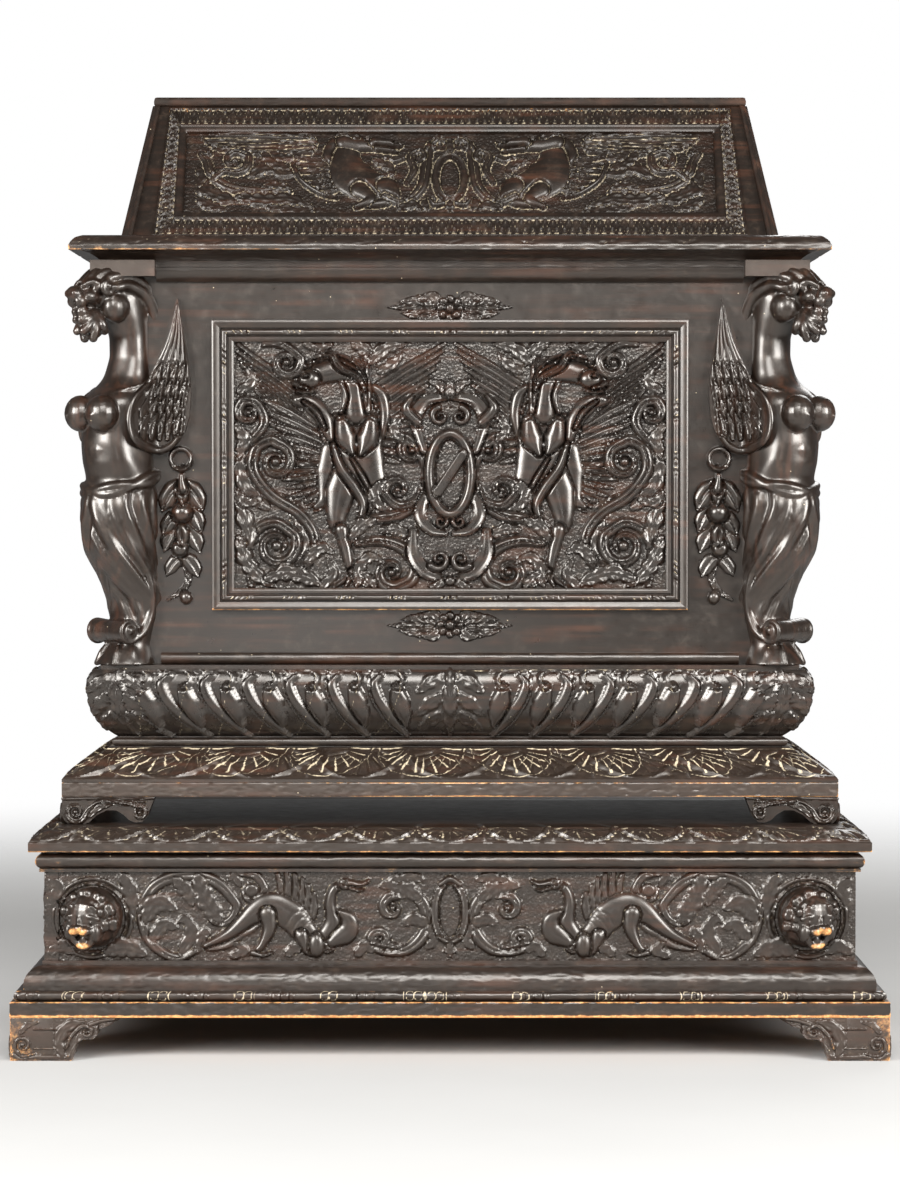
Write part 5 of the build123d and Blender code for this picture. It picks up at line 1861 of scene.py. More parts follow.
@dataclass
class Chest:
    """The tall chest, from its scroll feet to the moulding under its lid."""

    tier: Tier
    floor: float                    # underside of its scroll feet
    base: float                     # underside of the base board
    neck: float
    frieze: float                   # underside of the gadroon frieze
    case: float                     # top of the case bottom, where the boards stand
    top: float
    panel_middle: float             # height of the middle of the carved panel
    panel_half: float = 355.0
    panel_rise: float = 202.5
    panel_back: float = 14.0
    frame_width: float = 35.0
    foot_length: float = 150.0
    foot_thickness: float = 42.0
    foot_projection: float = 89.0
    gadroon_pitch: float = 63.0
    drawn_height: float = 660.0     # case height that the figures, wings and pendants are drawn for

    @classmethod
    def from_frame(cls) -> "Chest":
        """Reads its sizes from the CAD frame."""
        low, high = span("case_front_board")
        back = span("case_back_board")[1][1]
        panel = span("carved_panel")
        side = span("case_side_board_right")
        frame = span("panel_frame")[1]
        return cls(Tier(side[1][0], low[1], back), span("chest_foot_front_left")[0][2],
                   span("chest_base_board")[0][2], span("neck_bead")[0][2], span("gadroon_frieze_front")[0][2],
                   low[2], high[2], (panel[0][2] + panel[1][2]) / 2, panel[1][0],
                   (panel[1][2] - panel[0][2]) / 2, low[1] - panel[0][1], frame[0] - panel[1][0])

    def build(self) -> None:
        """Builds and dresses the whole chest."""
        self.feet()
        self.base_board()
        self.fan_moulding()
        self.beads()
        self.gadroons()
        self.panel()
        self.frame()
        self.rosettes()
        self.figures()
        self.wings()
        self.pendants()
        self.crown()
        dress_nodes(MOULDED_SIDE, "chest_feet_rear")
        dress_nodes(BARE_BACK, "frieze_rail_back", "case_back_board")
        dress_nodes(MOULDED, "case_bottom_board")
        dress_nodes(BOARD, "case_front_board")
        dress_nodes(END_BOARD, "case_side_board_left", "case_side_board_right")
        dress_nodes(IRON, "case_hinge_leaves", "hinge_pins")

    def scroll_bracket(self, name: str, corner: Sequence[float], across: Sequence[float],
                       flip: bool) -> bpy.types.Object:
        """One face of a scroll foot: a big spiral at the corner that runs into a small one.

        Args:
            name: the piece's name.
            corner: its outer bottom corner.
            across: the direction in from the corner.
            flip: whether the face is turned over, as at a right-hand corner.

        Returns:
            The piece.
        """
        tall, length = self.base - self.floor, self.foot_length
        edge = np.array([(0, 0.35 * tall), (3, 0.16 * tall), (9, 0.03 * tall), (16, 0.4), (38, 0.4),
                         (46, 0.10 * tall), (56, 0.32 * tall), (72, 0.50 * tall), (88, 0.50 * tall),
                         (100, 0.34 * tall), (108, 0.16 * tall), (118, 0.06 * tall), (130, 0.08 * tall),
                         (139, 0.28 * tall), (143, 0.55 * tall), (length, 0.94 * tall)])
        field = over_edge(edge, 0, tall, 1.5)
        field.stroke([(4, 41), (60, 42), (120, 41), (148, 43)], 2.6, 2.6)
        field.scroll([(132, 36), (108, 34), (84, 36), (60, 34), (44, 24)], (22, 20), 17, -1.3, 5.5, 5.5)
        field.scroll([(70, 38), (92, 36), (110, 34)], (126, 19), 12, -1.2, 4.0, 5.0)
        field.leaf([(44, 12), (60, 26), (82, 32)], 6, 4, 3)
        return foot_face(name, field, corner, across, flip, 1.5, self.foot_thickness)

    def feet(self) -> None:
        """Builds the scroll feet of the front corners."""
        half, front = self.tier.half + self.foot_projection, self.tier.front - self.foot_projection
        for side, place in FRONT_CORNERS:
            name = f"chest_foot_front_{place}"
            ahead = self.scroll_bracket(name + "_a", (side * half, front, self.floor), (-side, 0, 0), side > 0)
            beside = self.scroll_bracket(name + "_b", (side * half, front + 1, self.floor), BACKWARDS, side < 0)
            fit(joined(name, [ahead, beside]), CARVED, "chest", name)

    def base_board(self) -> None:
        """Builds the base board, its edge chipped and rubbed bare in places."""
        low, high = span("chest_base_board")
        z0, z1 = low[2], high[2]
        profile = Profile((-0.6, z0), ((0, z0 + 1.4), (0, z1 - 1.6), (-1.4, z1)), ((-60, z1), (-60, z0)))

        def worn(co: np.ndarray) -> np.ndarray:
            """The edge is most rubbed to the right of the middle."""
            arris = bell(co[:, 2] - z0, 3.2) + bell(z1 - co[:, 2], 2.5)
            patch = bell(co[:, 0] - 10, 170) + 0.8 * bell(co[:, 0] - 470, 120)
            return arris * (0.15 + 0.40 * patch)

        name = "chest_base_board"
        fit(edged_board(name, profile, 3.2, dented(1.6, 8)), RUBBED, "chest", name, worn=worn)

    def fan_moulding(self) -> None:
        """Builds the sloping moulding with hanging fans between serrated darts."""
        low, high = span("shell_moulding_front")
        z0, z1 = low[2], high[2]
        profile = Profile((89, z0), ((89, z0 + 5), ((58, z0 + 30.6), (19.5, z1))), ((-20, z1), (-20, z0)))

        def carve(field: Carving, line: np.ndarray) -> None:
            """Cuts the fans."""
            start = field.v_line[int(np.argmax(line[:, 1] > z0 + 5.4))]
            lunettes(field, start, field.v_line[-1] - 1.5, 134, 11, 0.9)

        moulded_runs(self.tier, "shell_moulding", "chest", profile, (SHELL_CARVED, SHELL_CARVED), 1.8, 1.8, carve)

    def beads(self) -> None:
        """Builds the neck bead under the gadroons and the bead at the foot of the case."""
        z = self.neck
        neck = Profile((6, z), ((6, z + 2), ((14, z + 9), (6, z + 16)), (6, z + 18)), ((-20, z + 18), (-20, z)))
        piece = self.tier.round_three("neck_bead", neck, pitch=5, fine=1.8, carve=dented(0.5, 16))
        fit(piece, MOULDED, "chest", "neck_bead")
        z = self.case
        foot = Profile((0.5, z + 0.2), (((10, z + 10), (0.5, z + 20)),), ())
        piece = self.tier.round_three("foot_bead", foot, pitch=6, fine=1.6, carve=dented(0.5, 16), stop=66.0)
        fit(piece, MOULDED, "chest", "foot_bead")

    def gadroons(self) -> None:
        """Builds the swelling frieze of curved gadroons, with leaves at its middle and its corners."""
        z = self.frieze
        profile = Profile((5, z), (((37, z + 32), (50.6, z + 78)), ((48.5, z + 97), (40, z + 111)), (31, z + 111),
                                   (31, z + 104)), ((-20, z + 104), (-20, z)))
        line, run = profile.traced(2.2)
        tall = float(run[np.argmax(line[:, 1] >= z + 110.9)])

        def carve_front(field: Carving, line: np.ndarray) -> None:
            """Cuts seven gadroons each side of the middle leaf."""
            for k in range(7):
                self.gadroon(field, -56 - self.gadroon_pitch * (k + 1), tall)
            field.mirrored()
            self.gadroon_leaf(field, 0, 54, tall)
            for end in (-1, 1):
                self.gadroon_leaf(field, end * (self.tier.half - 42), 46, tall)

        def carve_side(field: Carving, line: np.ndarray) -> None:
            """Cuts the gadroons of an end, which lean to the back."""
            self.gadroon_leaf(field, 42, 46, tall)
            for k in range(5):
                self.gadroon(field, 88 + self.gadroon_pitch * k, tall)
            self.gadroon_leaf(field, float(field.u_line[-1]) - 18, 20, tall)

        moulded_runs(self.tier, "gadroon_frieze", "chest", profile, (CARVED_GLOSS, CARVED_GLOSS), 2.2, 2.2,
                     carve_front, carve_side)

    def gadroon(self, field: Carving, at: float, tall: float) -> None:
        """Carves one gadroon: a crescent round an egg-shaped lobe that leans to the right, with a curl above.

        Args:
            field: the moulding's field.
            at: u of its upper left corner.
            tall: how far up the face it reaches.
        """
        def place(right: float, down: float) -> Point:
            """A point of the gadroon, its foot carried sideways by the lean."""
            share = down / tall
            return (at + (right - 4 * math.sin(math.pi * min(1, 2 * share)) + 42 * share ** 2.2), tall - down)

        crescent = [place(r, d) for r, d in ((20, 8), (10, 24), (10, 48), (12, 74), (14, tall - 6))]
        field.stroke(crescent, (4, 8.5, 10, 8, 2.5), 6.5)
        egg = [place(r, d) for r, d in ((42, 32), (41, 50), (37, 74), (30, 98))]
        field.stroke(egg, (10, 15, 12, 2), 9.5)
        hook = [place(r, d) for r, d in ((15, 8), (31, 4), (46, 9), (51, 21), (45, 31), (36, 27))]
        field.stroke(hook, (2.5, 4, 4.5, 4.2, 3.2, 2.2), 6.5)
        field.whiten(hook[1:], 1.3, 0.75)
        edge = [place(r, d) for r, d in ((2, 2), (0, 24), (0, 48), (1, 74), (3, 96), (6, tall - 1))]
        field.stroke(edge, 2.0, 3.2)
        field.whiten(edge, 1.5, 0.9)
        field.whiten([place(r, d) for r, d in ((24, 36), (23, 56), (25, 78), (27, 102))], 1.3, 0.6)
        head = [place(4, 3), place(30, 2), place(self.gadroon_pitch - 4, 3)]
        field.stroke(head, 2.0, 3.0)
        field.whiten(head, 1.5, 0.9)

    def gadroon_leaf(self, field: Carving, at: float, half: float, tall: float) -> None:
        """Carves an upright acanthus leaf.

        Args:
            field: the moulding's field.
            at: u of its middle.
            half: its half width.
            tall: how far up the face it reaches.
        """
        for side in (-1, 1):
            for root, tip in ((0.90, 0.66), (0.66, 0.36), (0.42, 0.12)):
                field.leaf([(at + side * 3, tall * root), (at + side * half * 0.45, tall * (root + tip) / 2 + 10),
                            (at + side * half * 0.92, tall * tip + 4)], 0.25 * half, 5.5, 3)
        field.leaf([(at, tall * 0.98), (at, tall * 0.5), (at, 3)], 0.24 * half, 7.0, 5)
        for side in (-1, 0, 1):
            field.whiten([(at + side * 3, tall * 0.95), (at + side * half * 0.35, tall * 0.5),
                          (at + side * half * 0.8, tall * 0.18)], 1.3, 0.7)

    def panel(self) -> None:
        """Builds the great carved panel: two winged harpies back a strapwork cartouche."""
        field = Carving((-self.panel_half, -self.panel_rise), (self.panel_half, self.panel_rise), 1.8)
        self.harpy(field)
        self.panel_scrolls(field)
        field.mirrored()
        self.strapwork(field)
        bare = field.punched(1.2)
        field.height -= 1.5
        piece = relief("carved_panel", field, (0, self.tier.front - self.panel_back + 8.5, self.panel_middle),
                       ACROSS, UPWARDS, 8.0)
        mark_grid(piece, "ground", bare)
        fit(piece, CARVED_GLOSS, "chest", "carved_panel")

    def harpy(self, field: Carving) -> None:
        """Carves the left harpy, from her wings to her claws.

        Args:
            field: the panel's field.
        """
        field.feathers([(-347, 198), (-345, 172), (-318, 122)], [(-208, 92), (-218, 70), (-232, 40)], 8, 7.0, 6.5)
        field.feathers([(-306, 108), (-296, 66), (-276, 34)], [(-222, 60), (-214, 36), (-204, 14)], 5, 8, 6.5, 1)
        field.feathers([(-274, 22), (-276, -18), (-250, -62), (-222, -76)], [(-200, 8), (-200, -24), (-200, -54)], 9,
                       6.0, 6.0, -2)
        field.feathers([(-8, 199), (-24, 160), (-48, 104)], [(-130, 124), (-118, 92), (-106, 58)], 8, 7.0, 6.0)
        field.feathers([(-62, 66), (-68, 34), (-84, 4)], [(-112, 62), (-112, 38), (-112, 12)], 5, 6.5, 6.0)
        field.stroke([(-132, 130), (-114, 118), (-106, 84), (-112, 46)], (6, 10, 9, 5), 9.0)
        field.stroke([(-192, 22), (-196, -20), (-204, -54), (-220, -68)], (20, 24, 17, 5), 8.0)
        field.stroke([(-170, -6), (-180, -46), (-186, -88), (-176, -114)], (20, 25, 18, 11), 11.5)
        field.stroke([(-178, -106), (-170, -140), (-162, -178)], (12, 10, 7), 10.5)
        for toe in (-190, -172, -152, -134, -120):
            field.stroke([(-162, -174), (0.4 * toe - 96, -187), (toe, -200)], (5, 4.6, 2.5), 8.5)
        field.stroke([(-152, 100), (-150, 50), (-140, 0), (-128, -46), (-150, -90)], (20, 37, 33, 24, 6), 12.0)
        field.stroke([(-204, 58), (-184, 76), (-160, 74)], (7, 11, 7), 10.5)
        field.stroke([(-176, 70), (-172, 46), (-160, 20)], (13, 18, 5), 15.5)
        field.stroke([(-130, 70), (-134, 46), (-146, 18)], (13, 18, 5), 15.5)
        field.cut([(-186, 74), (-168, 78), (-152, 66), (-136, 78), (-116, 70)], 2.0, 3.0)
        field.stroke([(-192, 36), (-180, -2), (-156, -36), (-142, -66), (-152, -100)], (4, 8, 9, 8, 4), 14.5)
        field.stroke([(-160, 10), (-140, -24), (-126, -52)], (3, 5, 3), 13.5)
        field.stroke([(-154, 84), (-158, 118), (-158, 158)], (18, 17, 20), 12.0)
        field.stroke([(-178, 86), (-172, 112), (-180, 140)], (4, 6, 4), 12.5)
        field.stroke([(-134, 88), (-136, 120), (-140, 160), (-128, 186)], (5, 9, 10, 5), 11.0, Section.QUILL)
        field.stroke([(-158, 156), (-186, 156), (-214, 148)], (19, 20, 17), 12.0)
        field.dome((-230, 140), 19, 16, 13.0)
        field.dome((-236, 146), 4.2, 3.6, 15.0, 3)
        field.stroke([(-254, 134), (-246, 128), (-234, 126)], (4.5, 4, 3), 12.5)
        field.cut([(-256, 127), (-244, 124), (-232, 127)], 1.8, 4.0)
        field.stroke([(-248, 120), (-236, 116), (-222, 122)], (4, 5, 4), 12.0)
        for lift in (0, 8, 16):
            field.stroke([(-238 + lift, 160 + lift), (-212 + lift, 176 + 0.4 * lift), (-180, 176 - lift),
                          (-152, 160 - lift), (-138, 138 - lift)], (4, 6.5, 7, 6, 3), 13.5, Section.QUILL)
        field.stroke([(-250, 106), (-228, 100), (-206, 76), (-196, 44)], (10, 16, 14, 7), 11.5)
        field.stroke([(-240, 104), (-218, 86), (-204, 60)], (3, 5, 3), 14.0)

    def panel_scrolls(self, field: Carving) -> None:
        """Carves the acanthus scrolls round the left harpy.

        Args:
            field: the panel's field.
        """
        field.leaf([(-268, -168), (-240, -120), (-250, -76), (-286, -44)], 20, 8.0, 5)
        field.leaf([(-300, -70), (-330, -40), (-344, -4), (-340, 30)], 17, 8.0, 5)
        field.scroll([(-250, -178), (-226, -150), (-222, -116), (-246, -80), (-292, -50), (-322, -10),
                      (-318, 26), (-296, 40)], (-286, 6), 30, -1.1, 10, 10.0)
        field.scroll([(-326, -196), (-332, -150), (-318, -108), (-288, -94), (-262, -108)], (-284, -132), 34, -1.2, 9,
                     9.0)
        field.leaf([(-348, -48), (-336, -86), (-330, -122), (-340, -160)], 17, 10.0, 4)
        field.leaf([(-312, -58), (-336, -60), (-350, -40)], 11, 7.0, 3)
        field.leaf([(-346, -120), (-334, -156), (-312, -184), (-288, -200)], 17, 11.0, 5)
        field.leaf([(-300, -186), (-266, -176), (-232, -186), (-200, -200)], 17, 8.5, 5)
        field.leaf([(-236, -156), (-212, -136), (-190, -144)], 13, 8.0, 4)
        field.leaf([(-210, -200), (-192, -176), (-202, -152)], 12, 7.0, 3)
        field.scroll([(-346, 26), (-322, 44), (-304, 70), (-316, 100), (-336, 106)], (-330, 86), 19, 0.9, 9, 9.0)
        field.leaf([(-350, 66), (-338, 44), (-346, 10)], 13, 7.0, 4)
        field.leaf([(-346, 120), (-324, 138), (-330, 160)], 12, 7.0, 3)
        field.scroll([(-304, 198), (-272, 196), (-248, 178)], (-268, 168), 24, -1.1, 8, 8.5)
        field.leaf([(-240, 198), (-214, 192), (-190, 198)], 9, 7, 3)
        field.leaf([(-158, 200), (-134, 184), (-118, 160)], 14, 8.5, 4)
        field.leaf([(-130, 168), (-104, 192), (-70, 198)], 14, 8.0, 4)
        field.leaf([(-116, 152), (-94, 166), (-78, 184)], 12, 7.5, 3)
        field.leaf([(-132, -96), (-100, -68), (-60, -72), (-36, -96)], 15, 8.0, 5)
        field.scroll([(-160, -118), (-128, -90), (-86, -82), (-50, -54), (-36, -14), (-48, 20), (-72, 44)],
                     (-62, 24), 19, 0.9, 11, 10.0)
        field.scroll([(-46, -28), (-54, -56), (-84, -66), (-106, -48)], (-86, -40), 20, -0.9, 8, 9.0)
        field.leaf([(-112, -72), (-124, -46), (-106, -26)], 12, 7.5, 3)
        field.leaf([(-126, -92), (-150, -102), (-162, -128)], 13, 7.5, 4)
        field.leaf([(-78, 42), (-92, 60), (-80, 78)], 11, 8.0, 3)
        field.scroll([(-150, -128), (-114, -124), (-78, -136), (-58, -160), (-62, -186), (-84, -199)],
                     (-96, -176), 25, -0.95, 11, 10.0)
        field.leaf([(-150, -194), (-146, -164), (-128, -150), (-108, -160)], 13, 8.5, 4)
        field.leaf([(-122, -200), (-134, -184), (-146, -176)], 9, 7.5, 3)
        field.leaf([(-114, -106), (-86, -106), (-56, -124)], 12, 8.0, 4)

    def strapwork(self, field: Carving) -> None:
        """Carves the cartouche at the panel's middle: an oval in curling straps, with a flower over and under.

        Args:
            field: the panel's field.
        """
        straps = (
            ([(-6, 112), (-38, 106), (-56, 80), (-50, 50), (-42, 24)], (7, 11, 12, 10, 7), 11.0, Section.HOLLOW),
            (spiral((-16, 80), 15, 100, 1.2, 0.2), (6, 5, 3), 10.0),
            ([(-40, -48), (-48, -82), (-32, -106), (-8, -112)], (7, 12, 10, 6), 11.0, Section.HOLLOW),
            (spiral((-15, -92), 12, 60, -1.1, 0.2), (5, 4, 3), 10.0),
            ([(-60, -108), (-58, -148), (-36, -178), (-6, -186)], (8, 13, 12, 6), 11.0, Section.HOLLOW),
            (spiral((-18, -154), 17, 220, 1.2, 0.2), (7, 5, 3), 10.5),
            ([(-52, 70), (-72, 92), (-62, 112)], (8, 9, 4), 10.0))
        leaves = (([(-4, 114), (-18, 132), (-36, 138)], 10, 8.5, 3),
                  ([(-4, -186), (-18, -196), (-36, -199)], 9, 8.5, 3))
        for side in (1, -1):
            for points, *shape in straps:
                field.stroke([(side * u, v) for u, v in points], *shape)
            for points, *shape in leaves:
                field.leaf([(side * u, v) for u, v in points], *shape)
        field.leaf([(0, 110), (0, 142)], 11, 9.5, 3)
        field.stroke(oval((0, -14), 34, 66), 8.5, 11.5, Section.ROUND)
        field.cut(oval((0, -14), 25, 56), 1.8, 3.0)
        field.stroke([(-20, -44), (0, -14), (20, 16)], 9, 5.5, Section.FLAT)
        field.dome((0, -190), 9, 8, 9.0, 2)

    def frame(self) -> None:
        """Builds the mitred frame with a bead and reel between narrow fillets."""
        middle, width = self.panel_middle, self.frame_width
        section = Profile((0, 0), ((-1, 10), (2, 12), (7, 12.5), (8, 9.5), (10, 9.5), ((14.5, 17), (19, 9.5)),
                                   (21, 9.5), (22, 15), (27, 17), (31, 18), (width - 1, 17), (width, 15),
                                   (width, 0)), ())
        line, run = section.traced(1.7)
        made = []
        for turn in range(4):
            angle = turn * math.pi / 2
            reach = self.panel_half if turn % 2 == 0 else self.panel_rise
            rise = self.panel_rise if turn % 2 == 0 else self.panel_half
            field = Carving.on_moulding(-reach, reach, 2.4, run)
            rows = np.where((line[:, 0] > 10.2) & (line[:, 0] < 18.8))[0]
            bead_and_reel(field, run[rows[0]], run[rows[-1]], 82, 9.0, 4.0)
            deep = line[:, 1:] + field.height
            away = rise + line[:, :1] + 0 * field.height
            along = field.u * (reach + line[:, :1]) / reach
            deep, away, along = (np.vstack([a, a[:1]]) for a in (deep, away, along))
            x = along * math.cos(angle) - away * math.sin(angle)
            z = along * math.sin(angle) + away * math.cos(angle)
            points = np.stack([x, self.tier.front - np.maximum(deep, 0), middle + z], axis=-1)
            made.append(sheet_of(f"frame_{turn}", points, Close.TUBE))
            mark_grid(made[-1], "pale", field.pale)

        def worn(co: np.ndarray) -> np.ndarray:
            """The frame's outer arris is rubbed along its foot."""
            return 0.38 * bell(co[:, 2] - (middle - self.panel_rise - width), 4)

        fit(joined("panel_frame", made), MOULDED, "chest", "panel_frame", worn=worn)

    def rosettes(self) -> None:
        """Builds the two sprays applied to the field over and under the panel: a rosette between leaves."""
        for name, height, flip in (("spray_over_panel", self.panel_middle + 257, 1),
                                   ("spray_under_panel", self.panel_middle - 262, -1)):
            field = Carving((-106, -32), (106, 32), 1.7)
            for side in (-1, 1):
                for tip, lift, half in ((102, 2, 10), (84, 16, 12), (80, -14, 12), (52, 24, 11), (50, -22, 11)):
                    points = [(side * 8, 0), (side * 0.55 * tip, flip * 0.8 * lift), (side * tip, flip * 0.6 * lift)]
                    field.stroke(points, (4, half, 0.8 * half, 1.5), 8.0, Section.LEAF, 3, 0.7)
                    field.whiten(points, 1.1, 0.45)
            for k in range(8):
                angle = 2 * math.pi * k / 8
                field.dome((15 * math.cos(angle), 15 * math.sin(angle)), 7.5, 7.5, 8.5, 1.5)
            field.dome((0, 0), 8, 8, 11.0, 2.0)
            field.sink_ground(2.0)
            piece = relief(name, field, (0, self.tier.front, height), ACROSS, UPWARDS, 4.0)
            fit(piece, CARVED_GLOSS, "chest")

    def figures(self) -> None:
        """Builds the winged beast-headed terms at the two front corners."""
        origin = np.array([-self.tier.half, self.tier.front, self.case])
        left = CornerTerm(origin, self.figure_scale()).build("corner_figure_left")
        right = mirrored_copy(left, "corner_figure_right")
        for piece, place in ((left, "left"), (right, "right")):
            fit(piece, FIGURE, "chest", f"corner_figure_{place}")

    def figure_scale(self) -> float:
        """How tall the case is beside the height that the figures, wings and pendants are drawn at."""
        return (self.top - self.case) / self.drawn_height

    def face_frames(self) -> list[tuple[np.ndarray, np.ndarray]]:
        """The corner origin and inward direction of each face that a wing lies on.

        Returns:
            The front and end faces at both front corners.
        """
        faces = []
        for side in (-1, 1):
            corner = np.array([side * self.tier.half, self.tier.front, self.case])
            faces.append((corner, np.array([-side, 0, 0], float)))
            faces.append((corner, np.array([0, 1, 0], float)))
        return faces

    def wings(self) -> None:
        """Builds the wings that spring from the figures' backs and lie on the boards, feathered to the tip."""
        inner = ((343, 62), (350, 40), (358, 30), (372, 21), (386, 17), (400, 15), (415, 15.5), (428, 20), (438, 27),
                 (450, 36), (464, 45), (480, 53.5), (494, 60), (520, 68.5), (550, 76.5), (575, 84), (599, 93))
        outer = ((343, 66), (347, 78), (355, 88), (366, 97), (385, 107), (409, 113.6), (440, 116), (471, 115),
                 (500, 111), (523, 107.5), (560, 101), (585, 97), (599, 95))
        edges = [np.array(edge, float) for edge in (inner, outer)]
        scale = self.figure_scale()
        field = shaped(*[lambda v, e=edge: np.interp(v / scale, e[:, 0], e[:, 1]) for edge in edges],
                       343.5 * scale, 598.5 * scale, 1.8)
        for k, (foot, middle, high) in enumerate(((98, 109, 104), (86, 98, 99), (72, 86, 94), (58, 73, 88),
                                                  (46, 60, 82))):
            field.stroke([(foot, 380), (foot + 3, 425), (middle, 475), (high, 532), (94, 590)],
                         (5, 7.5, 7.5, 5, 1.4), 4.5 - 0.3 * k, Section.QUILL)
        for row, (low, first, count) in enumerate(((452, 60, 4), (424, 50, 5), (396, 40, 5), (370, 40, 5))):
            for k in range(count):
                foot = first + 12.5 * k
                field.stroke([(foot, low), (foot + 2, low + 20), (foot + 9, low + 42)], (4, 6.5, 1.2),
                             5.5 + 0.4 * row, Section.QUILL)
        field.stroke([(48, 458), (32, 438), (22, 416), (20, 392), (28, 370), (46, 356), (66, 351), (84, 359),
                      (95, 372)], (3, 5, 6.5, 7, 7, 7, 6, 4), 10.0)
        shoulder = np.clip((66 - field.u) / 46, 0, 1)
        field.height += 50 * shoulder ** 2 * (3 - 2 * shoulder)
        field.height[[0, -1]] = field.height[:, [0, -1]] = 0
        thickness = self.tier.front - span("applied_wings")[0][1]
        made = []
        for k, (corner, inward) in enumerate(self.face_frames()):
            out = np.array([0, -1, 0]) if inward[0] else np.array([np.sign(corner[0]), 0, 0])
            origin = corner + out * (thickness - 4.5)
            made.append(applied(f"wing_{k}", field, origin, inward, thickness - 4.5))
        fit(joined("applied_wings", made), FIGURE, "chest", "applied_wings")

    def pendants(self) -> None:
        """Builds the bunches of fruit and leaves that hang on rings under the wings."""
        field = Carving((-40, 92), (42, 362), 1.7)
        field.stroke([(6, 168), (12, 146), (4, 124), (-22, 106)], (8, 7, 6, 3), 8.0, Section.LEAF)
        field.dome((8, 110), 11, 12, 11.0)
        for root, tip, half in (((2, 180), (-24, 146), 13), ((4, 180), (28, 144), 14), ((-2, 232), (-28, 186), 16),
                                ((4, 232), (31, 184), 16)):
            self.pendant_leaf(field, root, tip, half, 9.0)
        field.dome((-2, 190), 15, 15, 17.0, 2.0)
        for root, tip, half in (((-4, 250), (-30, 214), 14), ((8, 266), (34, 218), 15), ((0, 226), (2, 196), 12)):
            self.pendant_leaf(field, root, tip, half, 11.0)
        field.dome((1, 249), 18, 18, 19.0)
        for root, tip, half in (((0, 300), (-31, 252), 17), ((4, 300), (36, 254), 17), ((2, 304), (2, 262), 12)):
            self.pendant_leaf(field, root, tip, half, 14.0)
        field.stroke([(2, 326), (1, 306), (3, 288)], (4.5, 5.5, 9), 12.0)
        field.stroke(oval((0, 337), 16.5, 17), 5.0, 12.0)
        field.cut([(-12, 326), (0, 322), (12, 328)], 1.6, 3.0)
        field.sink_ground(3.0)
        field.v *= self.figure_scale()
        made = [applied(f"pendant_{k}", field, corner + inward * 99, inward, 6.0)
                for k, (corner, inward) in enumerate(self.face_frames())]
        fit(joined("fruit_pendants", made), CARVED_GLOSS, "chest", "fruit_pendants")

    def pendant_leaf(self, field: Carving, root: Point, tip: Point, half: float, height: float) -> None:
        """Carves one broad leaf with a raised rim, bowed outwards from its root to its tip.

        Args:
            field: the pendant's field.
            root: where it springs from.
            tip: where it ends.
            half: its greatest half width.
            height: how far its rim stands up.
        """
        bow = 0.12 * (tip[0] - root[0])
        middle = ((root[0] + tip[0]) / 2 + bow, (root[1] + tip[1]) / 2 + 0.5 * abs(bow))
        field.stroke([root, middle, tip], (0.5 * half, half, 0.9 * half, 0.15 * half), height, Section.QUILL, 0, 0.6)
        field.whiten([root, middle, tip], 1.2, 0.4)

    def crown(self) -> None:
        """Builds the moulding under the lid, and gives the CAD blocks over the figures their finish."""
        z = self.top - 34
        profile = Profile((0.5, z), ((4, z), ((16, z + 8), (21, z + 24)), (24, z + 24), (24, z + 34)),
                          ((0.5, z + 34),))
        piece = self.tier.round_three("crown_moulding", profile, pitch=5, fine=1.8, carve=dented(0.5, 14), stop=60.0)
        fit(piece, MOULDED, "chest", "crown_moulding")
        dress_nodes(RUBBED, "crown_blocks")


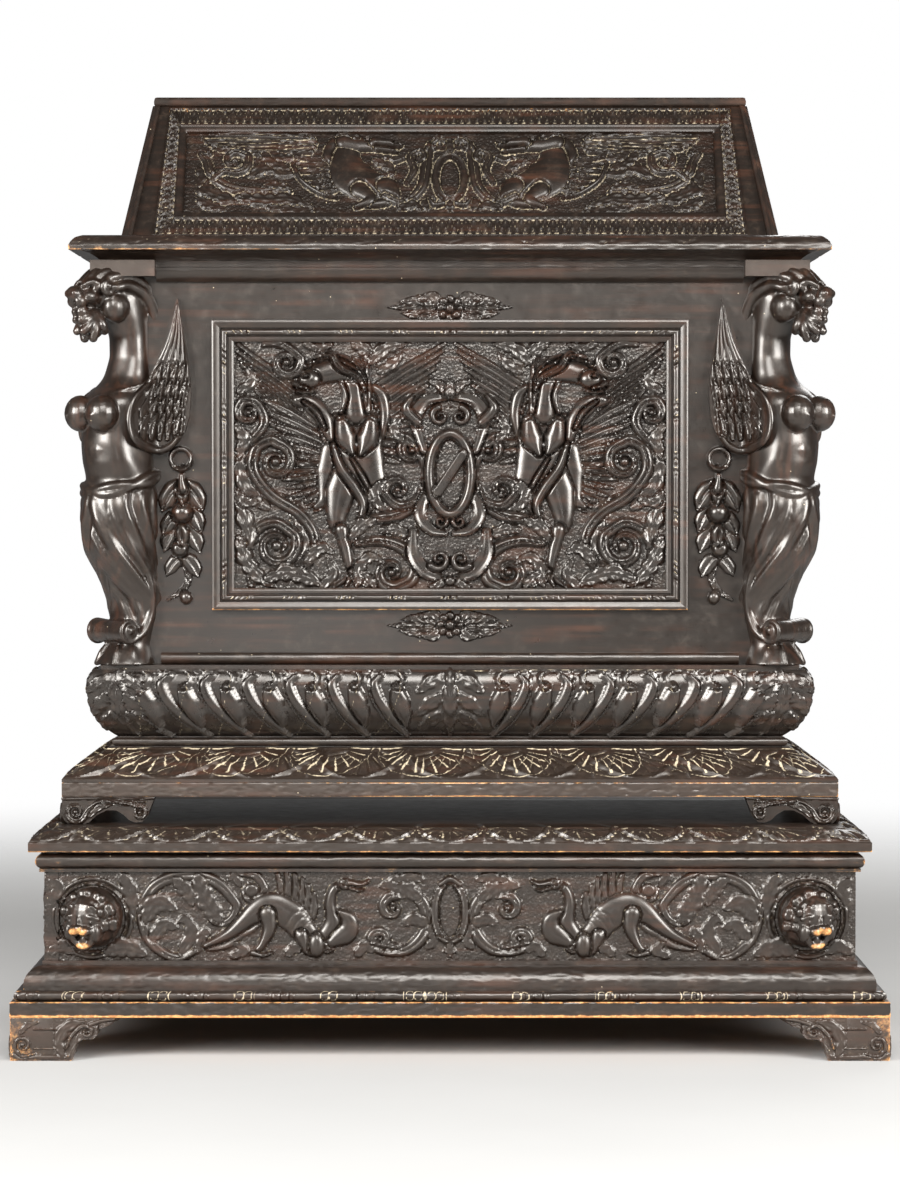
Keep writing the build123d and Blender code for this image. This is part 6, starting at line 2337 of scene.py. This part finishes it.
@dataclass
class CornerTerm:
    """A winged beast-headed term on a draped, tapering leg, turned 45 degrees to the front."""

    origin: np.ndarray
    scale: float

    def axes(self) -> np.ndarray:
        """The directions out, sideways and up, as rows."""
        root = math.sqrt(0.5)
        return np.array([(-root, -root, 0), (root, -root, 0), (0, 0, 1)])

    def trunk(self) -> bpy.types.Object:
        """The leg, belly, chest and neck as one lathe-like form of oval sections with the drapery's folds.

        Returns:
            The trunk.
        """
        sections = np.array([(0, -8, 50, 50), (10, -10, 46, 47), (24, -14, 38, 40), (34, -16, 33, 38),
                             (80, -26, 34, 44), (106, -28, 38, 50), (150, -12, 48, 53), (185, 0, 55, 57),
                             (237, 6, 61, 63), (270, 5, 61, 62), (284, 1, 58, 59), (306, 0, 56, 58), (330, 6, 58, 57),
                             (364, 9, 57, 56), (407, 6, 54, 59), (424, 8, 57, 59), (436, 5, 56, 57),
                             (446, 0, 50, 52), (458, -8, 42, 44), (470, -13, 38, 39), (504, -20, 33, 34),
                             (537, -20, 33, 34), (566, -12, 38, 36), (600, -6, 42, 36), (620, -10, 32, 30),
                             (634, -12, 16, 18)], float)
        rows = np.linspace(0, 634, 212)
        turns = np.linspace(0, 2 * math.pi, 97)
        out, deep, wide = (np.interp(rows, sections[:, 0], sections[:, k])[:, None] for k in (1, 2, 3))
        for _ in range(3):
            out[1:-1], deep[1:-1], wide[1:-1] = ((a[:-2] + 2 * a[1:-1] + a[2:]) / 4 for a in (out, deep, wide))
        angle, height = np.meshgrid(turns, rows)
        draped = np.clip((height - 66) / 25, 0, 1) * np.clip((292 - height) / 14, 0, 1)
        around = np.abs((angle + math.pi) % (2 * math.pi) - math.pi)
        swept = around - 1.7 * np.clip((262 - height) / 200, 0, 1) ** 1.3
        fold = 0.13 * np.abs(np.sin(4.6 * swept + 0.5)) ** 0.75 + 0.035 * np.sin(13 * swept + height / 40) - 0.08
        throat = np.clip((height - 462) / 20, 0, 1) * np.clip((560 - height) / 40, 0, 1)
        sinew = 0.035 * throat * np.cos(3 * around + height / 60)
        waist = np.clip((height - 306) / 30, 0, 1) * np.clip((400 - height) / 40, 0, 1)
        ribs = 0.03 * waist * np.sin(5 * around + height / 22) * np.clip(np.sin(around), 0, 1)
        swell = 1 + draped * fold + sinew + ribs
        o = out + deep * swell * np.cos(angle)
        s = wide * swell * np.sin(angle)
        points = self.origin + (np.stack([o, s, height], -1) * (1, 1, self.scale)) @ self.axes()
        return sheet_of("term_trunk", points.transpose(1, 0, 2), Close.TUBE)

    def build(self, name: str) -> bpy.types.Object:
        """Builds the whole figure.

        Args:
            name: the piece's name.

        Returns:
            The figure.
        """
        lumps = [*self.head(), *self.bust(), *self.skirt()]
        lumps = [Lump((l.at[0], l.at[1], l.at[2] * self.scale), l.radii) for l in lumps]
        piece = cast(name, lumps, self.origin, self.axes(), 2.2, [self.trunk()], smoothing=2)
        inside = span("case_front_board")[0][1] + 1.0
        co = coordinates(piece)
        behind = (co[:, 0] > self.origin[0] + 1) & (co[:, 1] > inside)
        gap_x, gap_y = co[:, 0] - self.origin[0] - 1, co[:, 1] - inside
        co[:, 0] = np.where(behind & (gap_x < gap_y), self.origin[0] + 1, co[:, 0])
        co[:, 1] = np.where(behind & (gap_x >= gap_y), inside, co[:, 1])
        move(piece, co)
        return piece

    def head(self) -> list[Lump]:
        """The beast's head: snout, open jaws, bearded chin, round eyes and a curled mane.

        Returns:
            Its lumps.
        """
        lumps = [Lump((8, 0, 604), (54, 33, 36)), Lump((62, 0, 602), (32, 20, 17)), Lump((96, 0, 604), (13, 15, 13)),
                 Lump((60, 0, 572), (30, 13, 10)), Lump((-18, 0, 592), (34, 36, 44)), Lump((-20, 0, 566), (30, 35, 34))]
        for side in (-1, 1):
            lumps += [Lump((26, side * 19, 584), (25, 20, 25)), Lump((90, side * 9, 592), (12, 9, 11)),
                      Lump((84, side * 6, 575), (12, 9, 9)), Lump((72, side * 15, 600), (14, 8, 10)),
                      Lump((66, side * 19, 613), (6, 5, 5)), Lump((102, side * 8, 604), (7, 6, 7)),
                      Lump((-2, side * 31, 600), (5, 5, 10))]
            lumps += cordon([(86, side * 9, 617), (70, side * 17, 623), (52, side * 24, 612)], (4, 6, 4))
            lumps += curl((50, side * 29, 617), 15, 1.5, 150, (0, 2), 4.6)
            lumps.append(Lump((50, side * 29, 617), (7, 9, 7)))
            for lane, (out, rise) in enumerate(((6, 2), (18, 0), (28, -8), (36, -24))):
                lumps += cordon([(82 - 10 * lane, side * (3 + 0.5 * out), 622 + 0.3 * rise),
                                 (52 - 5 * lane, side * (out - 1), 639 + rise), (10, side * out, 642 + rise),
                                 (-26, side * out, 630 + 1.2 * rise), (-44, side * (out - 2), 600 + 1.2 * rise),
                                 (-44, side * (out - 4), 562 + rise)], (4, 8, 9.5, 10, 9, 6))
            for tip, thick in (((88, 6, 562), 7.5), ((84, 8, 544), 8.0), ((66, 11, 533), 8.5), ((44, 13, 545), 8.0)):
                root = (56, side * 7, 574)
                end = (tip[0], side * tip[1], tip[2])
                bend = (0.4 * root[0] + 0.6 * tip[0] + 2, side * (tip[1] + 3), 0.4 * root[2] + 0.6 * tip[2] - 2)
                lumps += cordon([root, bend, end], (5, thick, 0.9 * thick))
        lumps += [Lump((68, 0, 556), (22, 10, 16)), Lump((56, 0, 544), (16, 10, 12))]
        return lumps

    def bust(self) -> list[Lump]:
        """The breasts, the neckline and the girdle's two twisted strands.

        Returns:
            Their lumps.
        """
        lumps = [Lump((62, side * 27, 411), (27, 27, 30)) for side in (-1, 1)]
        lumps += [Lump((88, side * 32, 407), (3, 3, 3)) for side in (-1, 1)]
        lumps.append(Lump((34, 0, 352), (33, 40, 36)))
        turns = np.linspace(0, 2 * math.pi, 41)
        for lift in (-3.5, 3.5):
            neckline = [(-2 + 49 * math.cos(a), 51 * math.sin(a), 455 + lift - 16 * math.cos(a)) for a in turns]
            lumps += cordon(neckline, (2.6, 2.6), 2.5)
        for turn in (0, math.pi):
            twisted = [(1 + 60 * math.cos(a), 61 * math.sin(a),
                        300 - 17 * math.cos(a) + 6 * math.sin(2.5 * a + turn)) for a in turns]
            lumps += cordon(twisted, (6.5, 6.5), 3.0)
        return lumps

    def skirt(self) -> list[Lump]:
        """The big volute that the drapery rolls into, and the leaves of the foot under it.

        Returns:
            Their lumps.
        """
        lumps = []
        for share in np.linspace(-1, 1, 15):
            pinch = 1 - 0.16 * (1 - abs(share))
            lumps.append(Lump((17, 38 * share, 56), (21 * pinch, 5, 21 * pinch)))
        for side in (-1, 1):
            lumps += curl((17, side * 41, 57), 21, 1.9, 215, (0, 2), 4.4)
            lumps.append(Lump((17, side * 42, 57), (8, 7, 8)))
            lumps += cordon([(-2, side * 41, 46), (-16, side * 42, 60), (-27, side * 44, 92), (-22, side * 50, 128),
                             (-8, side * 52, 160)], (6, 8, 8, 7, 3))
            for out, across in ((34, 22), (4, 42)):
                lumps += cordon([(0.6 * out - 4, side * 0.7 * across, 36), (0.8 * out, side * 0.85 * across, 18),
                                 (out, side * across, 3)], (3, 6, 5))
        return lumps


# ----------------------------------------
# The lid
# ----------------------------------------

@dataclass
class Lid:
    """The hipped lid: carved cornice, leaning front with a recessed panel, reeded hips and a flat top."""

    tier: Tier
    floor: float
    slope: float                    # where the leaning boards start
    head: float                     # underside of the top board
    foot_half: float
    head_half: float
    foot_y: float
    head_y: float
    panel_half: float
    panel_rise: float               # half height of the recessed panel, up the slope
    recess: float = 8.0
    board: float = 24.0

    @classmethod
    def from_frame(cls, tier: Tier) -> "Lid":
        """Reads its sizes from the CAD frame.

        Args:
            tier: the rectangle of the chest's boards.
        """
        cornice = span("lid_cornice_front")
        board = span("lid_front_board")
        panel = span("lid_front_panel")
        top = span("lid_top_board")
        run, rise = 146.2, board[1][2] - cornice[1][2]
        lean = math.hypot(run, rise)
        tall = (panel[1][2] - panel[0][2]) * lean / rise
        return cls(tier, cornice[0][2], cornice[1][2], board[1][2], tier.half - 10, top[1][0] - 4,
                   board[0][1], board[0][1] + run, panel[1][0], tall / 2 - 2)

    def build(self) -> None:
        """Builds and dresses the whole lid."""
        self.cornice()
        self.front()
        self.dragon_panel()
        self.hips()
        self.top()
        dress_nodes(BARE_BACK, "lid_cornice_back", "lid_back_board")
        dress_nodes(DULL_END, "lid_side_board_left", "lid_side_board_right")
        dress_nodes(IRON, "lid_hinge_leaves")

    def cornice(self) -> None:
        """Builds the cornice, its nose carved with a zigzag of leaves and rubbed bare at the left."""
        z = self.floor
        profile = Profile((0, z), ((30, z), ((46, z + 11), (70, z + 15)), (77, z + 15), (77, z + 22),
                                   ((70, z + 32.5), (53, self.slope))), ((-26, self.slope), (-26, z)))

        def carve(field: Carving, line: np.ndarray) -> None:
            """Cuts the zigzag on the rounded nose."""
            rows = np.where((line[:, 1] > z + 22.5) & (line[:, 0] > 54))[0]
            low, high = field.v_line[rows[0]], field.v_line[rows[-1]]
            pitch = 112
            place = np.abs(in_repeat(field.u, pitch)) / (pitch / 2)
            up = (field.v - low) / (high - low)
            inside = (up > 0) & (up < 1)
            for shift, strength in ((0.0, 1.6), (0.10, 0.9)):
                field.height -= np.where(inside, strength * bell(place - shift - up * 0.9, 0.022), 0)
            field.height -= np.where(inside, 0.5 * bell(np.sin(place * 28), 0.3) * (place < up * 0.9), 0)
            field.pale = np.where(inside, 0.85 * bell(place - up * 0.9, 0.03), 0)
            nicks(field, 1.0, 12)

        def worn(co: np.ndarray) -> np.ndarray:
            """The nose is rubbed in streaks over its left third and at its right end."""
            nose = bell(co[:, 2] - z - 18, 4)
            left = np.clip((-190 - co[:, 0]) / 120, 0, 1)
            right = np.clip((co[:, 0] - 540) / 60, 0, 1)
            ahead = co[:, 1] < self.tier.front - 20
            return nose * (0.08 + 0.34 * left * ahead + 0.25 * right)

        moulded_runs(self.tier, "lid_cornice", "lid", profile, (MOULDED, MOULDED_SIDE), 2.6, 2.0, carve, worn=worn)

    def lean(self) -> tuple[float, np.ndarray]:
        """Length of the front slope, and its direction up."""
        step = np.array([0, self.head_y - self.foot_y, self.head - self.slope])
        length = float(np.linalg.norm(step))
        return length, step / length

    def front(self) -> None:
        """Builds the leaning front board: bands of crossed leaves round a moulded recess."""
        length, up = self.lean()
        field = Carving((-self.foot_half, 0), (self.foot_half, length), 2.3)
        u, v, height = field.u, field.v, field.height
        middle = length / 2
        wide, tall = self.panel_half, self.panel_rise
        beyond = np.maximum(np.abs(u) - wide, np.abs(v - middle) - tall)
        band_low, band_high = 15.0, min(middle - tall, self.head_half - wide) - 6
        along = np.where(np.abs(u) - wide > np.abs(v - middle) - tall, v - middle, u)
        pitch = 26.0
        share = np.clip((beyond - band_low) / (band_high - band_low), 0, 1)
        place = np.abs(in_repeat(along, pitch)) / (pitch / 2)
        in_band = (beyond > band_low) & (beyond < band_high)
        cross = bell(place - share, 0.10) + bell(place - (1 - share), 0.10)
        dots = bell(np.hypot(place, share - 0.5), 0.20)
        height += np.where(in_band, -1.2 + 2.6 * np.clip(cross, 0, 1) + 1.6 * dots, 0)
        for edge in (band_low - 2, band_high + 2.5):
            height += 2.4 * bell(beyond - edge, 1.6)
        ovolo = np.clip(beyond / (band_low - 4), 0, 1)
        height += np.where(beyond < band_low - 4, 3.5 * np.sqrt(1 - (1 - ovolo) ** 2) - 3.0, 0)
        height[:] = np.where(beyond < -1.0, -self.recess - 4, np.where(beyond < 0.6, -5.0, height))
        rest = self.foot_half + (self.head_half - self.foot_half) * (v[:, :1] / length) - 1
        keep = wide + 8
        x = np.where(np.abs(u) <= keep, u,
                     np.sign(u) * (keep + (np.abs(u) - keep) * (rest - keep) / (self.foot_half - keep)))
        out = np.array([0, -up[2], up[1]])
        points = (np.array([0, self.foot_y, self.slope]) + x[..., None] * np.array([1.0, 0, 0])
                  + v[..., None] * up + height[..., None] * out)
        points[..., 2] = np.clip(points[..., 2], self.slope + 0.2, self.head - 0.2)
        piece = sheet_of("lid_front_board", points, Close.BACK, (0, self.board / up[2], 0))

        def worn(co: np.ndarray) -> np.ndarray:
            """The board is rubbed along its head and the top of the recess."""
            return 0.3 * bell(co[:, 2] - self.head + 8, 6)

        fit(piece, CARVED_LID, "lid", "lid_front_board", worn=worn)

    def dragon_panel(self) -> None:
        """Builds the recessed panel: two dragons back to back with a cartouche between."""
        length, up = self.lean()
        wide, tall = self.panel_half, self.panel_rise
        field = Carving((-wide + 0.5, -tall + 0.5), (wide - 0.5, tall - 0.5), 1.9)
        self.dragon(field)
        field.mirrored()
        self.lid_cartouche(field)
        bare = field.punched(1.1)
        out = np.array([0, -up[2], up[1]])
        origin = np.array([0, self.foot_y, self.slope]) + up * length / 2 - out * (self.recess - 0.5)
        piece = relief("lid_front_panel", field, origin, ACROSS, up, 8.0)
        mark_grid(piece, "ground", bare)
        fit(piece, CARVED_LID, "lid", "lid_front_panel")

    def dragon(self, field: Carving) -> None:
        """Carves the left dragon, from its tail's leaves to its snout.

        Args:
            field: the panel's field.
        """
        field.feathers([(-414, 74), (-402, 60), (-386, 50)], [(-236, 79), (-226, 63), (-232, 46)], 5, 7, 5.5, -7)
        field.stroke([(-412, 76), (-350, 80), (-280, 76), (-240, 74)], (3, 7, 8, 5), 6.0, Section.QUILL)
        field.scroll([(-268, -38), (-320, -38), (-368, -28), (-396, -2), (-404, 24), (-414, 40)], (-404, 44), 9,
                     0.4, 9.8, 6.0)
        field.scroll([(-392, -12), (-376, 4), (-352, 2), (-338, 14), (-336, 34)], (-358, 26), 20, 0.8, 7.5, 6.0)
        field.leaf([(-330, -4), (-304, 14), (-270, 2), (-246, 12)], 16, 5.0, 4)
        field.leaf([(-310, 40), (-290, 22), (-268, 8)], 13, 5.0, 4)
        field.leaf([(-262, 34), (-282, 34), (-300, 44)], 10, 5.0, 3)
        field.leaf([(-412, -6), (-404, -34), (-376, -50), (-344, -56)], 17, 6.0, 5)
        field.leaf([(-350, -48), (-306, -56), (-266, -54), (-226, -70)], 17, 6.5, 6)
        field.leaf([(-300, -70), (-262, -74), (-220, -76)], 10, 5.0, 4)
        field.leaf([(-416, -52), (-396, -66), (-370, -74)], 12, 5.0, 4)
        field.leaf([(-418, 10), (-412, -10), (-418, -30)], 9, 5.0, 3)
        field.leaf([(-270, -28), (-292, -24), (-312, -28)], 9, 6.0, 3)
        field.feathers([(-258, 34), (-252, 0), (-218, -44)], [(-206, 30), (-200, 2), (-186, -32)], 7, 5.6, 5.5, -2)
        field.stroke([(-262, 20), (-246, -16), (-212, -44), (-186, -52)], (3, 4, 4, 3), 7.0)
        field.stroke([(-176, 76), (-196, 62), (-204, 36), (-190, 12)], (5, 8, 8, 5), 7.5)
        field.stroke([(-180, 78), (-168, 60), (-172, 30), (-166, 0), (-140, -24), (-106, -30)],
                     (10, 18, 26, 36, 32, 22), 8.5)
        field.stroke([(-106, -26), (-96, -44), (-110, -60), (-140, -66)], (17, 13, 9, 6), 8.0)
        field.stroke([(-150, -34), (-132, -54), (-154, -70)], (15, 10, 5), 8.5)
        field.stroke([(-176, 66), (-150, 62), (-128, 60)], (15, 17, 14), 9.0)
        field.stroke([(-126, 64), (-104, 62), (-84, 58)], (11, 8, 6), 9.0)
        field.stroke([(-122, 50), (-102, 46), (-88, 42)], (6, 5, 3), 8.0)
        field.cut([(-124, 56), (-104, 53), (-84, 50)], 1.8, 4.0)
        field.dome((-138, 68), 4.5, 4, 10.0, 3)
        field.leaf([(-152, 70), (-170, 82), (-190, 80)], 9, 8.5, 3)
        field.dome((-90, 62), 4, 3.5, 9.5)
        field.stroke([(-110, 30), (-94, 24), (-76, 30)], (3, 5, 3), 6.0)
        field.leaf([(-126, 28), (-100, 12), (-96, -8)], 10, 6, 3)
        field.scroll([(-108, -48), (-76, -62), (-48, -30), (-40, 12), (-36, 48), (-20, 72)], (-28, 62), 12, -0.8, 9,
                     7.0)
        field.scroll([(-72, -20), (-60, 8), (-66, 34), (-50, 46)], (-52, 34), 10, -0.9, 6.8, 6.5)
        field.leaf([(-84, -72), (-60, -64), (-44, -76)], 10, 5.0, 3)
        field.leaf([(-26, -52), (-40, -62), (-36, -76)], 9, 5.0, 3)

    def lid_cartouche(self, field: Carving) -> None:
        """Carves the small cartouche between the dragons.

        Args:
            field: the panel's field.
        """
        field.stroke(oval((0, -10), 24, 46), 6, 7.5, Section.HOLLOW)
        field.cut(oval((0, -10), 17, 38), 1.6, 2.0)
        for side in (-1, 1):
            field.stroke([(side * x, z) for x, z in spiral((16, 58), 12, 20, 1.1, 0.2)], (4, 3, 2), 7.0)
            field.stroke([(side * 8, -62), (side * 24, -66), (side * 34, -54)], (4, 5, 3), 7.0)
        field.leaf([(0, 44), (0, 74)], 8, 7, 3)
        field.leaf([(0, -58), (0, -78)], 8, 6, 3)

    def hips(self) -> None:
        """Builds the reeded hips: three reeds that taper up each front corner."""
        made = []
        for side in (-1, 1):
            for lane in (-1, 0, 1):
                foot = np.array([side * self.foot_half, self.foot_y, self.slope])
                head = np.array([side * self.head_half, self.head_y, self.head - 1])
                run = (head - foot) / np.linalg.norm(head - foot)
                ahead = np.array([0, -1.0, 0])
                beside = np.array([side, 0, 0.0])
                across = beside - ahead
                across -= run * (across @ run)
                across /= np.linalg.norm(across)
                outward = np.cross(run, across) * (1 if np.cross(run, across) @ (beside + ahead) > 0 else -1)
                rows = np.linspace(0, 1, 60)
                turns = np.linspace(0, 2 * math.pi, 15)
                radius = (4.6 - 1.4 * rows)[:, None, None]
                centre = (foot + (head - foot) * rows[:, None])[:, None, :]
                shift = lane * (7.0 - 2.2 * rows)[:, None, None] * across
                lift = (1.2 - 0.8 * abs(lane)) * outward
                ring = np.cos(turns)[None, :, None] * across + np.sin(turns)[None, :, None] * outward
                points = centre + shift + lift + radius * ring
                points[..., 2] = np.clip(points[..., 2], self.slope, self.head)
                made.append(sheet_of(f"reed_{side}_{lane}", points.transpose(1, 0, 2), Close.TUBE))
        fit(joined("lid_hip_reeds", made), FIGURE, "lid", "lid_hip_reeds")

    def top(self) -> None:
        """Builds the flat top board, its edge rounded and rubbed."""
        low, high = span("lid_top_board")
        z0, z1 = low[2], high[2]
        profile = Profile((-1, z0), ((0, z0 + 1), ((0.4, (z0 + z1) / 2), (-1.4, z1 - 1)), (-4, z1)),
                          ((-60, z1), (-60, z0)))
        fit(edged_board("lid_top_board", profile, 4, dented(1.2, 10)), DULL_TOP, "lid", "lid_top_board")


# ----------------------------------------
# Studio
# ----------------------------------------

@dataclass(frozen=True)
class Lamp:
    """A soft lamp: where it hangs, its size in metres and its power in watts."""

    name: str
    place: tuple[float, float, float]
    size: float
    power: float


@dataclass
class Studio:
    """A pale floor, a white surround, soft lamps and the camera."""

    camera_place: tuple[float, float, float] = (0.0, -5.835, 0.912)
    pitch: float = -1.86            # degrees up from level
    focal_length: float = 104.3     # mm, on a sensor as wide as the next line says
    sensor_width: float = 36.0
    sight: float = 60.0             # how far the camera sees, m
    aim: tuple[float, float, float] = (0.0, 0.0, 0.75)
    lamps: tuple[Lamp, ...] = (
        Lamp("left_softbox", (-3.3, -3.2, 2.0), 1.9, 330.0),
        Lamp("right_softbox", (3.5, -3.0, 1.9), 1.9, 300.0),
        Lamp("top_softbox", (0.3, -3.9, 3.3), 1.8, 170.0),
        Lamp("front_reflector", (-0.5, -6.6, 0.4), 1.0, 14.0),
        Lamp("back_lamp", (1.2, 3.6, 3.2), 2.4, 80.0),
    )
    ambience: float = 0.14          # the surround's share of light on everything but the camera's own rays
    floor_size: float = 16.0
    floor_fade: Point = (1.6, 4.5)  # where the floor starts to fade into the surround and where it's gone, m

    def build(self) -> None:
        """Builds the whole studio."""
        self.camera()
        self.floor()
        self.light()
        bpy.context.scene.view_settings.view_transform = "Standard"

    def camera(self) -> None:
        """Places the camera."""
        deselect()
        bpy.ops.object.camera_add(location=self.camera_place, rotation=(math.radians(90 + self.pitch), 0, 0))
        camera = bpy.context.object
        camera.name = "camera"
        camera.data.lens = self.focal_length
        camera.data.sensor_width = self.sensor_width
        camera.data.clip_end = self.sight
        bpy.context.scene.camera = camera

    def floor(self) -> None:
        """Lays a pale floor that fades into the white surround."""
        deselect()
        bpy.ops.mesh.primitive_plane_add(size=self.floor_size, location=(0, 0, 0))
        floor = bpy.context.object
        floor.name = "floor"
        made = bpy.data.materials.new("pale_floor")
        tree = emptied(made)
        place = add(tree, "TexCoord", output="Object")
        far = add(tree, "VectorMath", (place,), "Value", operation="LENGTH")
        far = add(tree, "MapRange", (far, *self.floor_fade), **STEP)
        speckle = add(tree, "TexNoise", {"Vector": place, "Scale": 3.0, "Detail": 4.0})
        face = add(tree, "BsdfDiffuse", (add(tree, "Mix", {0: speckle, 6: "#b4b3b1", 7: "#b9b8b6"}, 2, **COLOUR),))
        add(tree, "OutputMaterial", (add(tree, "MixShader", (far, face, add(tree, "BsdfTransparent"))),))
        floor.data.materials.append(made)

    def light(self) -> None:
        """Hangs the lamps and sets the white surround."""
        for lamp in self.lamps:
            deselect()
            bpy.ops.object.light_add(type="AREA", location=lamp.place)
            light = bpy.context.object
            light.name = lamp.name
            light.data.energy = lamp.power
            light.data.size = lamp.size
            toward = Vector(self.aim) - Vector(lamp.place)
            light.rotation_euler = toward.to_track_quat("-Z", "Y").to_euler()
        world = bpy.data.worlds.new("surround")
        tree = emptied(world)
        rays = add(tree, "LightPath").node.outputs
        seen = add(tree, "Math", (rays["Is Camera Ray"], rays["Is Transmission Ray"]), operation="MAXIMUM")
        soft, white = (add(tree, "Background", ("#ffffff", strength)) for strength in (self.ambience, 1.0))
        add(tree, "OutputWorld", (add(tree, "MixShader", (seen, soft, white)),))
        bpy.context.scene.world = world


def main() -> None:
    """Builds the cassone from the floor up."""
    logging.basicConfig(level=logging.INFO, format="%(name)s: %(message)s")
    Studio().build()
    LowCase.from_frame().build()
    chest = Chest.from_frame()
    chest.build()
    Lid.from_frame(chest.tier).build()


if __name__ == "__main__":
    main()
